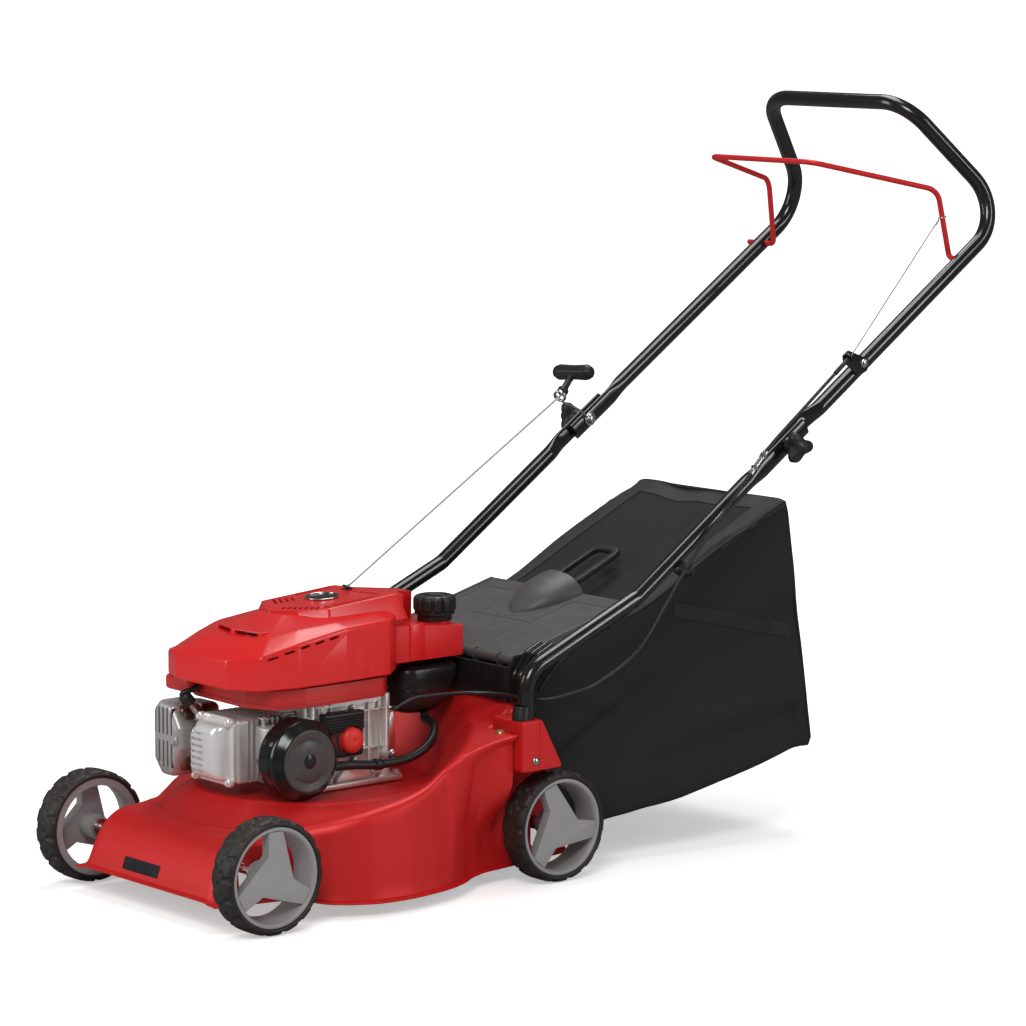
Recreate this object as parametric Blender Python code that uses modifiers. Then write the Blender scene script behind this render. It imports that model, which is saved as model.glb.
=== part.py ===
"""Petrol lawn mower with a steel deck, fold-down handle and rear grass bag.

Metres, +Z up. The mower drives towards -Y, its operator stands at +Y, and the
ground is z = 0. In the functions, "back" is the distance behind the front axle.
"""

import math

import bmesh
import bpy
from mathutils import Matrix, Vector

# Wheels and axles
FRONT_AXLE_Y = -0.6096
WHEELBASE = 0.4725
WHEEL_RADIUS = 0.075
TYRE_WIDTH = 0.042
RIM_RADIUS = 0.0655
TRACK_HALF = 0.199
SPOKE_REACH = 0.0600
SPOKE_NOTCH = 0.0295
SPOKE_HALF_ANGLE = 0.187
NOTCH_LEAD = math.radians(22.0)
HUB_RADIUS = 0.0165
AXLE_RADIUS = 0.006
AXLE_HALF_LENGTH = 0.2045
HEIGHT_TRAVEL = 0.030
RUNNING_GAP = 0.0004
TOUCH_GAP = 0.0003

# Deck, front to back: distance behind the front axle, then the value there
BLADE_BACK = 0.225
DECK_SHEET = 0.0022
DECK_TOP = 0.138
DOME_INNER = 0.150
DOME_OUTER = 0.212
DECK_WALL = [
    (-0.052, 0.146), (-0.030, 0.150), (0.000, 0.151), (0.060, 0.154), (0.096, 0.176),
    (0.128, 0.197), (0.168, 0.211), (0.211, 0.214), (0.256, 0.209), (0.291, 0.201),
    (0.325, 0.186), (0.355, 0.168), (0.385, 0.160), (0.540, 0.160),
]
DECK_RIM = [
    (-0.052, 0.0375), (-0.046, 0.0385), (-0.041, 0.052), (-0.030, 0.076), (-0.014, 0.097),
    (0.008, 0.108), (0.040, 0.111), (0.090, 0.116), (0.150, 0.130), (0.217, 0.144),
    (0.257, 0.157), (0.292, 0.176), (0.357, 0.200), (0.405, 0.212), (0.435, 0.236),
    (0.540, 0.238),
]
DECK_LIP = [
    (-0.052, 0.0345), (0.000, 0.033), (0.060, 0.030), (0.110, 0.022), (0.200, 0.020),
    (0.330, 0.020), (0.400, 0.022), (0.540, 0.030),
]
DECK_STATIONS = [
    -0.052, -0.046, -0.041, -0.030, -0.014, 0.008, 0.040, 0.075, 0.096, 0.128, 0.168,
    0.211, 0.256, 0.291, 0.325, 0.355, 0.385, 0.3955, 0.3975, 0.410, 0.435, 0.540,
]
DECK_DRAFT = [(-0.052, 0.010), (0.330, 0.010), (0.385, 0.0008), (0.540, 0.0008)]
DECK_FENDER = [
    (0.291, 0.0), (0.325, 0.029), (0.355, 0.050), (0.385, 0.0600), (0.3955, 0.0635),
    (0.3975, 0.0), (0.540, 0.0),
]
FLANGE = 0.012
MOUTH_TOP = (0.442, 0.238)
MOUTH_LEAN = math.radians(22.0)

# Handle
TUBE_RADIUS = 0.011
HANDLE_HALF = 0.2085
SOCKET_TUBE_X = 0.2075
FOLD_BACK = 0.878
FOLD_Z = 0.554
HANDLE_SLOPE = math.radians(34.5)
ELBOW = (0.2085, 1.3150, 0.8544)
TOP_CORNER = (0.1422, 1.1728, 1.0136)
LAP_THICKNESS = 0.0100
LAP_STRETCH = 1.22
UPPER_LAP_X = 0.2031
LOWER_LAP_X = 0.2135
HANDLE_BOLT_RADIUS = 0.004

# Bail
BAIL_RADIUS = 0.004
BAIL_BACK = 1.226
BAIL_Z = 0.793
BAIL_LEG_X = 0.182
BAIL_BEND = (0.175, 1.208, 0.890)

# Engine
CYLINDER_Z = 0.199
ENGINE_FLANGE_Z = 0.1385
CRANK_THROW = 0.020
BORE_RADIUS = 0.0285
SHAFT_RADIUS = 0.0123
SHROUD_FLOOR_Z = 0.2578
COWL_FLOOR_Z = 0.2850
FILTER_BACK = 0.127
FILTER_Z = 0.193
FILTER_RADIUS = 0.053
FILTER_NECK = 0.0475
CAP_X = 0.020
CAP_BACK = 0.414
PRIMER_BACK = 0.2195
PRIMER_Z = 0.205
LEVER_PIVOT = (0.285, 0.178)
OIL_FILLER = (0.250, 0.190)
OIL_CAP_X = -0.0803

# Blade
BLADE_LENGTH = 0.400
BLADE_WIDTH = 0.050
BLADE_Z = 0.0345
BLADE_SHEET = 0.0032

# Flap and bag
FLAP_HINGE = (0.4550, 0.2900)
FLAP_SLOPE = math.atan2(0.0535, 0.2010)
FLAP_REACH = 0.2075
BAG_SHEET = 0.002

# Starter and brake controls
ROPE_RADIUS = 0.0015
ROPE_EXIT = (-0.020, 0.297, 0.3870)
GUIDE_RING = (-0.1530, 0.7824, 0.5978)
GRIP_STEM = (-0.182, 0.710, 0.681)
GRIP_BAR = (0.975, 0.204, 0.060)
GRIP_REACH = 0.0460
CABLE_RADIUS = 0.0025

PAINTS = {
    "deck_red": ((0.62, 0.012, 0.012), 0.28, 0.0),
    "cowl_red": ((0.66, 0.014, 0.014), 0.35, 0.0),
    "shroud_red": ((0.16, 0.006, 0.006), 0.5, 0.0),
    "bail_red": ((0.60, 0.01, 0.01), 0.3, 0.0),
    "primer_red": ((0.62, 0.02, 0.02), 0.45, 0.0),
    "handle_black": ((0.008, 0.008, 0.008), 0.2, 0.0),
    "moulded_black": ((0.012, 0.012, 0.013), 0.5, 0.0),
    "flap_grey": ((0.075, 0.072, 0.075), 0.55, 0.0),
    "bag_cloth": ((0.012, 0.011, 0.010), 0.9, 0.0),
    "tyre_black": ((0.02, 0.02, 0.02), 0.7, 0.0),
    "wheel_grey": ((0.22, 0.22, 0.23), 0.45, 0.0),
    "cast_silver": ((0.60, 0.60, 0.58), 0.42, 0.9),
    "plated_steel": ((0.65, 0.65, 0.66), 0.3, 1.0),
    "guard_steel": ((0.42, 0.41, 0.41), 0.45, 0.8),
    "filter_foam": ((0.05, 0.05, 0.05), 0.95, 0.0),
    "rope_grey": ((0.45, 0.45, 0.45), 0.85, 0.0),
}


def clear_scene():
    """Remove every object that the new file starts with."""
    for old in list(bpy.data.objects):
        bpy.data.objects.remove(old)


def paint(name):
    """Return the named material, made once from its colour, roughness and metallic value."""
    material = bpy.data.materials.get(name)
    if material is None:
        colour, roughness, metallic = PAINTS[name]
        material = bpy.data.materials.new(name)
        material.use_nodes = True
        shader = material.node_tree.nodes["Principled BSDF"]
        shader.inputs["Base Color"].default_value = (*colour, 1.0)
        shader.inputs["Roughness"].default_value = roughness
        shader.inputs["Metallic"].default_value = metallic
    return material


def at(x, back, z):
    """World position of a point given by its distance behind the front axle."""
    return Vector((x, FRONT_AXLE_Y + back, z))


def mix(low, high, share):
    return low + (high - low) * share


def smooth(share):
    share = min(1.0, max(0.0, share))
    return share * share * (3.0 - 2.0 * share)


def read_table(table, key):
    """Value at key, read in a straight line between the table's neighbouring rows."""
    if key <= table[0][0]:
        return table[0][1]
    for (key_a, value_a), (key_b, value_b) in zip(table, table[1:]):
        if key <= key_b:
            return mix(value_a, value_b, (key - key_a) / (key_b - key_a))
    return table[-1][1]


def turn_to(axis):
    """Rotation that takes +Z to the given direction."""
    return Vector((0, 0, 1)).rotation_difference(Vector(axis)).to_matrix().to_4x4()


def evaluated_mesh(obj):
    """Mesh of an object with its modifiers, moved to world space; the object goes."""
    graph = bpy.context.evaluated_depsgraph_get()
    mesh = bpy.data.meshes.new_from_object(obj.evaluated_get(graph))
    mesh.transform(obj.matrix_world)
    bpy.data.objects.remove(obj)
    return mesh


def loose_object(data):
    obj = bpy.data.objects.new("construction", data)
    bpy.context.scene.collection.objects.link(obj)
    return obj


def tidy(mesh, distance=1e-6, flat_faces=False):
    """Merge doubled points and turn every face outwards."""
    work = bmesh.new()
    work.from_mesh(mesh)
    bmesh.ops.remove_doubles(work, verts=work.verts, dist=distance)
    if flat_faces:
        bmesh.ops.triangulate(work, faces=work.faces)
    bmesh.ops.recalc_face_normals(work, faces=work.faces)
    work.to_mesh(mesh)
    work.free()
    return mesh


def block(low, high):
    """Box between two corners given as (x, back, z)."""
    low, high = at(*low), at(*high)
    size = high - low
    matrix = Matrix.Translation((low + high) / 2) @ Matrix.Diagonal((*size, 1.0))
    work = bmesh.new()
    bmesh.ops.create_cube(work, size=1.0, matrix=matrix)
    mesh = bpy.data.meshes.new("block")
    work.to_mesh(mesh)
    work.free()
    return mesh


def soft_block(low, high, radius, segments=2):
    """Box with rounded edges."""
    obj = loose_object(block(low, high))
    bevel = obj.modifiers.new("edges", "BEVEL")
    bevel.width = radius
    bevel.segments = segments
    bevel.use_clamp_overlap = False
    return tidy(evaluated_mesh(obj))


def rod(start, end, radius, sides=14, end_radius=None):
    """Cylinder or cone between two points."""
    start, end = Vector(start), Vector(end)
    length = (end - start).length
    matrix = Matrix.Translation((start + end) / 2) @ turn_to(end - start)
    work = bmesh.new()
    bmesh.ops.create_cone(
        work, cap_ends=True, segments=sides, radius1=radius,
        radius2=radius if end_radius is None else end_radius, depth=length, matrix=matrix)
    mesh = bpy.data.meshes.new("rod")
    work.to_mesh(mesh)
    work.free()
    return mesh


def turned(profile, base, axis, steps=20, ring=False, phase=0.0):
    """Turn (radius, height) points about an axis; ring closes the profile on itself."""
    mesh = bpy.data.meshes.new("turned")
    points = [(radius, 0.0, height) for radius, height in profile]
    edges = [(i, i + 1) for i in range(len(points) - 1)]
    if ring:
        edges.append((len(points) - 1, 0))
    mesh.from_pydata(points, edges, [])
    obj = loose_object(mesh)
    screw = obj.modifiers.new("turn", "SCREW")
    screw.axis = "Z"
    screw.angle = 2 * math.pi
    screw.steps = steps
    screw.render_steps = steps
    screw.use_merge_vertices = True
    screw.merge_threshold = 0.00001
    obj.matrix_world = Matrix.Translation(base) @ turn_to(axis) @ Matrix.Rotation(phase, 4, "Z")
    bpy.context.view_layer.update()
    return tidy(evaluated_mesh(obj), 1e-5)


def tube(points, radius, resolution=2):
    """Closed round tube through points, as a poly curve."""
    curve = bpy.data.curves.new("tube", "CURVE")
    curve.dimensions = "3D"
    curve.bevel_depth = radius
    curve.bevel_resolution = resolution
    curve.use_fill_caps = True
    spline = curve.splines.new("POLY")
    spline.points.add(len(points) - 1)
    for target, point in zip(spline.points, points):
        target.co = (*point, 1.0)
    obj = loose_object(curve)
    bpy.context.view_layer.update()
    return tidy(evaluated_mesh(obj), 1e-6)


def smooth_route(points, steps):
    """Points on a smooth curve through the given points."""
    points = [Vector(p) for p in points]
    padded = [2 * points[0] - points[1], *points, 2 * points[-1] - points[-2]]
    route = []
    for before, start, end, after in zip(padded, padded[1:], padded[2:], padded[3:]):
        for step in range(steps):
            t = step / steps
            route.append(0.5 * (
                2 * start + (end - before) * t
                + (2 * before - 5 * start + 4 * end - after) * t * t
                + (3 * start - before - 3 * end + after) * t ** 3))
    route.append(points[-1])
    return route


def bent_route(corners, radii, steps=4):
    """Straight runs joined by round bends of the given radii."""
    corners = [Vector(c) for c in corners]
    route = [corners[0]]
    for before, corner, after, radius in zip(corners, corners[1:], corners[2:], radii):
        inward = (before - corner).normalized()
        outward = (after - corner).normalized()
        half = inward.angle(outward) / 2
        reach = radius / math.tan(half)
        centre = corner + (inward + outward).normalized() * (radius / math.sin(half))
        first = corner + inward * reach - centre
        last = corner + outward * reach - centre
        sweep = first.angle(last)
        for step in range(steps + 1):
            share = step / steps
            point = (first * math.sin((1 - share) * sweep) + last * math.sin(share * sweep))
            route.append(centre + point / math.sin(sweep))
    route.append(corners[-1])
    return route


def plate(outlines, thickness, matrix):
    """Flat plate from closed outlines in its own XY plane, holes included."""
    curve = bpy.data.curves.new("plate", "CURVE")
    curve.dimensions = "2D"
    curve.fill_mode = "BOTH"
    curve.extrude = thickness / 2
    for outline in outlines:
        spline = curve.splines.new("POLY")
        spline.points.add(len(outline) - 1)
        spline.use_cyclic_u = True
        for target, (u, v) in zip(spline.points, outline):
            target.co = (u, v, 0.0, 1.0)
    obj = loose_object(curve)
    obj.matrix_world = matrix
    bpy.context.view_layer.update()
    return tidy(evaluated_mesh(obj), 1e-6)


def facing_x(x, back=0.0, z=0.0):
    """Plate matrix: outline u runs back, v runs up, thickness along X."""
    columns = Matrix(((0, 0, 1, 0), (1, 0, 0, 0), (0, 1, 0, 0), (0, 0, 0, 1)))
    return Matrix.Translation(at(x, back, z)) @ columns


def facing_z(z, back=0.0, x=0.0):
    """Plate matrix: outline u runs along X, v runs back, thickness along Z."""
    return Matrix.Translation(at(x, back, z))


def facing_y(back, x=0.0, z=0.0):
    """Plate matrix: outline u runs along X, v runs up, thickness front to back."""
    columns = Matrix(((1, 0, 0, 0), (0, 0, -1, 0), (0, 1, 0, 0), (0, 0, 0, 1)))
    return Matrix.Translation(at(x, back, z)) @ columns


def circle(radius, sides=16, centre=(0.0, 0.0), phase=0.0):
    step = 2 * math.pi / sides
    angles = [phase + i * step for i in range(sides)]
    return [(centre[0] + radius * math.cos(a), centre[1] + radius * math.sin(a)) for a in angles]


def round_box(width, height, radius, centre=(0.0, 0.0), steps=2):
    """Outline of a rectangle with round corners, anticlockwise."""
    outline = []
    for number, (side, top) in enumerate(((1, 1), (-1, 1), (-1, -1), (1, -1))):
        corner_u = centre[0] + side * (width / 2 - radius)
        corner_v = centre[1] + top * (height / 2 - radius)
        for step in range(steps + 1):
            angle = math.pi / 2 * (number + step / steps)
            outline.append((corner_u + radius * math.cos(angle), corner_v + radius * math.sin(angle)))
    return outline


def loft(rings, close_start=False, close_end=False, ring_closed=True):
    """Skin between rings that all have the same number of points."""
    count = len(rings[0])
    points = [tuple(point) for ring in rings for point in ring]
    faces = []
    last = count if ring_closed else count - 1
    for row in range(len(rings) - 1):
        for i in range(last):
            j = (i + 1) % count
            faces.append((row * count + i, row * count + j, (row + 1) * count + j, (row + 1) * count + i))
    if close_start:
        faces.append(tuple(range(count)))
    if close_end:
        faces.append(tuple(range((len(rings) - 1) * count, len(rings) * count)))
    mesh = bpy.data.meshes.new("loft")
    mesh.from_pydata(points, [], faces)
    return tidy(mesh, 1e-6, flat_faces=True)


def thicken(mesh, thickness, offset=-1.0):
    """Give an open surface a wall; offset -1 grows it against the normals."""
    obj = loose_object(mesh)
    wall = obj.modifiers.new("wall", "SOLIDIFY")
    wall.thickness = thickness
    wall.offset = offset
    wall.use_even_offset = True
    wall.use_quality_normals = True
    return tidy(evaluated_mesh(obj), 1e-6)


def combine(base, tools, operation):
    """Boolean of a mesh with each tool mesh in turn."""
    obj = loose_object(base)
    helpers = []
    for tool in tools:
        helper = loose_object(tool)
        helpers.append(helper)
        step = obj.modifiers.new("step", "BOOLEAN")
        step.operation = operation
        step.solver = "EXACT"
        step.object = helper
    bpy.context.view_layer.update()
    mesh = evaluated_mesh(obj)
    for helper in helpers:
        bpy.data.objects.remove(helper)
    return tidy(mesh, 1e-6)


def cut(base, *tools):
    return combine(base, tools, "DIFFERENCE")


def join(base, *tools):
    return combine(base, tools, "UNION")


def mirrored(mesh):
    """Copy of a mesh on the other side of the mower."""
    other = mesh.copy()
    other.transform(Matrix.Diagonal((-1.0, 1.0, 1.0, 1.0)))
    other.flip_normals()
    return other


def add(name, mesh, material, origin=(0.0, 0.0, 0.0)):
    """Put a finished mesh in the mower's collection, with its origin where it turns."""
    mesh.name = name
    mesh.materials.clear()
    mesh.transform(Matrix.Translation(-Vector(origin)))
    mesh.shade_smooth()
    mesh.set_sharp_from_angle(angle=math.radians(35))
    obj = bpy.data.objects.new(name, mesh)
    obj.location = origin
    mesh.materials.append(paint(material))
    MOWER.objects.link(obj)
    return obj


def deck_height(x, back):
    """Height of the deck's upper surface: engine plateau, dome flank, rim and rear tunnel."""
    rim = read_table(DECK_RIM, back)
    distance = math.hypot(x, back - BLADE_BACK)
    flank = smooth((distance - DOME_INNER) / (DOME_OUTER - DOME_INNER))
    return mix(DECK_TOP, rim, flank)


def deck_section(back):
    """One cross-section of the deck from the left flange edge to the right one."""
    wall = read_table(DECK_WALL, back)
    lip = read_table(DECK_LIP, back)
    shoulder = wall - read_table(DECK_DRAFT, back) + read_table(DECK_FENDER, back)
    shoulder_z = deck_height(shoulder, back)
    drop = max(0.0015, min(0.010, (shoulder_z - lip) * 0.4))
    side = [
        (wall + FLANGE, lip),
        (wall + 0.001, lip + min(0.0012, drop * 0.3)),
        (mix(wall, shoulder, 0.35), mix(lip, shoulder_z - drop, 0.55)),
        (mix(wall, shoulder, 0.65), shoulder_z - drop),
        (shoulder, shoulder_z - drop * 0.25),
    ]
    flat = shoulder - 0.008
    shares = (1.0, 0.80, 0.55, 0.28)
    top = [(flat * share, deck_height(flat * share, back)) for share in shares]
    half = side + top
    section = [at(-x, back, z) for x, z in half]
    section.append(at(0.0, back, deck_height(0.0, back)))
    section += [at(x, back, z) for x, z in reversed(half)]
    return section


def mouth_plane(offset):
    """Point and normal of the leaning plane where the bag meets the deck."""
    normal = Vector((0.0, math.cos(MOUTH_LEAN), math.sin(MOUTH_LEAN)))
    return at(0.0, *MOUTH_TOP) + normal * offset, normal


def slot_outline(width, low, high, steps=8):
    """Upright slot with round ends; u across, v up."""
    radius = width / 2
    outline = []
    for step in range(steps + 1):
        angle = math.pi * step / steps
        outline.append((radius * math.cos(angle), high - radius + radius * math.sin(angle)))
    for step in range(steps + 1):
        angle = math.pi + math.pi * step / steps
        outline.append((radius * math.cos(angle), low + radius + radius * math.sin(angle)))
    return outline


def axle_slots():
    """Cutters for the slots that let each axle move up and down in the deck's sides."""
    cutters = []
    width = 2 * (AXLE_RADIUS + 2 * RUNNING_GAP)
    for back in (0.0, WHEELBASE):
        outline = slot_outline(
            width, WHEEL_RADIUS - HEIGHT_TRAVEL - width / 2, WHEEL_RADIUS + width / 2)
        for side in (-1, 1):
            cutters.append(plate([outline], 0.05, facing_x(side * 0.158, back)))
    return cutters


def build_deck():
    mesh = loft([deck_section(back) for back in DECK_STATIONS], ring_closed=False)
    work = bmesh.new()
    work.from_mesh(mesh)
    point, normal = mouth_plane(0.0)
    everything = list(work.verts) + list(work.edges) + list(work.faces)
    bmesh.ops.bisect_plane(work, geom=everything, plane_co=point, plane_no=normal, clear_outer=True)
    bmesh.ops.recalc_face_normals(work, faces=work.faces)
    if sum(face.normal.z for face in work.faces) < 0:
        bmesh.ops.reverse_faces(work, faces=work.faces)
    work.to_mesh(mesh)
    work.free()
    mesh = thicken(mesh, DECK_SHEET)
    shaft_hole = rod(at(0, BLADE_BACK, 0.10), at(0, BLADE_BACK, 0.17), 0.030)
    mesh = cut(mesh, shaft_hole, *axle_slots())
    add("deck_shell", mesh, "deck_red")


def socket_tube_point(z):
    """Centre of the handle tube at a height in its socket."""
    return at(SOCKET_TUBE_X, mix(0.4156, 0.4172, (z - 0.16) / 0.085), z)


def build_sockets():
    """Side boxes over the rear wheels that take the handle's lower ends."""
    inner, outer = 0.1604, 0.2245
    outline = [(0.398, 0.158), (0.4690, 0.158), (0.4325, 0.2262), (0.398, 0.2262)]
    body = plate([outline], outer - inner, facing_x((inner + outer) / 2))
    hole = rod(socket_tube_point(0.1635), socket_tube_point(0.30), TUBE_RADIUS + TOUCH_GAP)
    mesh = cut(body, hole)
    add("handle_socket_right", mirrored(mesh), "deck_red")
    add("handle_socket_left", mesh, "deck_red")


def along_handle(distance, x=HANDLE_HALF):
    """Point on the sloping handle axis, measured from the folding bolt."""
    back = FOLD_BACK + distance * math.cos(HANDLE_SLOPE)
    return at(x, back, FOLD_Z + distance * math.sin(HANDLE_SLOPE))


def press_flat(mesh, lap_x, flatness):
    """Press a tube end flat; flatness(distance) is 0 for round tube and 1 for the lap."""
    pivot = at(0.0, FOLD_BACK, FOLD_Z)
    along = Vector((0.0, math.cos(HANDLE_SLOPE), math.sin(HANDLE_SLOPE)))
    across = Vector((0.0, -along.z, along.y))
    squash = LAP_THICKNESS / (2 * TUBE_RADIUS)
    for vertex in mesh.vertices:
        offset = vertex.co - pivot
        weight = flatness(offset.dot(along))
        if weight > 0.0:
            side = math.copysign(1.0, vertex.co.x)
            pressed = side * lap_x + (vertex.co.x - side * HANDLE_HALF) * squash
            vertex.co.x = mix(vertex.co.x, pressed, weight)
            vertex.co += across * (offset.dot(across) * (LAP_STRETCH - 1.0) * weight)
    return mesh


def bolt_hole(side):
    return rod(
        at(side * 0.185, FOLD_BACK, FOLD_Z), at(side * 0.235, FOLD_BACK, FOLD_Z),
        HANDLE_BOLT_RADIUS + TOUCH_GAP, sides=12)


def build_lower_handle():
    corners = [
        socket_tube_point(0.1640), socket_tube_point(0.2870),
        at(HANDLE_HALF, 0.6093, 0.3678), along_handle(-0.085)]
    route = bent_route(corners, (0.040, 0.040))
    route += [along_handle(s) for s in (-0.0775, -0.070, -0.0625, -0.055, -0.045, 0.0, 0.043)]
    mesh = tube(route, TUBE_RADIUS, resolution=3)
    mesh = press_flat(mesh, LOWER_LAP_X, lambda s: smooth((s + 0.085) / 0.035))
    mesh = cut(mesh, bolt_hole(1))
    add("lower_handle_right", mirrored(mesh), "handle_black")
    add("lower_handle_left", mesh, "handle_black")


def build_upper_handle():
    """The folding loop: two sloping tubes, an elbow each side and the top grip bar."""
    start = [along_handle(s) for s in (-0.0316, 0.0, 0.045, 0.055, 0.0625, 0.070, 0.0775)]
    elbow, top = at(*ELBOW), at(*TOP_CORNER)
    flip = Matrix.Diagonal((-1.0, 1.0, 1.0))
    corners = [along_handle(0.085), elbow, top, flip @ top, flip @ elbow, flip @ along_handle(0.085)]
    route = start + bent_route(corners, (0.065, 0.060, 0.060, 0.065), steps=5)
    route += [flip @ point for point in reversed(start)]
    mesh = tube(route, TUBE_RADIUS, resolution=3)
    mesh = press_flat(mesh, UPPER_LAP_X, lambda s: smooth((0.085 - s) / 0.035))
    mesh = cut(mesh, bolt_hole(1), bolt_hole(-1), bail_hole(1), bail_hole(-1))
    add("upper_handle", mesh, "handle_black", at(0.0, FOLD_BACK, FOLD_Z))


def bail_hole(side):
    """Cutter for the bail's end: blind in the left tube, right through the right one."""
    outer = 0.2190 if side > 0 else -0.2300
    return rod(
        at(side * 0.190, BAIL_BACK, BAIL_Z), at(outer, BAIL_BACK, BAIL_Z),
        BAIL_RADIUS + RUNNING_GAP, sides=12)


def build_bail():
    """Bent rod across the top of the handle that stops the blade when it is let go."""
    half = [(BAIL_LEG_X, BAIL_BACK, BAIL_Z), BAIL_BEND, (0.1050, 1.0270, 0.933)]
    corners = [at(0.2183, BAIL_BACK, BAIL_Z)] + [at(*point) for point in half]
    corners += [at(-x, back, z) for x, back, z in reversed(half)]
    corners.append(at(-0.2360, BAIL_BACK, BAIL_Z))
    route = bent_route(corners, (0.008, 0.025, 0.025, 0.025, 0.025, 0.008), steps=3)
    mesh = tube(route, BAIL_RADIUS, resolution=2)
    add("bail", mesh, "bail_red", at(0.0, BAIL_BACK, BAIL_Z))


def build_handle_bolts():
    """Bolts through the pressed-flat tube ends, with a wing knob outside each."""
    for name, side, head_x in (("left", 1, 0.1978), ("right", -1, 0.1959)):
        axis = (side, 0, 0)
        head = [(0.0, 0.0), (0.0075, 0.0), (0.0080, 0.001), (0.0080, 0.0045), (0.0, 0.0045)]
        base = at(side * (head_x - 0.0045), FOLD_BACK, FOLD_Z)
        shank = rod(
            at(side * (head_x - 0.001), FOLD_BACK, FOLD_Z), at(side * 0.2390, FOLD_BACK, FOLD_Z),
            HANDLE_BOLT_RADIUS, sides=12)
        mesh = join(turned(head, base, axis, steps=6), shank)
        add("handle_bolt_" + name, mesh, "plated_steel", at(side * head_x, FOLD_BACK, FOLD_Z))
        build_wing_knob(name, side)


def build_wing_knob(name, side):
    base_x = 0.2188
    hub = turned(
        [(0.0, 0.0), (0.0115, 0.0), (0.0125, 0.002), (0.0125, 0.020), (0.0105, 0.033),
         (0.0070, 0.0375), (0.0, 0.0384)],
        at(side * base_x, FOLD_BACK, FOLD_Z), (side, 0, 0), steps=16)
    lobes = []
    for step in range(24):
        angle = 2 * math.pi * step / 24
        reach = 0.0155 + 0.0060 * math.cos(3 * angle)
        lobes.append((reach * math.cos(angle), reach * math.sin(angle)))
    wings = plate([lobes], 0.015, facing_x(side * (base_x + 0.0205), FOLD_BACK, FOLD_Z))
    thread = rod(
        at(side * 0.2100, FOLD_BACK, FOLD_Z), at(side * 0.2400, FOLD_BACK, FOLD_Z),
        HANDLE_BOLT_RADIUS + TOUCH_GAP, sides=12)
    mesh = cut(join(hub, wings), thread)
    add("wing_knob_" + name, mesh, "moulded_black", at(side * base_x, FOLD_BACK, FOLD_Z))


def build_wheels():
    """Four moulded wheels with rubber tyres, and the two axles they turn on."""
    steps = 28
    half_step = math.pi / steps
    tread = WHEEL_RADIUS / math.cos(half_step)
    half = TYRE_WIDTH / 2
    tyre_profile = [
        (RIM_RADIUS, -half + 0.002), (0.0670, -half), (0.0705, -half + 0.0003),
        (0.0735, -half + 0.003), (tread, -half + 0.007), (tread, half - 0.007),
        (0.0735, half - 0.003), (0.0705, half - 0.0003), (0.0670, half), (RIM_RADIUS, half - 0.002)]
    rim = RIM_RADIUS - TOUCH_GAP
    rim_profile = [
        (rim, -0.0185), (rim, 0.0178), (rim - 0.0012, 0.0192), (0.0612, 0.0192),
        (0.0590, 0.0175), (0.0550, -0.012), (0.0550, -0.0185)]
    for end, back in (("front", 0.0), ("rear", WHEELBASE)):
        for name, side in (("left", 1), ("right", -1)):
            centre = at(side * TRACK_HALF, back, WHEEL_RADIUS)
            axis = (side, 0, 0)
            tyre = turned(tyre_profile, centre, axis, steps, ring=True, phase=half_step)
            add("tyre_%s_%s" % (end, name), tyre, "tyre_black", centre)
            ring = turned(rim_profile, centre, axis, steps, ring=True, phase=half_step)
            spokes = plate(
                [star_outline(end)], 0.014, facing_x(side * (TRACK_HALF + 0.0105), back, WHEEL_RADIUS))
            hub = rod(
                at(side * 0.1785, back, WHEEL_RADIUS), at(side * 0.2100, back, WHEEL_RADIUS), HUB_RADIUS, 14)
            bore = rod(
                at(side * 0.170, back, WHEEL_RADIUS),
                at(side * (AXLE_HALF_LENGTH + 0.002), back, WHEEL_RADIUS), AXLE_RADIUS + 2 * RUNNING_GAP, 12)
            mesh = cut(join(ring, spokes, hub), bore)
            add("wheel_%s_%s" % (end, name), mesh, "wheel_grey", centre)
        build_axle(end, back)


def star_outline(end):
    """Three broad spokes round the hub, each cut back further on one side."""
    turn = math.radians(88.0 if end == "front" else 109.5)
    outline = []
    for arm in range(3):
        middle = turn + arm * 2 * math.pi / 3
        for angle, radius in (
                (middle - SPOKE_HALF_ANGLE, SPOKE_REACH), (middle + SPOKE_HALF_ANGLE, SPOKE_REACH),
                (middle + NOTCH_LEAD, SPOKE_NOTCH)):
            outline.append((radius * math.cos(angle), radius * math.sin(angle)))
    return outline


def build_axle(end, back):
    centre = at(0.0, back, WHEEL_RADIUS)
    reach = Vector((AXLE_HALF_LENGTH, 0, 0))
    mesh = rod(centre - reach, centre + reach, AXLE_RADIUS)
    collars = []
    for side in (-1, 1):
        inner, outer = Vector((side * 0.1715, 0, 0)), Vector((side * 0.1765, 0, 0))
        collars.append(rod(centre + inner, centre + outer, 0.0120))
    add("axle_" + end, join(mesh, *collars), "plated_steel", centre)


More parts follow.
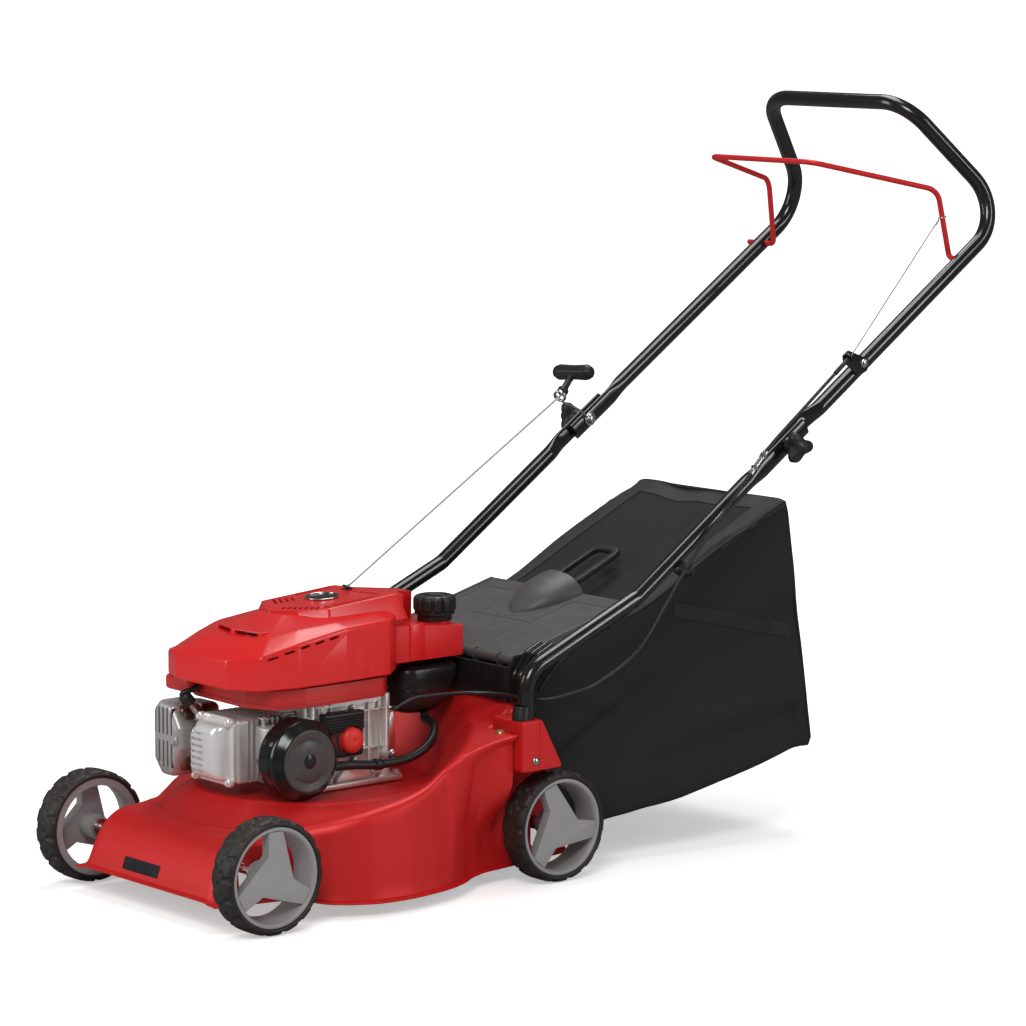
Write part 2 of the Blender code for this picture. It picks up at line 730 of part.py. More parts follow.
def build_crankcase():
    """Cast block bolted on the deck, with room for the crank and one cylinder in front."""
    low = ENGINE_FLANGE_Z
    body = soft_block((-0.070, 0.1502, low), (0.070, 0.300, 0.2575), 0.008)
    foot = soft_block((-0.080, 0.1504, low + 0.0002), (0.080, 0.312, low + 0.009), 0.003, 1)
    pivot = [
        rod(at(0.060, *LEVER_PIVOT), at(0.0877, *LEVER_PIVOT), 0.0065),
        rod(at(0.060, *LEVER_PIVOT), at(0.0925, *LEVER_PIVOT), 0.0030, 16)]
    filler = rod(at(-0.060, *OIL_FILLER), at(-0.080, *OIL_FILLER), 0.0135)
    mesh = join(body, foot, filler, *pivot)
    chamber = rod(at(0, BLADE_BACK, 0.172), at(0, BLADE_BACK, 0.226), 0.048, 24)
    passage = block((-0.0305, 0.140, 0.1880), (0.0305, 0.205, 0.2100))
    shaft = rod(at(0, BLADE_BACK, 0.130), at(0, BLADE_BACK, 0.270), SHAFT_RADIUS + 0.0008, 24)
    neck = rod(at(-0.0505, *OIL_FILLER), at(-0.090, *OIL_FILLER), 0.0090)
    mesh = cut(mesh, chamber, passage, shaft, neck)
    add("crankcase", mesh, "cast_silver")
    seat = at(OIL_CAP_X, *OIL_FILLER)
    cap = turned(
        [(0.0, -0.012), (0.0086, -0.012), (0.0086, 0.0), (0.0165, 0.0), (0.0165, 0.009),
         (0.0150, 0.011), (0.0, 0.011)], seat, (-1, 0, 0), 16)
    add("oil_cap", cap, "moulded_black", seat)


def build_cylinder():
    """Finned cylinder and head that point forwards from the crankcase."""
    centre_x = -0.002
    body = soft_block(
        (centre_x - 0.043, 0.0705, CYLINDER_Z - 0.042),
        (centre_x + 0.043, 0.1499, CYLINDER_Z + 0.042), 0.004)
    bore = rod(at(0, 0.0790, CYLINDER_Z), at(0, 0.160, CYLINDER_Z), BORE_RADIUS, 20)
    grooves = []
    for number in range(4):
        back = 0.0930 + number * 0.0140
        outline = [
            round_box(0.100, 0.100, 0.010, (centre_x, CYLINDER_Z), 1),
            round_box(0.070, 0.068, 0.010, (centre_x, CYLINDER_Z), 1)]
        grooves.append(plate(outline, 0.0050, facing_y(back)))
    base, axis = plug_line()
    boss = rod(base - axis * 0.0140, base + axis * 0.0070, 0.0110)
    plug = rod(base - axis * 0.0018, base + axis * 0.020, 0.0064, 20)
    spanner_room = rod(base + axis * 0.0071, base + axis * 0.045, 0.0096, 24)
    add("cylinder", cut(join(body, boss), bore, plug, spanner_room, *grooves), "cast_silver")
    flange = plate([round_box(0.084, 0.090, 0.012)], 0.005, facing_y(0.0677, -0.0045, CYLINDER_Z))
    add("rocker_cover", rocker_cover(flange), "cast_silver")


def rocker_cover(flange):
    """Domed cast cover with six pressed louvres on its front."""
    rings = []
    for back, width, height, radius in (
            (0.0665, 0.074, 0.080, 0.014), (0.0540, 0.072, 0.078, 0.014),
            (0.0485, 0.066, 0.072, 0.014), (0.0455, 0.056, 0.062, 0.012)):
        outline = round_box(width, height, radius, (-0.0045, CYLINDER_Z))
        rings.append([at(u, back, v) for u, v in outline])
    dome = loft(rings, close_start=True, close_end=True)
    slots = []
    for number in range(6):
        z = 0.1735 + number * 0.0096
        slots.append(block((-0.0360, 0.040, z - 0.0014), (0.0030, 0.0475, z + 0.0014)))
    return cut(join(flange, dome), *slots)


def plug_line():
    """Seat of the spark plug in the head's left corner, and its axis."""
    return at(-0.0490, 0.0840, 0.2240), Vector((-0.30, -0.52, 0.80)).normalized()


def build_spark_plug():
    base, axis = plug_line()
    profile = [
        (0.0, -0.0015), (0.0060, -0.0015), (0.0060, 0.0074), (0.0090, 0.0076), (0.0090, 0.0140),
        (0.0065, 0.0155), (0.0065, 0.0320), (0.0, 0.0320)]
    add("spark_plug", turned(profile, base, axis, 12), "plated_steel")
    top = base + axis * 0.0323
    boot_profile = [(0.0, 0.0), (0.0085, 0.0), (0.0092, 0.003), (0.0085, 0.016), (0.0, 0.016)]
    lead = tube([top + axis * 0.010, top + axis * 0.018, top + Vector((0.004, 0.010, 0.022))], 0.0045)
    boot = join(turned(boot_profile, top, axis, 12), lead)
    add("spark_plug_boot", boot, "moulded_black")


def build_muffler():
    body = soft_block((-0.1290, 0.0660, 0.1550), (-0.0790, 0.1320, 0.2430), 0.010, 2)
    pipe = rod(at(-0.090, 0.1190, 0.1900), at(-0.0453, 0.1190, 0.1900), 0.0110)
    add("muffler", join(body, pipe), "guard_steel")
    outer = soft_block((-0.1355, 0.0570, 0.1480), (-0.0730, 0.1000, 0.2510), 0.007, 2)
    inner = soft_block((-0.1327, 0.0598, 0.1508), (-0.0758, 0.1100, 0.2482), 0.005, 1)
    slots = []
    for row_low in (0.157, 0.203):
        for number in range(4):
            x = -0.1220 + number * 0.0110
            slots.append(block((x - 0.0014, 0.050, row_low), (x + 0.0014, 0.063, row_low + 0.037)))
    add("muffler_guard", cut(outer, inner, *slots), "guard_steel")


def build_crank():
    """Crankshaft, flywheel and blade set, which turn together under the piston's push."""
    axis_point = at(0, BLADE_BACK, 0.0)
    pin_back = BLADE_BACK - CRANK_THROW
    lower = rod(at(0, BLADE_BACK, 0.0420), at(0, BLADE_BACK, 0.184), SHAFT_RADIUS)
    webs = [
        rod(at(0, BLADE_BACK, 0.1780), at(0, BLADE_BACK, 0.1895), 0.0320, 24),
        rod(at(0, BLADE_BACK, 0.2085), at(0, BLADE_BACK, 0.2200), 0.0320, 24)]
    pin = rod(at(0, pin_back, 0.1850), at(0, pin_back, 0.2130), 0.0090)
    upper = rod(at(0, BLADE_BACK, 0.2150), at(0, BLADE_BACK, 0.3260), SHAFT_RADIUS)
    thread = rod(at(0, BLADE_BACK, 0.030), at(0, BLADE_BACK, 0.0620), 0.0053, 20)
    mesh = cut(join(lower, upper, pin, *webs), thread)
    add("crankshaft", mesh, "plated_steel", axis_point + Vector((0, 0, 0.199)))
    disc = turned(
        [(SHAFT_RADIUS + TOUCH_GAP, 0.2900), (0.0740, 0.2900), (0.0740, 0.3060), (0.0240, 0.3080),
         (0.0240, 0.3200), (SHAFT_RADIUS + TOUCH_GAP, 0.3200)], axis_point, (0, 0, 1), 28, ring=True)
    fins = [fan_blade(number) for number in range(8)]
    add("flywheel", join(disc, *fins), "cast_silver", axis_point + Vector((0, 0, 0.290)))
    big_end = turned(
        [(0.0093, -0.0085), (0.0140, -0.0085), (0.0140, 0.0085), (0.0093, 0.0085)],
        at(0, pin_back, CYLINDER_Z), (0, 0, 1), 16, ring=True)
    shank = block(
        (-0.0045, pin_back - 0.038, CYLINDER_Z - 0.006), (0.0045, pin_back - 0.0115, CYLINDER_Z + 0.006))
    wrist = pin_back - 0.0450
    small_end = rod(at(0, wrist, CYLINDER_Z - 0.008), at(0, wrist, CYLINDER_Z + 0.008), 0.0085)
    add("connecting_rod", join(big_end, shank, small_end), "plated_steel", at(0, pin_back, CYLINDER_Z))
    piston = turned(
        [(0.0, 0.0), (0.0280, 0.0), (0.0280, 0.0260), (0.0235, 0.0260), (0.0235, 0.0060), (0.0, 0.0060)],
        at(0, 0.0815, CYLINDER_Z), (0, 1, 0), 20)
    add("piston", piston, "cast_silver", at(0, 0.0815, CYLINDER_Z))


def fan_blade(number):
    """One upright cooling blade on the flywheel."""
    blade = block((0.040, -0.0015, 0.3055), (0.0725, 0.0015, 0.3200))
    blade.transform(Matrix.Translation((0.0, -FRONT_AXLE_Y, 0.0)))
    blade.transform(Matrix.Rotation(2 * math.pi * number / 8, 4, "Z"))
    blade.transform(Matrix.Translation(at(0, BLADE_BACK, 0)))
    return blade


def build_blade():
    """Flat bar blade with turned-up tips, its hub and the bolt that holds it."""
    hub = turned(
        [(0.0053, 0.0365), (0.0290, 0.0365), (0.0290, 0.0410), (0.0190, 0.0420), (0.0190, 0.0620),
         (SHAFT_RADIUS + TOUCH_GAP, 0.0620), (SHAFT_RADIUS + TOUCH_GAP, 0.0417), (0.0053, 0.0417)],
        at(0, BLADE_BACK, 0), (0, 0, 1), 20, ring=True)
    add("blade_hub", hub, "cast_silver", at(0, BLADE_BACK, BLADE_Z))
    tip = BLADE_LENGTH / 2
    half = BLADE_WIDTH / 2
    outline = [
        (-tip, -half + 0.004), (-tip + 0.004, -half), (tip, -half), (tip, half - 0.004),
        (tip - 0.004, half), (-tip, half)]
    bar = plate([outline, circle(0.0053, 20)], BLADE_SHEET, facing_z(BLADE_Z, BLADE_BACK))
    wings = []
    for side in (-1, 1):
        ring_low = [(side * 0.150, side * 0.016), (side * 0.1985, side * 0.012),
                    (side * 0.1985, side * 0.0245), (side * 0.150, side * 0.0245)]
        rings = [
            [at(u, BLADE_BACK + v, BLADE_Z) for u, v in ring_low],
            [at(u, BLADE_BACK + mix(v, side * 0.0235, 0.8), BLADE_Z + 0.013) for u, v in ring_low]]
        wings.append(loft(rings, close_start=True, close_end=True))
    add("blade", join(bar, *wings), "plated_steel", at(0, BLADE_BACK, BLADE_Z))
    head = turned(
        [(0.0, 0.0245), (0.0095, 0.0245), (0.0100, 0.0255), (0.0100, 0.0310), (0.0125, 0.0315),
         (0.0125, 0.0326), (0.0050, 0.0326), (0.0050, 0.0600), (0.0, 0.0600)],
        at(0, BLADE_BACK, 0), (0, 0, 1), 16)
    add("blade_bolt", head, "plated_steel", at(0, BLADE_BACK, BLADE_Z))


def build_shroud():
    """Dark lower half of the blower housing, an open tray round the flywheel."""
    outline = [
        (-0.092, 0.092), (-0.070, 0.082), (0.044, 0.078), (0.086, 0.096), (0.096, 0.140),
        (0.097, 0.200), (0.094, 0.270), (0.064, 0.298), (-0.064, 0.298), (-0.094, 0.270),
        (-0.098, 0.200), (-0.098, 0.130)]
    low, high = SHROUD_FLOOR_Z, COWL_FLOOR_Z - 0.0010
    tray = plate([outline], high - low, facing_z((low + high) / 2))
    pocket_outline = [(u * 0.955, (v - 0.190) * 0.955 + 0.190) for u, v in outline]
    pocket = plate([pocket_outline], 0.030, facing_z(low + 0.004 + 0.015))
    hole = rod(at(0, BLADE_BACK, 0.250), at(0, BLADE_BACK, 0.270), 0.0220)
    duct = soft_block((-0.119, 0.070, low), (-0.084, 0.108, 0.2690), 0.005)
    mesh = cut(join(tray, duct), pocket, hole)
    add("blower_housing", mesh, "shroud_red")


def scaled_ring(ring, factor, drop):
    """Ring drawn in towards the cowl's middle and lowered."""
    return [(x * factor, (back - 0.185) * factor + 0.185, z - drop) for x, back, z in ring]


COWL_BASE = [
    (-0.100, 0.060, 0.2856), (-0.060, 0.045, 0.2856), (0.050, 0.045, 0.2856), (0.092, 0.070, 0.2858),
    (0.104, 0.120, 0.2862), (0.105, 0.200, 0.2866), (0.102, 0.275, 0.2870), (0.072, 0.308, 0.2870),
    (-0.070, 0.308, 0.2870), (-0.102, 0.275, 0.2870), (-0.105, 0.200, 0.2864), (-0.106, 0.110, 0.2860)]
COWL_BELT = [
    (-0.100, 0.060, 0.318), (-0.060, 0.045, 0.321), (0.050, 0.046, 0.325), (0.092, 0.071, 0.331),
    (0.104, 0.120, 0.344), (0.105, 0.200, 0.357), (0.102, 0.275, 0.360), (0.072, 0.308, 0.360),
    (-0.070, 0.308, 0.360), (-0.102, 0.275, 0.358), (-0.105, 0.200, 0.352), (-0.106, 0.110, 0.335)]
COWL_CROWN = [
    (-0.078, 0.090, 0.337), (-0.045, 0.078, 0.341), (0.038, 0.078, 0.344), (0.068, 0.100, 0.350),
    (0.080, 0.140, 0.358), (0.084, 0.200, 0.363), (0.080, 0.268, 0.365), (0.062, 0.298, 0.366),
    (-0.062, 0.298, 0.366), (-0.080, 0.264, 0.364), (-0.084, 0.195, 0.360), (-0.085, 0.130, 0.352)]
COWL_ROOF = [
    (-0.030, 0.150, 0.368), (-0.015, 0.145, 0.370), (0.012, 0.145, 0.371), (0.028, 0.155, 0.370),
    (0.036, 0.180, 0.369), (0.038, 0.210, 0.369), (0.036, 0.245, 0.369), (0.026, 0.262, 0.369),
    (-0.026, 0.262, 0.369), (-0.036, 0.242, 0.369), (-0.038, 0.208, 0.368), (-0.036, 0.175, 0.368)]
COWL_PLATE = [
    (-0.060, 0.183), (0.000, 0.151), (0.034, 0.174), (0.060, 0.205), (0.060, 0.325), (-0.060, 0.306)]
COWL_STEP = [
    (-0.048, 0.290), (0.040, 0.300), (0.040, 0.345), (-0.010, 0.372), (-0.012, 0.402), (-0.048, 0.402)]
COWL_ARM = [
    (-0.047, 0.295), (0.062, 0.295), (0.062, 0.428), (0.052, 0.438), (-0.038, 0.438), (-0.047, 0.428)]


def plate_height(back):
    """Height of the cowl's raised top plate, which climbs towards the rear."""
    return 0.3730 + (back - 0.151) * 0.075


def sloped_block(outline, low_z, heights, spread=1.0):
    """Block with a level floor and a top that slopes between two (back, z) points."""
    (start, start_z), (end, end_z) = heights
    floor = [at(u * spread, v, low_z) for u, v in outline]
    roof = [at(u, v, mix(start_z, end_z, (v - start) / (end - start))) for u, v in outline]
    return loft([floor, roof], close_start=True, close_end=True)


def ringed(rings):
    return loft([[at(*p) for p in ring] for ring in rings], close_start=True, close_end=True)


def build_cowl():
    """Red faceted engine cowl: hood, raised top plate and rear arm over the fuel tank."""
    hood = ringed([COWL_BASE, COWL_BELT, COWL_CROWN, COWL_ROOF])
    wide = [(u * 1.14, (v - 0.235) * 1.10 + 0.235) for u, v in COWL_PLATE]
    top = loft([
        [at(u, v, 0.352) for u, v in wide],
        [at(u, v, plate_height(v)) for u, v in COWL_PLATE]], close_start=True, close_end=True)
    step = sloped_block(COWL_STEP, 0.330, ((0.290, 0.3850), (0.402, 0.3720)), spread=1.08)
    arm = sloped_block(COWL_ARM, 0.292, ((0.295, 0.3440), (0.438, 0.3310)))
    collar = rod(at(CAP_X, CAP_BACK, 0.325), at(CAP_X, CAP_BACK, 0.3438), 0.0215, 24)
    body = join(hood, top, step, arm, collar)
    inside = ringed([
        scaled_ring(COWL_BASE, 0.962, 0.012), scaled_ring(COWL_BELT, 0.962, 0.003),
        scaled_ring(COWL_CROWN, 0.962, 0.0035), scaled_ring(COWL_ROOF, 0.962, 0.0035)])
    small_arm = [(u * 0.93, (v - 0.37) * 0.93 + 0.37) for u, v in COWL_ARM]
    arm_inside = sloped_block(small_arm, 0.280, ((0.300, 0.3400), (0.433, 0.3270)))
    neck_hole = rod(at(CAP_X, CAP_BACK, 0.300), at(CAP_X, CAP_BACK, 0.350), 0.0165, 24)
    exit_point = at(*ROPE_EXIT)
    below, above = Vector((-0.006, -0.014, -0.040)), Vector((0.003, 0.007, 0.020))
    rope_hole = rod(exit_point + below, exit_point + above, 0.0045, 20)
    mesh = cut(body, inside, arm_inside, neck_hole, rope_hole)
    add("engine_cowl", mesh, "cowl_red")


def build_starter():
    """Recoil pulley under the cowl, its cord, the guide ring and the T-shaped grip."""
    centre = at(0, BLADE_BACK, 0)
    pulley = turned(
        [(0.0, 0.3290), (0.0330, 0.3290), (0.0340, 0.3300), (0.0340, 0.3330), (0.0262, 0.3350),
         (0.0262, 0.3405), (0.0340, 0.3425), (0.0340, 0.3450), (0.0100, 0.3455), (0.0100, 0.3640),
         (0.0, 0.3640)],
        centre, (0, 0, 1), 24)
    add("recoil_pulley", pulley, "moulded_black", centre + Vector((0, 0, 0.329)))
    ring = at(*GUIDE_RING)
    along = (ring - at(*ROPE_EXIT)).normalized()
    loop_points = guide_loop(ring, along)
    eye = [
        at(-0.1955, 0.8695, 0.5575), at(-0.1935, 0.8600, 0.5650), at(-0.1850, 0.8350, 0.5760),
        at(-0.1700, 0.8050, 0.5850)]
    wire = tube(eye + loop_points, 0.0017, 2)
    washer = plate([circle(0.0100, 16), circle(HANDLE_BOLT_RADIUS + TOUCH_GAP, 12)], 0.0014,
                   facing_x(-0.1970, FOLD_BACK, FOLD_Z))
    add("rope_guide", join(washer, wire), "plated_steel")
    build_grip()
    build_starter_rope()


def guide_loop(centre, along):
    """Points of an almost closed wire ring round the cord."""
    side = along.cross(Vector((0, 0, 1))).normalized()
    up = side.cross(along)
    points = []
    for step in range(13):
        angle = math.radians(200 + step * 27.3)
        points.append(centre + (side * math.cos(angle) + up * math.sin(angle)) * 0.0080)
    return points


def grip_frame():
    """Start, bar direction and pull direction of the starter grip."""
    stem = Vector(GRIP_STEM).normalized()
    bar = Vector(GRIP_BAR)
    bar = (bar - stem * bar.dot(stem)).normalized()
    return at(*GUIDE_RING) + stem * 0.0045, bar, stem


def build_grip():
    start, bar, stem = grip_frame()
    centre = at(*GUIDE_RING) + stem * GRIP_REACH
    handle = turned(
        [(0.0, -0.0335), (0.0065, -0.0330), (0.0102, -0.0290), (0.0112, -0.0235), (0.0100, 0.0),
         (0.0112, 0.0235), (0.0102, 0.0290), (0.0065, 0.0330), (0.0, 0.0335)], centre, bar, 12)
    stalk = turned(
        [(0.0, 0.0), (0.0055, 0.0), (0.0078, 0.0020), (0.0078, 0.0080), (0.0050, 0.0105),
         (0.0050, 0.0280), (0.0070, 0.0390), (0.0, 0.0390)], start, stem, 12)
    bore = rod(start - stem * 0.01, start + stem * 0.014, ROPE_RADIUS + TOUCH_GAP, 16)
    add("starter_grip", cut(join(handle, stalk), bore), "moulded_black", centre)


def even_route(corners, count, steps=8):
    """Smooth route through the corners, cut into points at even spacing."""
    dense = smooth_route(corners, steps)
    lengths = [0.0]
    for start, end in zip(dense, dense[1:]):
        lengths.append(lengths[-1] + (end - start).length)
    route = []
    place = 0
    for number in range(count):
        target = lengths[-1] * number / (count - 1)
        while place < len(dense) - 2 and lengths[place + 1] < target:
            place += 1
        run = lengths[place + 1] - lengths[place]
        route.append(dense[place].lerp(dense[place + 1], (target - lengths[place]) / run))
    return route


def build_starter_rope():
    start, _, stem = grip_frame()
    ring, exit_point = at(*GUIDE_RING), at(*ROPE_EXIT)
    straight = [exit_point.lerp(ring, share) for share in (0.03, 0.25, 0.5, 0.75, 0.97)]
    corners = [
        at(-0.0285, 0.2250, 0.3378), at(-0.0285, 0.2620, 0.3385), at(-0.0255, 0.2830, 0.3530),
        exit_point, *straight, ring + stem * 0.0010, start, start + stem * 0.0120]
    add("starter_rope", tube(even_route(corners, 60), ROPE_RADIUS, 1), "rope_grey")


CABLE_ROUTE = [
    (0.0945, 0.2850, 0.2380), (0.0955, 0.3050, 0.2460), (0.0960, 0.3290, 0.2501),
    (0.1120, 0.3950, 0.2500), (0.1500, 0.4260, 0.2500), (0.1960, 0.4330, 0.2490),
    (0.2220, 0.4520, 0.2515), (0.2290, 0.4760, 0.2560), (0.2290, 0.5253, 0.2653),
    (0.2290, 0.5960, 0.3019), (0.2290, 0.6494, 0.3641), (0.2290, 0.6853, 0.4082),
    (0.2290, 0.7908, 0.5149), (0.2290, 0.8332, 0.5568), (0.2290, 0.9000, 0.6070),
    (0.2290, 0.9810, 0.6673)]
BRACKET_TAB = (0.2290, 0.9826, 0.6685)


def build_controls():
    """Brake cable from the bail to the engine brake, with its bracket and lever."""
    corners = [at(*point) for point in CABLE_ROUTE]
    sheath = tube(even_route(corners, 64), CABLE_RADIUS, 1)
    adjuster = rod(at(0.2290, 0.7980, 0.5222), at(0.2290, 0.8270, 0.5507), 0.0045, 16)
    add("brake_cable", join(sheath, adjuster), "moulded_black")
    tab = at(*BRACKET_TAB)
    along = (at(*CABLE_ROUTE[-1]) - at(*CABLE_ROUTE[-2])).normalized()
    face = rod(tab, tab + along * 0.0025, 0.0065, 16)
    outline = [
        (0.9780, 0.6720), (0.9790, 0.6640), (1.0080, 0.6410), (1.0260, 0.6480), (1.0280, 0.6640),
        (0.9880, 0.6790)]
    web = plate([outline], 0.0022, facing_x(0.2211))
    arm = rod(tab + Vector((-0.0072, 0, 0)) + along * 0.0002, tab + along * 0.0012, 0.0012, 8)
    _, tab_back, tab_z = BRACKET_TAB
    neck = block((0.2204, tab_back - 0.0005, tab_z - 0.0035), (0.2250, tab_back + 0.0040, tab_z + 0.0045))
    hole = rod(tab - along * 0.01, tab + along * 0.012, 0.0014, 12)
    add("cable_bracket", cut(join(face, web, arm, neck), hole), "handle_black")
    hook = bail_hook_point()
    wire = tube([tab - along * 0.0001, tab + along * 0.006, hook[1]], 0.0008, 1)
    add("brake_wire", join(wire, bail_ring(hook)), "plated_steel")
    strip = [
        (0.2790, 0.1640), (0.2910, 0.1640), (0.2915, 0.2050), (0.2900, 0.2130), (0.2900, 0.2420),
        (0.2790, 0.2420), (0.2790, 0.2130)]
    lever = plate([strip, circle(0.0034, 20, LEVER_PIVOT)], 0.0020, facing_x(0.0891))
    add("brake_lever", lever, "plated_steel", at(0.0891, *LEVER_PIVOT))


def bail_hook_point():
    """Where the brake wire's ring sits on the bail's left leg, and where its wire arrives."""
    low, high = at(BAIL_LEG_X, BAIL_BACK, BAIL_Z), at(*BAIL_BEND)
    centre = low.lerp(high, 0.60)
    direction = (high - low).normalized()
    arrival = centre + Vector((0.0, -0.0054, -0.0008))
    return centre, arrival, direction


def bail_ring(hook):
    centre, _, direction = hook
    profile = circle(0.0008, 6, (0.0054, 0.0))
    return turned(profile, centre, direction, 14, ring=True)


def build_filter():
    """Carburettor, air filter drum and primer bulb on the engine's left side."""
    throat = soft_block((0.0415, 0.0960, 0.1860), (0.0700, 0.1340, 0.2320), 0.004)
    bowl = rod(at(0.0560, 0.1150, 0.1640), at(0.0560, 0.1150, 0.1880), 0.0125)
    add("carburettor", join(throat, bowl), "cast_silver")
    disc = plate([circle(0.0460, 28, (FILTER_BACK, FILTER_Z))], 0.0042, facing_x(0.0724))
    arm = block((0.0707, 0.1300, 0.1870), (0.0743, 0.2000, 0.2180))
    housing = soft_block((0.0705, 0.1812, 0.1820), (0.0860, 0.2425, 0.2220), 0.004, 1)
    ribbed = soft_block((0.0709, 0.1770, 0.2170), (0.0900, 0.2420, 0.2430), 0.004, 1)
    grooves = []
    for z in (0.2260, 0.2315, 0.2370):
        grooves.append(block((0.0870, 0.160, z - 0.0012), (0.095, 0.250, z + 0.0012)))
    seat = rod(at(0.0748, PRIMER_BACK, PRIMER_Z), at(0.0910, PRIMER_BACK, PRIMER_Z), 0.0190, 24)
    mesh = cut(join(disc, arm, housing, ribbed), seat, *grooves)
    add("air_filter_base", mesh, "moulded_black")
    bulb = turned(
        [(0.0, 0.0800), (0.0183, 0.0800), (0.0183, 0.0862), (0.0174, 0.0905), (0.0140, 0.0945),
         (0.0082, 0.0968), (0.0, 0.0975)], at(0, PRIMER_BACK, PRIMER_Z), (1, 0, 0), 20)
    add("primer_bulb", bulb, "primer_red", at(0.0800, PRIMER_BACK, PRIMER_Z))
    cover = turned(
        [(0.0, 0.1225), (0.0415, 0.1220), (0.0435, 0.1200), (0.0515, 0.1125),
         (FILTER_RADIUS, 0.1100), (FILTER_RADIUS, 0.0815), (FILTER_NECK, 0.0800),
         (FILTER_NECK, 0.0749), (0.0440, 0.0749), (0.0440, 0.0830), (0.0500, 0.0845),
         (0.0500, 0.1095), (0.0420, 0.1170), (0.0400, 0.1190), (0.0, 0.1190)],
        at(0, FILTER_BACK, FILTER_Z), (1, 0, 0), 32)
    add("air_filter_cover", cover, "moulded_black", at(0.0749, FILTER_BACK, FILTER_Z))
    foam = turned(
        [(0.0200, 0.0752), (0.0425, 0.0752), (0.0425, 0.0860), (0.0470, 0.0880), (0.0470, 0.1080),
         (0.0400, 0.1165), (0.0200, 0.1165)],
        at(0, FILTER_BACK, FILTER_Z), (1, 0, 0), 24, ring=True)
    add("filter_element", foam, "filter_foam")
    build_hose()


def build_hose():
    """Breather hose that leaves the filter drum and runs back below the fuel tank."""
    corners = [
        at(0.0960, 0.1805, 0.1745), at(0.0975, 0.1900, 0.1748), at(0.1005, 0.2120, 0.1745),
        at(0.1010, 0.2540, 0.1700), at(0.1010, 0.3050, 0.1720), at(0.0960, 0.3420, 0.1850),
        at(0.0760, 0.3680, 0.2010), at(0.0450, 0.3760, 0.2090)]
    hose = tube(smooth_route(corners, 3), 0.0062, 3)
    clip = rod(at(0.1010, 0.2470, 0.1708), at(0.1010, 0.2590, 0.1694), 0.0080, 16)
    stub = rod(at(0.0450, 0.3760, 0.2060), at(0.0450, 0.3760, 0.2176), 0.0058, 12)
    add("vent_hose", join(hose, clip, stub), "moulded_black")


def tank_ring(z, front, rear, left, right, radius=0.012):
    centre = ((left + right) / 2, (front + rear) / 2)
    return [at(u, v, z) for u, v in round_box(right - left, rear - front, radius, centre)]


def build_tank():
    outer = loft([
        tank_ring(0.2180, 0.336, 0.400, -0.046, 0.056), tank_ring(0.2220, 0.332, 0.404, -0.050, 0.060),
        tank_ring(0.2500, 0.330, 0.422, -0.052, 0.062),
        tank_ring(0.2790, 0.330, 0.4325, -0.052, 0.062),
        tank_ring(0.2830, 0.334, 0.4290, -0.048, 0.058)], close_start=True, close_end=True)
    inner = loft([
        tank_ring(0.2220, 0.336, 0.400, -0.046, 0.056, 0.010),
        tank_ring(0.2500, 0.333, 0.419, -0.049, 0.059, 0.010),
        tank_ring(0.2790, 0.334, 0.4290, -0.048, 0.058, 0.010)], close_start=True, close_end=True)
    neck = rod(at(CAP_X, CAP_BACK, 0.2800), at(CAP_X, CAP_BACK, 0.3500), 0.0155, 20)
    opening = rod(at(CAP_X, CAP_BACK, 0.2700), at(CAP_X, CAP_BACK, 0.3600), 0.0125, 16)
    add("fuel_tank", cut(join(outer, neck), inner, opening), "moulded_black")
    cap = turned(
        [(0.0, 0.3700), (0.0262, 0.3700), (0.0290, 0.3670), (0.0290, 0.3470), (0.0272, 0.3441),
         (0.0160, 0.3441), (0.0160, 0.3505), (0.0, 0.3505)], at(CAP_X, CAP_BACK, 0), (0, 0, 1), 24)
    add("fuel_cap", cap, "moulded_black", at(CAP_X, CAP_BACK, 0.3441))


def flap_point(x, along, up):
    """Point given in the closed flap's own directions from its hinge."""
    back = FLAP_HINGE[0] + along * math.cos(FLAP_SLOPE) - up * math.sin(FLAP_SLOPE)
    return at(x, back, FLAP_HINGE[1] + along * math.sin(FLAP_SLOPE) + up * math.cos(FLAP_SLOPE))


def flap_block(low, high):
    """Box lined up with the closed flap."""
    rings = []
    for along in (low[1], high[1]):
        rings.append([
            flap_point(low[0], along, low[2]), flap_point(high[0], along, low[2]),
            flap_point(high[0], along, high[2]), flap_point(low[0], along, high[2])])
    return loft(rings, close_start=True, close_end=True)


FLAP_DOME = [
    (0.119, 0.008, 0.001), (0.128, 0.020, 0.008), (0.142, 0.031, 0.016), (0.160, 0.040, 0.023),
    (0.182, 0.0455, 0.027), (FLAP_REACH, 0.048, 0.028)]


def dome_rings(shrink, floor, stations):
    rings = []
    for along, width, height in stations:
        ring = []
        for step in range(11):
            angle = math.pi * step / 10
            up = 0.0055 + (height + 0.002 - shrink) * math.sin(angle)
            ring.append(flap_point((width - shrink) * math.cos(angle), along, up))
        ring.append(flap_point(-(width - shrink), along, floor))
        ring.append(flap_point(width - shrink, along, floor))
        rings.append(ring)
    return rings


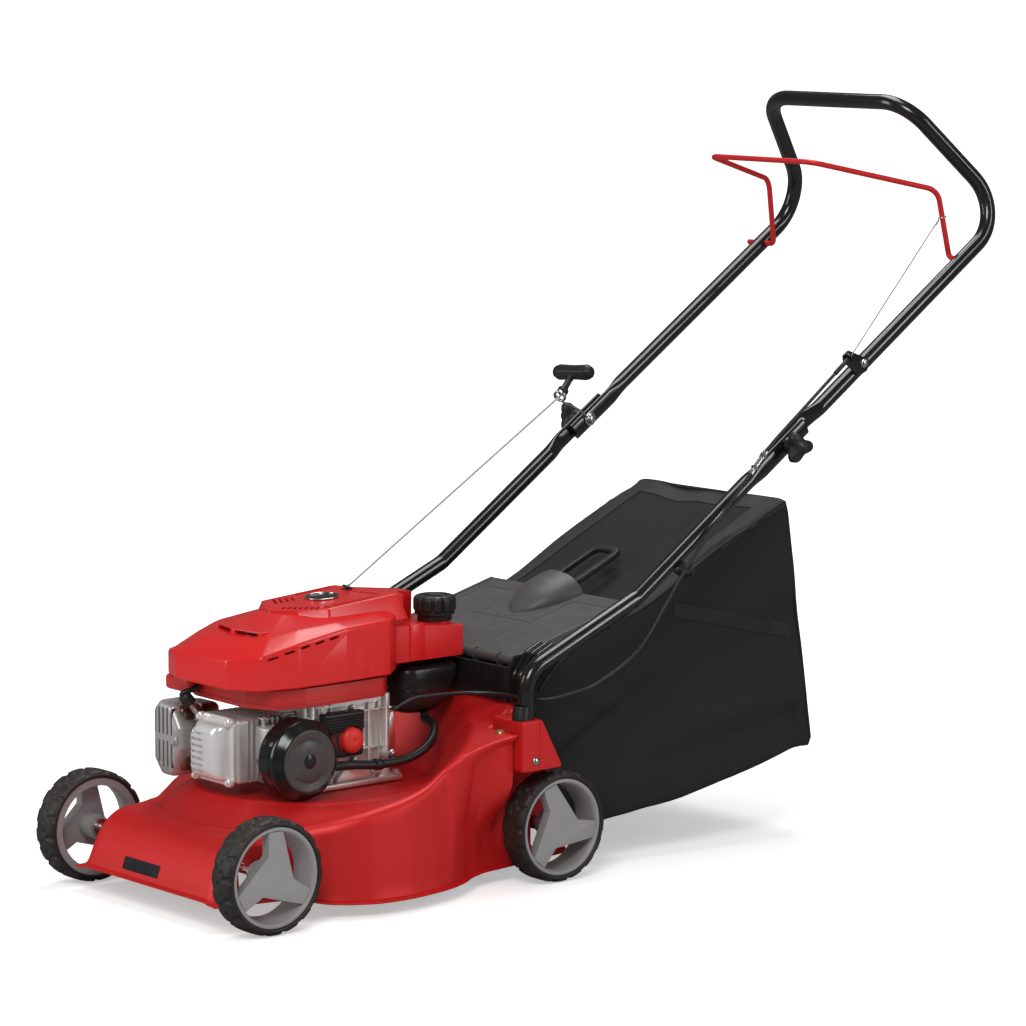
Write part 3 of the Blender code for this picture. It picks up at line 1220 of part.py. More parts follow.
def build_flap():
    """Sprung rear flap with its domed hand hold, and the mount it hinges on."""
    reach = FLAP_REACH
    hinge = at(0.0, *FLAP_HINGE)
    barrel = rod(hinge - Vector((0.1475, 0, 0)), hinge + Vector((0.1475, 0, 0)), 0.0072, 20)
    pin = rod(hinge - Vector((0.1522, 0, 0)), hinge + Vector((0.1522, 0, 0)), 0.0030, 16)
    sheet = flap_block((-0.1478, 0.0, 0.0035), (0.1478, reach, 0.0072))
    skirts = [flap_block((-0.1478, 0.010, -0.0020), (-0.1446, reach, 0.0040)),
              flap_block((0.1446, 0.010, -0.0020), (0.1478, reach, 0.0040))]
    dome = loft(dome_rings(0.0, 0.0040, FLAP_DOME), close_start=True, close_end=True)
    inside = FLAP_DOME[2:-1] + [(0.225, 0.048, 0.028)]
    hollow = loft(dome_rings(0.003, -0.010, inside), close_start=True, close_end=True)
    panels = []
    for low_x, high_x in ((-0.128, -0.058), (0.058, 0.128)):
        panels.append(flap_block((low_x, 0.030, 0.0064), (high_x, 0.180, 0.0100)))
    panels.append(flap_block((-0.058, 0.030, 0.0064), (0.058, 0.100, 0.0100)))
    mesh = cut(join(sheet, barrel, pin, dome, *skirts), hollow, *panels)
    add("flap", mesh, "flap_grey", hinge)
    back_plate = block((-0.1526, 0.4345, 0.2384), (0.1526, 0.4395, 0.2850))
    trim = [
        block((-0.160, 0.430, 0.2300), (-0.1400, 0.450, 0.2420)),
        block((0.1400, 0.430, 0.2300), (0.160, 0.450, 0.2420))]
    ears = []
    for side in (-1, 1):
        outline = [
            (0.4345, 0.2560), (0.4560, 0.2790), (0.4645, 0.2830), (0.4645, 0.2970), (0.4600, 0.3005),
            (0.4450, 0.3005), (0.4345, 0.2850)]
        ears.append(plate([outline, circle(0.0033, 16, FLAP_HINGE)], 0.0037, facing_x(side * 0.15075)))
    add("flap_mount", join(cut(back_plate, *trim), *ears), "flap_grey")


BAG_STATIONS = [
    ((0.4535, 0.2330), (0.5330, 0.0440), 0.1540, 0.1540, 0.016),
    ((0.4780, 0.2580), (0.5500, 0.0450), 0.1550, 0.1570, 0.018),
    ((0.5600, 0.3050), (0.6000, 0.0540), 0.1500, 0.1680, 0.018),
    ((0.6560, 0.3385), (0.7000, 0.0700), 0.1480, 0.1800, 0.018),
    ((0.7900, 0.4035), (0.8200, 0.0950), 0.1490, 0.1920, 0.018),
    ((0.9000, 0.4545), (0.9140, 0.1190), 0.1520, 0.1990, 0.017),
    ((0.9340, 0.4660), (0.9430, 0.1230), 0.1530, 0.1995, 0.014)]


def bag_ring(station, shrink=0.0):
    """One loop round the bag, wider at the bottom, with soft corners and bulging sides."""
    (top_back, top_z), (low_back, low_z), top_half, low_half, radius = station
    top_half, low_half = top_half - shrink, low_half - shrink
    top_z, low_z = top_z - shrink, low_z + shrink
    outline = round_box(2.0, 2.0, 2 * radius / (top_z - low_z), steps=3)
    sides = []
    for u, v in outline:
        share = (v + 1.0) / 2.0
        half = mix(low_half, top_half, share) + 0.004 * math.sin(math.pi * share)
        sides.append(at(u * half, mix(low_back, top_back, share), mix(low_z, top_z, share)))
    return sides


def build_bag():
    """Cloth grass bag, open at the deck, with its stiff mouth frame and carrying loop."""
    rings = [bag_ring(station) for station in BAG_STATIONS]
    rings.append(bag_ring(((0.9390, 0.4500), (0.9480, 0.1420), 0.1380, 0.1820, 0.016)))
    skin = loft(rings, close_end=True)
    work = bmesh.new()
    work.from_mesh(skin)
    middle = at(0.0, 0.75, 0.25)
    outward = sum((face.calc_center_median() - middle).dot(face.normal) for face in work.faces)
    if outward < 0:
        bmesh.ops.reverse_faces(work, faces=work.faces)
    work.to_mesh(skin)
    work.free()
    add("bag", thicken(skin, BAG_SHEET), "bag_cloth", at(0.0, 0.50, 0.15))
    build_bag_frame()
    build_bag_handle()


def build_bag_frame():
    """Stiff ring between the bag's mouth and the deck's rear edge."""
    point, _ = mouth_plane(0.0040)
    lean = MOUTH_LEAN
    rows = ((1, 0, 0), (0, -math.sin(lean), -math.cos(lean)), (0, math.cos(lean), -math.sin(lean)))
    turn = Matrix([(*row, 0) for row in rows] + [(0, 0, 0, 1)])
    matrix = Matrix.Translation(point) @ turn
    height = 0.2060
    outline = round_box(0.3120, height, 0.014, (0.0, -height / 2 - 0.0015))
    opening = round_box(0.2960, height - 0.016, 0.008, (0.0, -height / 2 - 0.0015))
    add("bag_frame", plate([outline, opening], 0.0060, matrix), "moulded_black", at(0.0, 0.50, 0.15))


def build_bag_handle():
    lean = math.radians(23.5)
    centre = at(0.0, 0.6975, 0.3790)
    rows = ((1, 0, 0), (0, math.cos(lean), -math.sin(lean)), (0, math.sin(lean), math.cos(lean)))
    turn = Matrix([(*row, 0) for row in rows] + [(0, 0, 0, 1)])
    matrix = Matrix.Translation(centre) @ turn
    outer, opening = round_box(0.060, 0.106, 0.018, steps=4), round_box(0.036, 0.082, 0.008, steps=4)
    loop = plate([outer, opening], 0.0080, matrix)
    feet = []
    for side in (-1, 1):
        foot = matrix @ Vector((side * 0.020, -0.047, -0.001))
        cloth_z = 0.3410 + (foot.y - at(0, 0.656, 0).y) * 0.485
        bottom = Vector((foot.x, foot.y, cloth_z))
        feet.append(rod(bottom, foot, 0.0045, 16))
    add("bag_handle", join(loop, *feet), "moulded_black", centre)


MOWER = bpy.data.collections.new("petrol_lawn_mower")


def main():
    """Build every sub-part in the mower's frame."""
    clear_scene()
    bpy.context.scene.collection.children.link(MOWER)
    build_deck()
    build_sockets()
    build_lower_handle()
    build_upper_handle()
    build_bail()
    build_handle_bolts()
    build_wheels()
    build_crankcase()
    build_cylinder()
    build_spark_plug()
    build_muffler()
    build_crank()
    build_blade()
    build_shroud()
    build_cowl()
    build_starter()
    build_controls()
    build_filter()
    build_tank()
    build_flap()
    build_bag()


main()
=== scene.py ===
"""Looks of the petrol lawn mower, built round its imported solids.

Metres, +Z up. The mower drives towards -Y and its operator stands at +Y. In the
methods, "back" is the distance behind the front axle.
"""

import logging
import math
from contextlib import contextmanager
from dataclasses import dataclass, field
from enum import Enum
from typing import Callable, Iterator, Sequence

import bmesh
import bpy
from mathutils import Matrix, Vector, noise
from mathutils.kdtree import KDTree


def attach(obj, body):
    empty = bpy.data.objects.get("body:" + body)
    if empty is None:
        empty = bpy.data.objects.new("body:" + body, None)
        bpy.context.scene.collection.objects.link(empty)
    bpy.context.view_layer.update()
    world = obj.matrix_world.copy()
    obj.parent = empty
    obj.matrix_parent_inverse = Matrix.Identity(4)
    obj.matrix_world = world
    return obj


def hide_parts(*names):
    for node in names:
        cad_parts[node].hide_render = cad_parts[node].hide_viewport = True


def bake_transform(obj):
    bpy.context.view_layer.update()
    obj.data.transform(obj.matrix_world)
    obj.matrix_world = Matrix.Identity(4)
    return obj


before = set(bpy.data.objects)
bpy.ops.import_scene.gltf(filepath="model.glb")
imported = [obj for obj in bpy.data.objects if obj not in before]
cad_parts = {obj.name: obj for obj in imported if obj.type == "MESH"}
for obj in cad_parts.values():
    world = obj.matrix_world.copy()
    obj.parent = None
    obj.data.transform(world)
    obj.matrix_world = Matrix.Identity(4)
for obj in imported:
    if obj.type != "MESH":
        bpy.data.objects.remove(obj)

LOG = logging.getLogger("lawn_mower")
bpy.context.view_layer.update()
FRONT_AXLE_Y = -0.6096
MERGE_DISTANCE = 0.000005
BORE_GAP = 0.0003

Piece = bpy.types.Object
Socket = bpy.types.NodeSocket
Route = Sequence[Vector]
Pair = tuple[float, float]
Place = tuple[float, float, float]
Outline = Sequence[Pair]
Table = Sequence[Pair]
Ring = Sequence[Place]
Colour = Place


def at(x: float, back: float, z: float) -> Vector:
    """Return the frame's point for a distance behind the front axle."""
    return Vector((x, FRONT_AXLE_Y + back, z))


def mix(low: float, high: float, share: float) -> float:
    """Return the value that lies at a share of the way from low to high."""
    return low + (high - low) * share


def smooth(share: float) -> float:
    """Return an eased share, held between 0 and 1."""
    share = min(1.0, max(0.0, share))
    return share * share * (3.0 - 2.0 * share)


def bump(value: float, centre: float, width: float) -> float:
    """Return a round bump of height 1 at centre that fades over width."""
    return math.exp(-(((value - centre) / width) ** 2))


def follow(table: Table, key: float) -> float:
    """Read a smooth curve through the rows of a table.

    Args:
        table: Rows of key and value, in rising order of key.
        key: The place to read.

    Returns:
        The value there, held at the ends.
    """
    if key <= table[0][0]:
        return table[0][1]
    if key >= table[-1][0]:
        return table[-1][1]
    row = max(i for i, (start, _) in enumerate(table) if start <= key)
    (key_a, value_a), (key_b, value_b) = table[row], table[row + 1]
    slope = (value_b - value_a) / (key_b - key_a)

    def tangent(i: int) -> float:
        if i <= 0 or i >= len(table) - 1:
            return slope
        left = (table[i][1] - table[i - 1][1]) / (table[i][0] - table[i - 1][0])
        right = (table[i + 1][1] - table[i][1]) / (table[i + 1][0] - table[i][0])
        return 0.0 if left * right <= 0 else 2 * left * right / (left + right)

    run = key_b - key_a
    t = (key - key_a) / run
    return (value_a * (1 + 2 * t) * (1 - t) ** 2 + tangent(row) * run * t * (1 - t) ** 2
            + value_b * t * t * (3 - 2 * t) - tangent(row + 1) * run * t * t * (1 - t))


def turn_to(axis: Vector) -> Matrix:
    """Return the rotation that takes +Z to an axis."""
    return Vector((0, 0, 1)).rotation_difference(Vector(axis)).to_matrix().to_4x4()


def turned_about(centre: Vector, angle: float, axis: str) -> Matrix:
    """Return a turn about a point, by an angle round X, Y or Z."""
    return Matrix.Translation(centre) @ Matrix.Rotation(angle, 4, axis) @ Matrix.Translation(-centre)


def facing_x(x: float, back: float = 0.0, z: float = 0.0) -> Matrix:
    """Return the plate placement whose outline runs back and up, thick along X."""
    columns = Matrix(((0, 0, 1, 0), (1, 0, 0, 0), (0, 1, 0, 0), (0, 0, 0, 1)))
    return Matrix.Translation(at(x, back, z)) @ columns


def facing_y(back: float, x: float = 0.0, z: float = 0.0) -> Matrix:
    """Return the plate placement whose outline runs across and up, thick along Y."""
    columns = Matrix(((1, 0, 0, 0), (0, 0, -1, 0), (0, 1, 0, 0), (0, 0, 0, 1)))
    return Matrix.Translation(at(x, back, z)) @ columns


def facing_z(z: float, back: float = 0.0, x: float = 0.0) -> Matrix:
    """Return the plate placement whose outline runs across and back, thick along Z."""
    return Matrix.Translation(at(x, back, z))


def circle(radius: float, sides: int = 32, centre: Pair = (0.0, 0.0)) -> list[Pair]:
    """Return the outline of a circle."""
    u, v = centre
    step = math.tau / sides
    return [(u + radius * math.cos(i * step), v + radius * math.sin(i * step)) for i in range(sides)]


def round_box(width: float, height: float, radius: float, centre: Pair = (0.0, 0.0),
              steps: int = 5) -> list[Pair]:
    """Return the outline of a rectangle with round corners."""
    outline = []
    for number, (side, top) in enumerate(((1, 1), (-1, 1), (-1, -1), (1, -1))):
        corner = (centre[0] + side * (width / 2 - radius), centre[1] + top * (height / 2 - radius))
        for step in range(steps + 1):
            angle = math.pi / 2 * (number + step / steps)
            outline.append((corner[0] + radius * math.cos(angle), corner[1] + radius * math.sin(angle)))
    return outline


def rounded(corners: Outline, radius: float, steps: int = 4) -> list[Pair]:
    """Round the corners of a closed outline.

    Args:
        corners: The sharp outline.
        radius: Radius of each corner, made smaller where a side is short.
        steps: Points per corner, less one.

    Returns:
        The outline with its corners rounded.
    """
    outline = []
    count = len(corners)
    for i in range(count):
        here = Vector(corners[i])
        before, after = Vector(corners[i - 1]) - here, Vector(corners[(i + 1) % count]) - here
        half = max(0.05, before.angle(after) / 2)
        reach = min(radius / math.tan(half), before.length * 0.45, after.length * 0.45)
        start, end = here + before.normalized() * reach, here + after.normalized() * reach
        for step in range(steps + 1):
            t = step / steps
            point = start * (1 - t) ** 2 + here * 2 * t * (1 - t) + end * t * t
            outline.append((point.x, point.y))
    return outline


def smooth_route(points: Route, steps: int) -> list[Vector]:
    """Return points on a smooth curve through the given ones."""
    points = [Vector(p) for p in points]
    padded = [2 * points[0] - points[1], *points, 2 * points[-1] - points[-2]]
    route = []
    for before, start, end, after in zip(padded, padded[1:], padded[2:], padded[3:]):
        for step in range(steps):
            t = step / steps
            route.append(0.5 * (2 * start + (end - before) * t + (2 * before - 5 * start + 4 * end - after)
                                * t * t + (3 * start - before - 3 * end + after) * t ** 3))
    return [*route, points[-1]]


def bent_route(corners: Route, radii: Sequence[float], steps: int = 10) -> list[Vector]:
    """Return straight runs joined by round bends.

    Args:
        corners: Ends and corners of the route.
        radii: Bend radius at each inner corner.
        steps: Points per bend, less one.

    Returns:
        The points of the route.
    """
    corners = [Vector(c) for c in corners]
    route = [corners[0]]
    for before, corner, after, radius in zip(corners, corners[1:], corners[2:], radii):
        inward, outward = (before - corner).normalized(), (after - corner).normalized()
        half = inward.angle(outward) / 2
        centre = corner + (inward + outward).normalized() * (radius / math.sin(half))
        first = corner + inward * (radius / math.tan(half)) - centre
        last = corner + outward * (radius / math.tan(half)) - centre
        sweep = first.angle(last)
        for step in range(steps + 1):
            share = step / steps
            point = first * math.sin((1 - share) * sweep) + last * math.sin(share * sweep)
            route.append(centre + point / math.sin(sweep))
    return [*route, corners[-1]]


def select_only(piece: Piece) -> None:
    """Select one piece and make it the active one."""
    bpy.ops.object.select_all(action="DESELECT")
    piece.select_set(True)
    bpy.context.view_layer.objects.active = piece


@contextmanager
def editing(piece: Piece) -> Iterator[bmesh.types.BMesh]:
    """Open a piece in edit mode with nothing selected, and close it afterwards."""
    select_only(piece)
    bpy.ops.object.mode_set(mode="EDIT")
    bpy.ops.mesh.select_mode(type="VERT")
    bpy.ops.mesh.select_all(action="DESELECT")
    try:
        yield bmesh.from_edit_mesh(piece.data)
    finally:
        bpy.ops.object.mode_set(mode="OBJECT")


def pick_faces(work: bmesh.types.BMesh, piece: Piece, test: Callable[[bmesh.types.BMFace], bool]) -> int:
    """Select the faces that pass a test, in edit mode, and return how many do."""
    bpy.ops.mesh.select_mode(type="FACE")
    found = 0
    for face in work.faces:
        chosen = test(face)
        face.select_set(chosen)
        found += chosen
    bmesh.update_edit_mesh(piece.data)
    return found


def settle(piece: Piece, matrix: Matrix | None = None) -> Piece:
    """Put a piece's place into its mesh, with doubles merged and faces turned out.

    Args:
        piece: The mesh object.
        matrix: Where it goes, or None to leave it where it is.

    Returns:
        The same piece, with its object at the origin.
    """
    if matrix is not None:
        piece.matrix_world = matrix @ piece.matrix_world
    bpy.context.view_layer.update()
    select_only(piece)
    bpy.ops.object.transform_apply(location=True, rotation=True, scale=True)
    with editing(piece):
        bpy.ops.mesh.select_all(action="SELECT")
        bpy.ops.mesh.remove_doubles(threshold=MERGE_DISTANCE)
        bpy.ops.mesh.normals_make_consistent(inside=False)
    return piece


def use_modifier(piece: Piece, kind: str, **settings: object) -> Piece:
    """Add a modifier with settings to a piece and apply it."""
    modifier = piece.modifiers.new(kind.lower(), kind)
    for name, value in settings.items():
        setattr(modifier, name, value)
    select_only(piece)
    bpy.ops.object.modifier_apply(modifier=modifier.name)
    return piece


def soften(piece: Piece, width: float, segments: int = 2, angle: float = 35.0) -> Piece:
    """Round every edge of a piece that is sharper than an angle in degrees."""
    return use_modifier(piece, "BEVEL", width=width, segments=segments, limit_method="ANGLE",
                        angle_limit=math.radians(angle), use_clamp_overlap=True, harden_normals=False)


def block(name: str, low: Sequence[float], high: Sequence[float], edge: float = 0.0008,
          segments: int = 2) -> Piece:
    """Make a block between two corners, with its edges rounded.

    Args:
        name: Name of the piece.
        low: Lowest x, back and z.
        high: Highest x, back and z.
        edge: Width of the rounded edge.
        segments: Steps across that edge.

    Returns:
        The new piece.
    """
    start, end = at(*low), at(*high)
    bpy.ops.object.select_all(action="DESELECT")
    bpy.ops.mesh.primitive_cube_add(size=1.0, location=(start + end) / 2, scale=end - start)
    piece = bpy.context.object
    piece.name = name
    bpy.ops.object.transform_apply(location=True, rotation=True, scale=True)
    if edge > 0.0:
        with editing(piece):
            bpy.ops.mesh.select_all(action="SELECT")
            bpy.ops.mesh.bevel(offset=edge, segments=segments, affect="EDGES")
    return settle(piece)


def turned(name: str, profile: Outline, base: Vector, axis: Sequence[float], steps: int = 48,
           ring: bool = False) -> Piece:
    """Spin a drawn profile about an axis.

    Args:
        name: Name of the piece.
        profile: Rows of radius and height.
        base: Where height 0 is.
        axis: Direction of the axis.
        steps: Steps in a full turn.
        ring: True where the profile closes on itself away from the axis.

    Returns:
        The new piece.
    """
    points = [*profile, profile[0]] if ring else list(profile)
    bpy.ops.object.select_all(action="DESELECT")
    bpy.ops.mesh.primitive_plane_add(size=0.001, location=(0, 0, 0))
    piece = bpy.context.object
    piece.name = name
    with editing(piece):
        bpy.ops.mesh.select_all(action="SELECT")
        bpy.ops.mesh.merge(type="CENTER")
        bpy.ops.transform.translate(value=(points[0][0], 0.0, points[0][1]))
        for (radius_a, height_a), (radius_b, height_b) in zip(points, points[1:]):
            bpy.ops.mesh.extrude_vertices_move(
                TRANSFORM_OT_translate={"value": (radius_b - radius_a, 0.0, height_b - height_a)})
        bpy.ops.mesh.select_all(action="SELECT")
        bpy.ops.mesh.spin(steps=steps, angle=math.tau, center=(0, 0, 0), axis=(0, 0, 1))
    return settle(piece, Matrix.Translation(base) @ turn_to(axis))


def plate(name: str, outlines: Sequence[Outline], thickness: float, matrix: Matrix, edge: float = 0.0006,
          segments: int = 1) -> Piece:
    """Make a flat plate from closed outlines, holes included, with rounded edges.

    Args:
        name: Name of the piece.
        outlines: The outer outline and any holes.
        thickness: Full thickness.
        matrix: Placement of the outline's plane.
        edge: Width of the rounded edge.
        segments: Extra steps across that edge.

    Returns:
        The new piece.
    """
    bpy.ops.object.select_all(action="DESELECT")
    bpy.ops.curve.primitive_bezier_circle_add()
    piece = bpy.context.object
    piece.name = name
    shape = piece.data
    shape.splines.clear()
    shape.dimensions = "2D"
    shape.fill_mode = "BOTH"
    shape.bevel_depth = edge
    shape.offset = -edge
    shape.bevel_resolution = segments
    shape.extrude = thickness / 2 - edge
    for outline in outlines:
        spline = shape.splines.new("POLY")
        spline.points.add(len(outline) - 1)
        spline.use_cyclic_u = True
        for target, (u, v) in zip(spline.points, outline):
            target.co = (u, v, 0.0, 1.0)
    bpy.ops.object.convert(target="MESH")
    piece = bpy.context.object
    return settle(piece, matrix)


def tube(name: str, points: Route, radius: float | Sequence[float], resolution: int = 5,
         closed: bool = False) -> Piece:
    """Sweep a round section along a route.

    Args:
        name: Name of the piece.
        points: The route's points.
        radius: One radius, or one for each point.
        resolution: Roundness of the section.
        closed: True for a ring.

    Returns:
        The new piece.
    """
    radii = [radius] * len(points) if isinstance(radius, float) else list(radius)
    bpy.ops.object.select_all(action="DESELECT")
    bpy.ops.curve.primitive_nurbs_path_add()
    piece = bpy.context.object
    piece.name = name
    piece.location = (0, 0, 0)
    shape = piece.data
    shape.splines.clear()
    shape.dimensions = "3D"
    shape.bevel_depth = 1.0
    shape.bevel_resolution = resolution
    shape.use_fill_caps = not closed
    spline = shape.splines.new("POLY")
    spline.points.add(len(points) - 1)
    spline.use_cyclic_u = closed
    for target, point, size in zip(spline.points, points, radii):
        target.co = (*point, 1.0)
        target.radius = size
    bpy.ops.object.convert(target="MESH")
    piece = bpy.context.object
    return settle(piece)


def rod(name: str, start: Vector, end: Vector, radius: float, end_radius: float | None = None,
        sides: int = 32, edge: float = 0.0004) -> Piece:
    """Make a round bar or cone between two points, with its rims rounded."""
    start, end = Vector(start), Vector(end)
    length = (end - start).length
    bpy.ops.object.select_all(action="DESELECT")
    bpy.ops.mesh.primitive_cone_add(vertices=sides, radius1=radius,
                                    radius2=radius if end_radius is None else end_radius, depth=length,
                                    location=(0, 0, length / 2))
    piece = bpy.context.object
    piece.name = name
    bpy.ops.object.transform_apply(location=True, rotation=True, scale=True)
    with editing(piece) as work:
        bpy.ops.mesh.select_mode(type="EDGE")
        for edge_line in work.edges:
            edge_line.select_set(abs(edge_line.verts[0].co.z - edge_line.verts[1].co.z) < 1e-6)
        bmesh.update_edit_mesh(piece.data)
        if edge > 0.0:
            bpy.ops.mesh.bevel(offset=min(edge, radius * 0.4), segments=2, affect="EDGES")
    return settle(piece, Matrix.Translation(start) @ turn_to(end - start))


def loft(name: str, rings: Sequence[Route], closed: bool = True, cap_start: bool = False,
         cap_end: bool = False) -> Piece:
    """Shape a grid to sections that all have the same number of points.

    Args:
        name: Name of the piece.
        rings: The sections, in order.
        closed: True where each section is a loop.
        cap_start: True to close the first loop.
        cap_end: True to close the last loop.

    Returns:
        The new piece.
    """
    count = len(rings[0])
    columns = count if closed else count - 1
    rows = len(rings) - 1
    bpy.ops.object.select_all(action="DESELECT")
    bpy.ops.mesh.primitive_grid_add(x_subdivisions=columns, y_subdivisions=rows, size=1.0, location=(0, 0, 0))
    piece = bpy.context.object
    piece.name = name
    for vertex in piece.data.vertices:
        column = round((vertex.co.x + 0.5) * columns) % count
        row = round((vertex.co.y + 0.5) * rows)
        vertex.co = rings[row][column]
    with editing(piece) as work:
        bpy.ops.mesh.select_all(action="SELECT")
        bpy.ops.mesh.remove_doubles(threshold=MERGE_DISTANCE)
        for wanted, ring in ((cap_start, rings[0]), (cap_end, rings[-1])):
            if wanted:
                middle = sum((Vector(p) for p in ring), Vector()) / count
                reach = max((Vector(p) - middle).length for p in ring) * 1.01
                bpy.ops.mesh.select_mode(type="EDGE")
                for line in work.edges:
                    near = all((v.co - middle).length <= reach for v in line.verts)
                    line.select_set(line.is_boundary and near)
                bmesh.update_edit_mesh(piece.data)
                bpy.ops.mesh.fill_holes(sides=0) if count > 400 else bpy.ops.mesh.edge_face_add()
                work = bmesh.from_edit_mesh(piece.data)
                bpy.ops.mesh.select_all(action="DESELECT")
    return settle(piece)


def lobed(name: str, rows: Ring, sides: int, reach: Callable[[float, float, float], float],
          place: Callable[[float, float, float], Vector]) -> Piece:
    """Build a round piece whose radius changes with the angle.

    Args:
        name: Name of the piece.
        rows: Level, size and swell of each ring.
        sides: Points in a ring.
        reach: The radius for an angle, a size and a swell.
        place: The point for a level and two distances from the axis.

    Returns:
        The new piece.
    """
    rings = []
    for level, size, swell in rows:
        ring = []
        for step in range(sides):
            angle = math.tau * step / sides
            radius = reach(angle, size, swell)
            ring.append(place(level, radius * math.cos(angle), radius * math.sin(angle)))
        rings.append(ring)
    return loft(name, rings, cap_start=True, cap_end=True)


def combine(piece: Piece, tools: Sequence[Piece], operation: str) -> Piece:
    """Cut or add tool meshes with exact Booleans; the tools are used up."""
    for tool in tools:
        use_modifier(piece, "BOOLEAN", operation=operation, solver="EXACT", object=tool)
        bpy.data.objects.remove(tool)
    return piece


def cut(piece: Piece, *tools: Piece) -> Piece:
    """Take the tools away from a piece."""
    return combine(piece, tools, "DIFFERENCE")


def gather(name: str, pieces: Sequence[Piece]) -> Piece:
    """Join several meshes into one piece under a new name."""
    bpy.ops.object.select_all(action="DESELECT")
    for piece in pieces:
        piece.select_set(True)
    bpy.context.view_layer.objects.active = pieces[0]
    if len(pieces) > 1:
        bpy.ops.object.join()
    joined = bpy.context.view_layer.objects.active
    joined.name = name
    return joined


def copied(piece: Piece, name: str, matrix: Matrix) -> Piece:
    """Copy a piece, with a mesh of its own, to another place."""
    twin = piece.copy()
    twin.data = piece.data.copy()
    twin.name = name
    bpy.context.scene.collection.objects.link(twin)
    twin.data.transform(matrix)
    if matrix.determinant() < 0:
        twin.data.flip_normals()
    return twin


def hex_bolt(name: str, place: Vector, axis: Sequence[float], across: float = 0.0045,
             height: float = 0.0035) -> Piece:
    """Make a flanged hexagon bolt head with its base at a point."""
    collar = turned("collar", [(0.0, 0.0), (across * 1.45, 0.0), (across * 1.45, height * 0.25),
                               (across * 1.2, height * 0.42), (0.0, height * 0.42)], Vector((0, 0, 0)),
                    (0, 0, 1), steps=28)
    hexagon = plate("hexagon", [circle(across, 6)], height, Matrix.Translation((0, 0, height * 0.8)),
                    edge=height * 0.12)
    joined = gather(name, [collar, hexagon])
    return settle(joined, Matrix.Translation(place) @ turn_to(Vector(axis)))


@dataclass(frozen=True)
class Bend:
    """Stretch of a soft piece between two bodies that one joint joins.

    Attributes:
        first: Body that carries the piece before the start.
        second: Body that carries it after the end.
        start: Start of the stretch, as x, back and z.
        end: End of the stretch.
    """

    first: str
    second: str
    start: Place
    end: Place


MIRROR = Matrix.Diagonal((-1.0, 1.0, 1.0, 1.0))


def dress(piece: Piece, body: "str | Bend", finish: "Finish", *nodes: str,
          angle: float = 35.0) -> Piece:
    """Give a finished piece its shading and material, hang it on its body and hide the solids it stands for.

    Args:
        piece: The finished mesh.
        body: The body that carries it, or a bend, for which the piece is left unparented where it is.
        finish: Its finish.
        *nodes: The solids that it replaces.
        angle: Sharpest angle in degrees that is still shaded smooth.

    Returns:
        The same piece.
    """
    select_only(piece)
    bpy.ops.object.shade_smooth_by_angle(angle=math.radians(angle))
    piece.data.materials.clear()
    piece.data.materials.append(finish.material())
    if isinstance(body, Bend):
        at(*body.start)
        at(*body.end)
        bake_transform(piece)
    else:
        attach(piece, body)
    if nodes:
        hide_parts(*nodes)
    return piece


def dress_node(name: str, finish: "Finish") -> None:
    """Give a solid that stays in view its finish."""
    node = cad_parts[name]
    node.data.materials.clear()
    node.data.materials.append(finish.material())


class Sketch:
    """A node tree being drawn, with short calls to add and join its nodes."""

    def __init__(self, tree: bpy.types.NodeTree) -> None:
        """Keep the tree that is drawn."""
        self.tree = tree

    def node(self, kind: str, values: dict[str | int, object] | None = None,
             **settings: object) -> bpy.types.Node:
        """Add a node.

        Args:
            kind: The node's type without its "ShaderNode" start.
            values: Input values by socket name or number.
            **settings: Node properties.

        Returns:
            The new node.
        """
        made = self.tree.nodes.new("ShaderNode" + kind)
        for name, value in settings.items():
            setattr(made, name, value)
        for name, value in (values or {}).items():
            made.inputs[name].default_value = value
        return made

    def join(self, source: Socket, target: Socket) -> None:
        """Join an output to an input."""
        self.tree.links.new(source, target)

    def math(self, operation: str, first: object, second: object = 0.0, clamp: bool = False) -> Socket:
        """Add a Math node whose inputs are sockets or numbers, and return its output."""
        made = self.node("Math", operation=operation, use_clamp=clamp)
        for number, value in enumerate((first, second)):
            if isinstance(value, Socket):
                self.join(value, made.inputs[number])
            else:
                made.inputs[number].default_value = value
        return made.outputs[0]

    def noise(self, place: Socket, scale: object, detail: float = 2.0,
              roughness: float = 0.5) -> Socket:
        """Add a Noise Texture on a place and return its value."""
        made = self.node("TexNoise", {"Detail": detail, "Roughness": roughness})
        self.join(place, made.inputs["Vector"])
        if isinstance(scale, Socket):
            self.join(scale, made.inputs["Scale"])
        else:
            made.inputs["Scale"].default_value = scale
        return made.outputs["Fac"]

    def between(self, value: Socket, low: float, high: float, start: float = 0.0,
                end: float = 1.0) -> Socket:
        """Map a value from low..high to start..end, held at both ends."""
        made = self.node("MapRange", {"From Min": low, "From Max": high, "To Min": start, "To Max": end})
        self.join(value, made.inputs["Value"])
        return made.outputs["Result"]

    def blend(self, share: Socket, first: object, second: object) -> Socket:
        """Mix two colours, each a socket or a colour, and return the result."""
        made = self.node("Mix", data_type="RGBA")
        self.join(share, made.inputs[0])
        for number, value in ((6, first), (7, second)):
            if isinstance(value, Socket):
                self.join(value, made.inputs[number])
            else:
                made.inputs[number].default_value = (*value, 1.0)
        return made.outputs[2]


class Effect(Enum):
    """The shared surface effects, each one shader node group."""

    GRAIN = "fine_grain"
    PEEL = "paint_skin"
    WEAVE = "cloth_weave"
    DUST = "settled_dust"
    SCUFF = "light_scuffs"


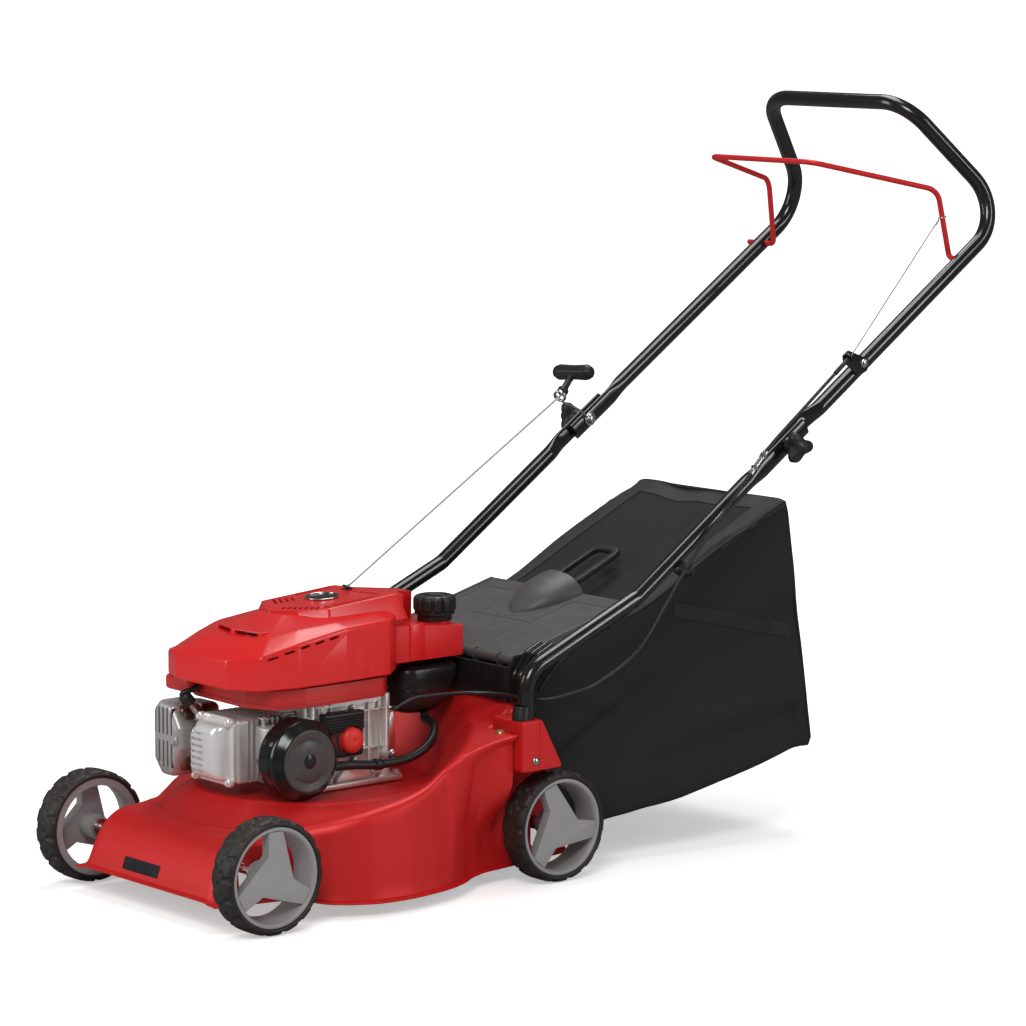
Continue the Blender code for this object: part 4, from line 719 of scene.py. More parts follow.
def effect_group(effect: Effect) -> bpy.types.NodeTree:
    """Return the node group of a shared effect, built the first time it is used."""
    group = bpy.data.node_groups.get(effect.value)
    if group is not None:
        return group
    group = bpy.data.node_groups.new(effect.value, "ShaderNodeTree")
    group.interface.new_socket("Scale", in_out="INPUT", socket_type="NodeSocketFloat")
    group.interface.new_socket("Height", in_out="OUTPUT", socket_type="NodeSocketFloat")
    group.interface.new_socket("Mask", in_out="OUTPUT", socket_type="NodeSocketFloat")
    sketch = Sketch(group)
    scale = group.nodes.new("NodeGroupInput").outputs["Scale"]
    result = group.nodes.new("NodeGroupOutput")
    place = sketch.node("TexCoord").outputs["Object"]
    if effect is Effect.GRAIN:
        height = sketch.noise(place, scale, 3.0, 0.65)
        mask = sketch.noise(place, sketch.math("MULTIPLY", scale, 0.03), 3.0)
    elif effect is Effect.PEEL:
        height = sketch.noise(place, scale, 1.0, 0.4)
        mask = sketch.noise(place, sketch.math("MULTIPLY", scale, 0.06), 2.0)
    elif effect is Effect.WEAVE:
        height, mask = weave_nodes(sketch, scale)
    elif effect is Effect.DUST:
        normal = sketch.node("NewGeometry").outputs["Normal"]
        upward = sketch.node("SeparateXYZ")
        sketch.join(normal, upward.inputs[0])
        flat = sketch.between(upward.outputs["Z"], 0.35, 0.95)
        height = sketch.noise(place, scale, 4.0, 0.6)
        mask = sketch.math("MULTIPLY", flat, sketch.between(height, 0.42, 0.62))
    else:
        streaks = sketch.node("Mapping", {"Scale": (1.0, 6.0, 2.0), "Rotation": (0.3, 0.5, 0.9)})
        sketch.join(place, streaks.inputs["Vector"])
        height = sketch.noise(streaks.outputs[0], scale, 5.0, 0.7)
        mask = sketch.between(height, 0.60, 0.72)
    sketch.join(height, result.inputs["Height"])
    sketch.join(mask, result.inputs["Mask"])
    return group


def weave_nodes(sketch: Sketch, scale: Socket) -> tuple[Socket, Socket]:
    """Draw a plain weave on the "cloth" map, whose unit is a metre, and return height and thread mask."""
    place = sketch.node("UVMap", uv_map="cloth").outputs[0]
    parts = sketch.node("SeparateXYZ")
    sketch.join(place, parts.inputs[0])
    across = sketch.math("SINE", sketch.math("MULTIPLY", parts.outputs["X"], scale))
    along = sketch.math("SINE", sketch.math("MULTIPLY", parts.outputs["Y"], scale))
    height = sketch.math("MULTIPLY_ADD", sketch.math("MULTIPLY", across, along), 0.5)
    height.node.inputs[2].default_value = 0.5
    wide = sketch.node("Mapping", {"Scale": (220.0, 30.0, 1.0)})
    sketch.join(place, wide.inputs["Vector"])
    return height, sketch.noise(wide.outputs[0], 1.0, 4.0, 0.6)


@dataclass(frozen=True)
class Finish:
    """A plain finish: a colour that varies a little, with fine relief.

    Attributes:
        name: Name of the material.
        slot: The record's material slot.
        colour: Base colour, linear.
        roughness: Mean roughness.
        metallic: Metallic value.
        relief: The effect that shapes the fine relief.
        relief_scale: Its scale, per metre.
        relief_depth: Its depth in metres.
        mottle: How far the colour wanders, as a share.
        coat: Weight of a clear coat.
        dust: Share of dust on surfaces that face up.
        sheen: Sheen weight.
    """

    name: str
    slot: str
    colour: Colour
    roughness: float
    metallic: float = 0.0
    relief: Effect = Effect.GRAIN
    relief_scale: float = 1400.0
    relief_depth: float = 0.00004
    mottle: float = 0.06
    coat: float = 0.0
    dust: float = 0.0
    sheen: float = 0.0

    def material(self) -> bpy.types.Material:
        """Return the finish's material, built the first time it is used."""
        found = bpy.data.materials.get(self.name)
        if found is not None:
            return found
        material = bpy.data.materials.new(self.name)
        material.use_nodes = True
        sketch = Sketch(material.node_tree)
        shader = material.node_tree.nodes["Principled BSDF"]
        shader.inputs["Metallic"].default_value = self.metallic
        shader.inputs["Coat Weight"].default_value = self.coat
        shader.inputs["Coat Roughness"].default_value = 0.04
        shader.inputs["Sheen Weight"].default_value = self.sheen
        shader.inputs["Sheen Roughness"].default_value = 0.5
        self.draw(sketch, shader)
        return material

    def effect(self, sketch: Sketch, effect: Effect, scale: float) -> bpy.types.Node:
        """Place one of the shared effects in the material at a scale."""
        placed = sketch.node("Group", node_tree=effect_group(effect))
        placed.inputs["Scale"].default_value = scale
        return placed

    def colour_socket(self, sketch: Sketch, relief: bpy.types.Node) -> Socket:
        """Return the colour that varies over the surface."""
        dark = tuple(c * (1.0 - self.mottle) for c in self.colour)
        light = tuple(min(1.0, c * (1.0 + self.mottle) + 0.002 * self.mottle) for c in self.colour)
        return sketch.blend(sketch.between(relief.outputs["Mask"], 0.3, 0.7), dark, light)

    def draw(self, sketch: Sketch, shader: bpy.types.Node) -> None:
        """Draw the colour, roughness and relief that feed the shader."""
        relief = self.effect(sketch, self.relief, self.relief_scale)
        colour = self.colour_socket(sketch, relief)
        if self.dust > 0.0:
            settled = self.effect(sketch, Effect.DUST, 60.0)
            share = sketch.math("MULTIPLY", settled.outputs["Mask"], self.dust)
            colour = sketch.blend(share, colour, (0.30, 0.28, 0.25))
        sketch.join(colour, shader.inputs["Base Color"])
        scuffs = self.effect(sketch, Effect.SCUFF, 35.0)
        base = sketch.between(relief.outputs["Mask"], 0.3, 0.7, self.roughness - 0.03, self.roughness + 0.03)
        rough = sketch.math("ADD", base, sketch.math("MULTIPLY", scuffs.outputs["Mask"], 0.05), clamp=True)
        sketch.join(rough, shader.inputs["Roughness"])
        raised = sketch.node("Bump", {"Strength": 1.0, "Distance": self.relief_depth})
        sketch.join(relief.outputs["Height"], raised.inputs["Height"])
        sketch.join(raised.outputs["Normal"], shader.inputs["Normal"])


@dataclass(frozen=True)
class CastFinish(Finish):
    """Sand-rough cast metal, darker in its pits."""

    def colour_socket(self, sketch: Sketch, relief: bpy.types.Node) -> Socket:
        """Return the casting's colour, with darker pits."""
        dark = tuple(c * 0.84 for c in self.colour)
        return sketch.blend(sketch.between(relief.outputs["Height"], 0.30, 0.60), dark, self.colour)


@dataclass(frozen=True)
class ClothFinish(Finish):
    """Woven cloth: threads on the piece's own map, with painted shade between the raised threads and a
    streaky tone along them.
    """

    def colour_socket(self, sketch: Sketch, relief: bpy.types.Node) -> Socket:
        """Return the cloth's colour, thread by thread, with painted shade in the hollows between threads."""
        # Raised threads lighter and the hollows between them darker: painted shade of the weave, mixed with a
        # streaky tone.
        dark = tuple(c * 0.55 for c in self.colour)
        light = tuple(c * 1.55 for c in self.colour)
        threads = sketch.math("ADD", sketch.math("MULTIPLY", relief.outputs["Height"], 0.55),
                              sketch.math("MULTIPLY", relief.outputs["Mask"], 0.45))
        return sketch.blend(sketch.between(threads, 0.25, 0.75), dark, light)


@dataclass(frozen=True)
class TwistFinish(Finish):
    """Twisted cord: slanting strands read from the piece's "lay" attribute."""

    def draw(self, sketch: Sketch, shader: bpy.types.Node) -> None:
        """Draw the strands, with painted shade in the grooves between them, and their relief."""
        lay = sketch.node("Attribute", attribute_name="lay").outputs["Fac"]
        strands = sketch.math("ABSOLUTE", sketch.math("SINE", lay))
        # The grooves between strands fall to half the colour: painted shade.
        dark = tuple(c * 0.5 for c in self.colour)
        sketch.join(sketch.blend(strands, dark, self.colour), shader.inputs["Base Color"])
        sketch.join(sketch.between(strands, 0.0, 1.0, self.roughness + 0.05, self.roughness - 0.05),
                    shader.inputs["Roughness"])
        raised = sketch.node("Bump", {"Strength": 1.0, "Distance": self.relief_depth})
        sketch.join(strands, raised.inputs["Height"])
        sketch.join(raised.outputs["Normal"], shader.inputs["Normal"])


DECK_PAINT = Finish("deck_paint", "deck_paint", (0.56, 0.017, 0.013), 0.24, relief=Effect.PEEL,
                    relief_scale=420.0, relief_depth=0.00003, mottle=0.03, coat=0.35, dust=0.02)
BAIL_PAINT = Finish("bail_paint", "bail_paint", (0.56, 0.016, 0.013), 0.32, relief=Effect.PEEL,
                    relief_scale=500.0, relief_depth=0.00002, mottle=0.03, coat=0.3)
COWL_PLASTIC = Finish("cowl_plastic", "cowl_plastic", (0.60, 0.019, 0.014), 0.26, relief=Effect.PEEL,
                      relief_scale=300.0, relief_depth=0.00002, mottle=0.03, coat=0.25, dust=0.02)
# The housing's red is darker than the cowl's: painted shade under the cowl's overhang.
SHADED_SHROUD_PAINT = Finish("shaded_shroud_paint", "shroud", (0.48, 0.016, 0.012), 0.36, relief_depth=0.00002, mottle=0.05)
PRIMER_RUBBER = Finish("primer_rubber", "primer", (0.66, 0.024, 0.018), 0.42, mottle=0.04)
TUBE_PAINT = Finish("tube_paint", "handle_paint", (0.008, 0.008, 0.008), 0.20, relief=Effect.PEEL,
                    relief_scale=300.0, relief_depth=0.000005, mottle=0.1, coat=0.5)
BLACK_MOULDING = Finish("black_moulding", "black_plastic", (0.014, 0.014, 0.015), 0.42, relief_depth=0.00005,
                        mottle=0.15)
GLOSS_MOULDING = Finish("gloss_moulding", "black_plastic", (0.008, 0.008, 0.008), 0.17, relief=Effect.PEEL,
                        relief_scale=300.0, relief_depth=0.00001, mottle=0.1)
GREY_FACE = Finish("grey_face", "black_plastic", (0.060, 0.055, 0.051), 0.34, relief_depth=0.00003,
                   mottle=0.04)
TANK_MOULDING = Finish("tank_moulding", "black_plastic", (0.012, 0.011, 0.010), 0.24, relief=Effect.PEEL,
                       relief_scale=220.0, relief_depth=0.00008, mottle=0.15)
CABLE_SHEATH = Finish("cable_sheath", "black_cable", (0.012, 0.012, 0.013), 0.38, relief_depth=0.00003,
                      mottle=0.1)
FLAP_MOULDING = Finish("flap_moulding", "flap_plastic", (0.070, 0.066, 0.067), 0.46, relief_scale=1900.0,
                       relief_depth=0.00007, mottle=0.05, dust=0.05)
MOUNT_MOULDING = Finish("mount_moulding", "flap_plastic", (0.012, 0.011, 0.011), 0.36, mottle=0.1)
TYRE_RUBBER = Finish("tyre_rubber", "tyre", (0.020, 0.016, 0.014), 0.52, relief_scale=900.0,
                     relief_depth=0.00012, mottle=0.25, dust=0.06)
WHEEL_MOULDING = Finish("wheel_moulding", "wheel_plastic", (0.27, 0.26, 0.26), 0.42, relief_scale=1600.0,
                        relief_depth=0.00003, mottle=0.03)
CAST_ALLOY = CastFinish("cast_alloy", "casting", (0.70, 0.68, 0.65), 0.34, 0.55, relief_scale=900.0,
                        relief_depth=0.00016, mottle=0.05)
SMOOTH_ALLOY = Finish("smooth_alloy", "casting", (0.84, 0.84, 0.82), 0.24, 0.45, relief_scale=500.0,
                          relief_depth=0.00005, mottle=0.05)
PLATED = Finish("plated_steel", "steel", (0.66, 0.65, 0.63), 0.24, 1.0, relief_scale=700.0,
                relief_depth=0.00002)
BRASS = Finish("plug_brass", "steel", (0.46, 0.33, 0.13), 0.34, 0.8, relief_scale=700.0, relief_depth=0.00002)
GUARD_SHEET = Finish("guard_sheet", "guard", (0.46, 0.45, 0.44), 0.38, 0.5, relief_scale=800.0,
                     relief_depth=0.00003, mottle=0.05)
HOT_PIPE = Finish("hot_pipe", "guard", (0.30, 0.19, 0.14), 0.35, 0.9, relief_scale=500.0, mottle=0.3)
FILTER_FOAM = Finish("filter_foam", "foam", (0.05, 0.05, 0.05), 0.9, relief_scale=500.0, relief_depth=0.0004)
BAG_CLOTH = ClothFinish("bag_cloth", "bag_cloth", (0.0085, 0.0072, 0.0060), 0.55, relief=Effect.WEAVE,
                        relief_scale=3600.0, relief_depth=0.00018, sheen=0.12)
# The tapes' colour is about half the cloth's: painted shade along the bands.
SHADED_BAG_TAPE = ClothFinish("shaded_bag_tape", "bag_cloth", (0.0045, 0.0040, 0.0035), 0.6, relief=Effect.WEAVE,
                       relief_scale=5200.0, relief_depth=0.00015, sheen=0.1)
CORD = TwistFinish("starter_cord", "rope", (0.50, 0.49, 0.47), 0.75, relief_depth=0.00025)
PIPING = Finish("bag_piping", "bag_cloth", (0.010, 0.009, 0.009), 0.55, relief_scale=1800.0,
                relief_depth=0.0001)
BLANK_PLATE = Finish("blank_plate", "black_plastic", (0.012, 0.013, 0.016), 0.22, relief=Effect.PEEL,
                     relief_scale=300.0, relief_depth=0.00001)


@dataclass
class Deck:
    """Pressed steel deck with the sockets over its rear wheels.

    Attributes:
        blade_back: The blade's axis behind the front axle.
        top: Height of the plateau that carries the engine.
        dome_inner: Radius where the plateau ends.
        dome_outer: Radius where the flank meets the rim.
        wall: Half width of the side wall, by distance back.
        rim: Height beyond the dome.
        lip: Height of the lower edge.
        draft: How far the wall leans in at the top.
        fender: How far the top flares out over the rear wheel.
        fender_end: Where the flare stops, in front of the socket.
        flange: Width of the edge that is turned out.
        sheet: Thickness of the steel.
        mouth: Upper edge of the rear opening, as back and z.
        mouth_lean: Lean of the opening.
        step: Depth of the pressed steps.
        axle_z: Height of the axles at rest.
        height_travel: How far an axle slides.
        slot_half: Half width of an axle's slot.
        axles: The axles' places behind the front one.
        socket_x: Inner and outer face of a socket.
        tube_x: Middle of the socket's hole.
        tube_radius: Radius of that hole.
    """

    blade_back: float = 0.225
    top: float = 0.138
    dome_inner: float = 0.150
    dome_outer: float = 0.212
    wall: Table = ((-0.052, 0.146), (-0.030, 0.150), (0.0, 0.151), (0.060, 0.154), (0.096, 0.176),
                   (0.128, 0.197), (0.168, 0.211), (0.211, 0.214), (0.256, 0.209), (0.291, 0.201),
                   (0.325, 0.186), (0.355, 0.168), (0.385, 0.160), (0.540, 0.160))
    rim: Table = ((-0.052, 0.0375), (-0.046, 0.0385), (-0.041, 0.052), (-0.030, 0.076), (-0.014, 0.097),
                  (0.008, 0.108), (0.040, 0.111), (0.090, 0.116), (0.150, 0.130), (0.217, 0.144),
                  (0.257, 0.157), (0.292, 0.176), (0.357, 0.200), (0.405, 0.212), (0.435, 0.236),
                  (0.540, 0.238))
    lip: Table = ((-0.052, 0.0345), (0.0, 0.033), (0.060, 0.030), (0.110, 0.022), (0.200, 0.020),
                  (0.330, 0.020), (0.400, 0.022), (0.540, 0.030))
    draft: Table = ((-0.052, 0.010), (0.330, 0.010), (0.385, 0.0008), (0.540, 0.0008))
    fender: Table = ((-0.052, 0.0), (0.270, 0.0), (0.291, 0.002), (0.325, 0.029), (0.355, 0.050),
                     (0.385, 0.0600), (0.3955, 0.0635))
    fender_end: float = 0.3970
    flange: float = 0.012
    sheet: float = 0.0022
    mouth: Pair = (0.442, 0.238)
    mouth_lean: float = math.radians(22.0)
    step: float = 0.0026
    axle_z: float = 0.075
    height_travel: float = 0.030
    slot_half: float = 0.0068
    axles: Pair = (0.0, 0.4725)
    socket_x: Pair = (0.1604, 0.2245)
    tube_x: float = 0.2075
    tube_radius: float = 0.0113

    def height(self, x: float, back: float) -> float:
        """Return the height of the upper surface, pressed steps included."""
        distance = math.hypot(x, back - self.blade_back)
        flank = smooth((distance - self.dome_inner) / (self.dome_outer - self.dome_inner))
        height = mix(self.top, follow(self.rim, back), flank)
        in_front = smooth((0.230 - back) / 0.06)
        height += self.step * bump(distance, self.dome_inner + 0.008, 0.0045) * smooth((0.36 - back) / 0.05)
        band = smooth((distance - self.dome_outer + 0.006)
                      / 0.004) - smooth((distance - self.dome_outer - 0.004) / 0.004)
        return height + self.step * 0.7 * band * in_front * smooth((0.150 - abs(x)) / 0.03)

    def half_section(self, back: float) -> list[Pair]:
        """Return x and z from the flange's edge to the middle line at one station."""
        wall, lip = follow(self.wall, back), follow(self.lip, back)
        fender = follow(self.fender, back) if back < self.fender_end else 0.0
        shoulder = wall - follow(self.draft, back) + fender
        flared = smooth(fender / 0.02)
        crown = self.height(shoulder, back)
        drop = max(0.0015, min(0.012, (crown - lip) * 0.4))
        low = lip + min(0.0045, drop * 0.5)
        section = [(wall + self.flange, lip - 0.0008), (wall + self.flange - 0.0012, lip + 0.0002),
                   (wall + 0.0040, lip + 0.0006), (wall + 0.0014, lip + 0.0012), (wall + 0.0004, low)]
        for step in range(1, 13):
            share = step / 12
            hollow = mix(0.75 * share ** 2.2, 0.75 * smooth((share - 0.25) / 0.45),
                         smooth((back - 0.345) / 0.040))
            lean = mix(0.1 + 0.65 * share, hollow, flared)
            section.append((mix(wall, shoulder, lean), mix(low, crown - drop, share)))
        reach = 0.012 if back < 0.33 else 0.0085
        corner_x, corner_z = mix(wall, shoulder, 0.75), crown - drop
        flat = shoulder - reach
        for step in range(1, 8):
            t = step / 8
            keep, pull, last = (1 - t) ** 2, 2 * t * (1 - t), t * t
            section.append((corner_x * keep + shoulder * pull + flat * last,
                            corner_z * keep + crown * pull + self.height(flat, back) * last))
        for step in range(46):
            x = flat * (1 - step / 45)
            section.append((x, self.height(x, back)))
        return section

    def section(self, back: float) -> list[Vector]:
        """Return one whole station from the left edge to the right one."""
        half = []
        for x, z in self.half_section(back):
            flutes = bump(back, 0.342, 0.0035) + bump(back, 0.362, 0.0035)
            pressed = 0.0022 * flutes * smooth((z - 0.085) / 0.012) * smooth((0.176 - z) / 0.012)
            half.append((x - pressed * smooth((x - 0.12) / 0.03), z))
        return [at(-x, back, z) for x, z in half] + [at(x, back, z) for x, z in reversed(half[:-1])]

    def shell(self) -> Piece:
        """Build the pressed shell with its flange, axle slots and shaft hole."""
        stations = [-0.052 + 0.0011 * i for i in range(24)] + [-0.0256 + 0.0035 * i for i in range(118)]
        stations += [0.3895, 0.3930, 0.3955, 0.3975] + [0.4010 + 0.0035 * i for i in range(40)]
        piece = loft("deck_pressing", [self.section(back) for back in stations], closed=False)
        normal = Vector((0.0, math.cos(self.mouth_lean), math.sin(self.mouth_lean)))
        with editing(piece):
            bpy.ops.mesh.select_all(action="SELECT")
            bpy.ops.mesh.bisect(plane_co=at(0.0, *self.mouth), plane_no=normal, clear_outer=True)
        if sum(face.normal.z * face.area for face in piece.data.polygons) < 0:
            piece.data.flip_normals()
        use_modifier(piece, "SOLIDIFY", thickness=self.sheet, offset=-1.0, use_even_offset=True)
        tools = [rod("hole", at(0, self.blade_back, 0.10), at(0, self.blade_back, 0.17), 0.030, sides=48)]
        length = self.height_travel + 2 * self.slot_half
        slot = round_box(2 * self.slot_half, length, self.slot_half - 0.0001, steps=8)
        for back in self.axles:
            for side in (-1, 1):
                place = facing_x(side * 0.158, back, self.axle_z - self.height_travel / 2)
                tools.append(plate("slot", [slot], 0.05, place))
        return cut(piece, *tools)

    def socket(self) -> Piece:
        """Build the left side box that takes the handle's lower end."""
        inner, outer = self.socket_x
        corners = rounded([(0.398, 0.158), (0.4690, 0.158), (0.4325, 0.2262), (0.398, 0.2262)], 0.005)
        body = plate("socket_box", [corners], outer - inner, facing_x((inner + outer) / 2), edge=0.0030,
                     segments=4)
        hole = rod("hole", at(self.tube_x, 0.41578, 0.1635), at(self.tube_x, 0.41848, 0.30), self.tube_radius,
                   sides=48)
        groove = block("groove", (0.2236, 0.4268, 0.150), (0.2260, 0.4277, 0.250), edge=0.0)
        return cut(body, hole, groove)

    def build(self) -> None:
        """Build and dress the deck and its sockets."""
        dress(self.shell(), "chassis", DECK_PAINT, "deck_shell", angle=40.0)
        socket = self.socket()
        dress(copied(socket, "socket_right", MIRROR), "chassis", DECK_PAINT, "handle_socket_right")
        socket.name = "socket_left"
        dress(socket, "chassis", DECK_PAINT, "handle_socket_left")
        LOG.info("deck with sockets built")


@dataclass
class Wheel:
    """A moulded wheel with its lugged tyre, built once and copied to four places.

    Attributes:
        radius: Outer radius of the tyre.
        half: Half width of the tyre.
        rim: Radius of the rim's seat.
        lugs: Lugs round each shoulder.
        steps_per_lug: Mesh steps in one lug's pitch.
        depth: Depth of the gaps between lugs.
        track_half: Middle of a wheel, from the middle line.
        wheelbase: Distance between the axles.
        spoke_reach: Radius where the spokes end.
        spoke_notch: Radius of the notch between spokes.
        spoke_half_angle: Half the angle of a spoke's end.
        notch_lead: Angle from a spoke's middle to its notch.
        phases: How far the spokes are turned, in degrees, front and rear.
    """

    radius: float = 0.075
    half: float = 0.021
    rim: float = 0.0655
    lugs: int = 17
    steps_per_lug: int = 20
    depth: float = 0.0026
    track_half: float = 0.199
    wheelbase: float = 0.4725
    spoke_reach: float = 0.0600
    spoke_notch: float = 0.0295
    spoke_half_angle: float = 0.187
    notch_lead: float = math.radians(22.0)
    phases: dict[str, float] = field(default_factory=lambda: {"front": 88.0, "rear": 109.5})

    def tyre_profile(self) -> list[Pair]:
        """Return the tyre's closed section as radius and width."""
        rim, half = self.rim, self.half
        side = [(rim, 0.0), (rim, half - 0.0035), (rim + 0.0004, half - 0.0012),
                (rim + 0.0014, half - 0.0002), (rim + 0.0026, half), (0.0690, half - 0.0001),
                (0.0700, half - 0.0005), (0.0706, half - 0.0012), (0.0712, half - 0.0017),
                (0.0722, half - 0.0022), (0.0732, half - 0.0031), (0.0739, half - 0.0045),
                (0.0744, half - 0.0062), (0.0747, half - 0.0080), (0.0749, half - 0.0100),
                (0.0750, half - 0.0120), (0.0750, 0.0068), (0.0750, 0.0048), (0.0750, 0.0028),
                (0.0750, 0.0010)]
        return [(r, -z) for r, z in side] + [(r, z) for r, z in reversed(side)][:-1]

    def gap(self, angle: float, across: float) -> float:
        """Return how deep the tread is cut at an angle and a place across the tyre."""
        pitch = angle * self.lugs / (math.tau) + (0.5 if across < 0 else 0.0)
        share = pitch - math.floor(pitch)
        outer = smooth((abs(across) - 0.0055) / 0.0012)
        width = 0.10 + 0.06 * smooth((abs(across) - 0.009) / 0.010)
        slot = smooth((width - abs(share - 0.5)) / 0.055 + 0.5)
        centre = smooth((0.0050 - abs(across)) / 0.0015)
        notch = smooth((0.10 - abs(share - 0.25)) / 0.04 + 0.5)
        return max(slot * outer, centre * notch * 0.8)

    def tyre(self) -> Piece:
        """Build the tyre about the X axis at the origin."""
        piece = turned("tyre", self.tyre_profile(), Vector((0, 0, 0)), (0, 0, 1),
                       steps=self.lugs * self.steps_per_lug, ring=True)
        for vertex in piece.data.vertices:
            reach = math.hypot(vertex.co.x, vertex.co.y)
            weight = smooth((reach - 0.0700) / 0.0022)
            if weight > 0.0:
                depth = self.depth * weight * self.gap(math.atan2(vertex.co.y, vertex.co.x), vertex.co.z)
                vertex.co.x *= (reach - depth) / reach
                vertex.co.y *= (reach - depth) / reach
        return settle(piece, turn_to(Vector((1, 0, 0))))

    def star(self, turn: float) -> list[Pair]:
        """Return the outline of three broad spokes, each cut back further on one side."""
        corners = []
        for arm in range(3):
            middle = math.radians(turn) + arm * math.tau / 3
            for angle, radius in ((middle - self.spoke_half_angle, self.spoke_reach),
                                  (middle + self.spoke_half_angle, self.spoke_reach),
                                  (middle + self.notch_lead, self.spoke_notch)):
                corners.append((radius * math.cos(angle), radius * math.sin(angle)))
        return rounded(corners, 0.0022, 3)

    def moulding(self, end: str) -> Piece:
        """Build the rim ring, spokes and hub of the left wheel at one end."""
        seat = self.rim - 0.0003
        ring = turned("rim", [(seat, -0.0185), (seat, 0.0176), (seat - 0.0003, 0.0186),
                              (seat - 0.0012, 0.0192), (0.0618, 0.0192), (0.0610, 0.0189), (0.0604, 0.0182),
                              (0.0598, 0.0172), (0.0590, 0.0160), (0.0584, 0.0120), (0.0572, 0.0),
                              (0.0562, -0.0120), (0.0550, -0.0180), (0.0556, -0.0185)], Vector((0, 0, 0)),
                      (1, 0, 0), steps=144, ring=True)
        columns = Matrix(((0, 0, 1, 0), (1, 0, 0, 0), (0, 1, 0, 0), (0, 0, 0, 1)))
        spokes = plate("spokes", [self.star(self.phases[end])], 0.015,
                       Matrix.Translation((0.0100, 0, 0)) @ columns, edge=0.0012, segments=3)
        hub = rod("hub", Vector((-0.0205, 0, 0)), Vector((0.0040, 0, 0)), 0.0165, sides=64, edge=0.001)
        bore = rod("bore", Vector((-0.030, 0, 0)), Vector((0.0075, 0, 0)), 0.0068, sides=48)
        solid = combine(combine(ring, [spokes], "UNION"), [hub], "UNION")
        return cut(solid, bore)

    def build(self) -> None:
        """Build one tyre and two mouldings, and copy them to the four wheels."""
        tyre = self.tyre()
        for end, back in (("front", 0.0), ("rear", self.wheelbase)):
            moulding = self.moulding(end)
            for name, side in (("left", 1), ("right", -1)):
                place = Matrix.Translation(at(side * self.track_half, back, self.radius))
                place = place if side > 0 else place @ MIRROR
                body = "wheel_%s_%s" % (end, name)
                dress(copied(tyre, "tread_%s_%s" % (end, name), place), body, TYRE_RUBBER,
                      "tyre_%s_%s" % (end, name), angle=50.0)
                dress(copied(moulding, "hubwheel_%s_%s" % (end, name), place), body, WHEEL_MOULDING,
                      "wheel_%s_%s" % (end, name))
            bpy.data.objects.remove(moulding)
        bpy.data.objects.remove(tyre)
        LOG.info("four wheels built")


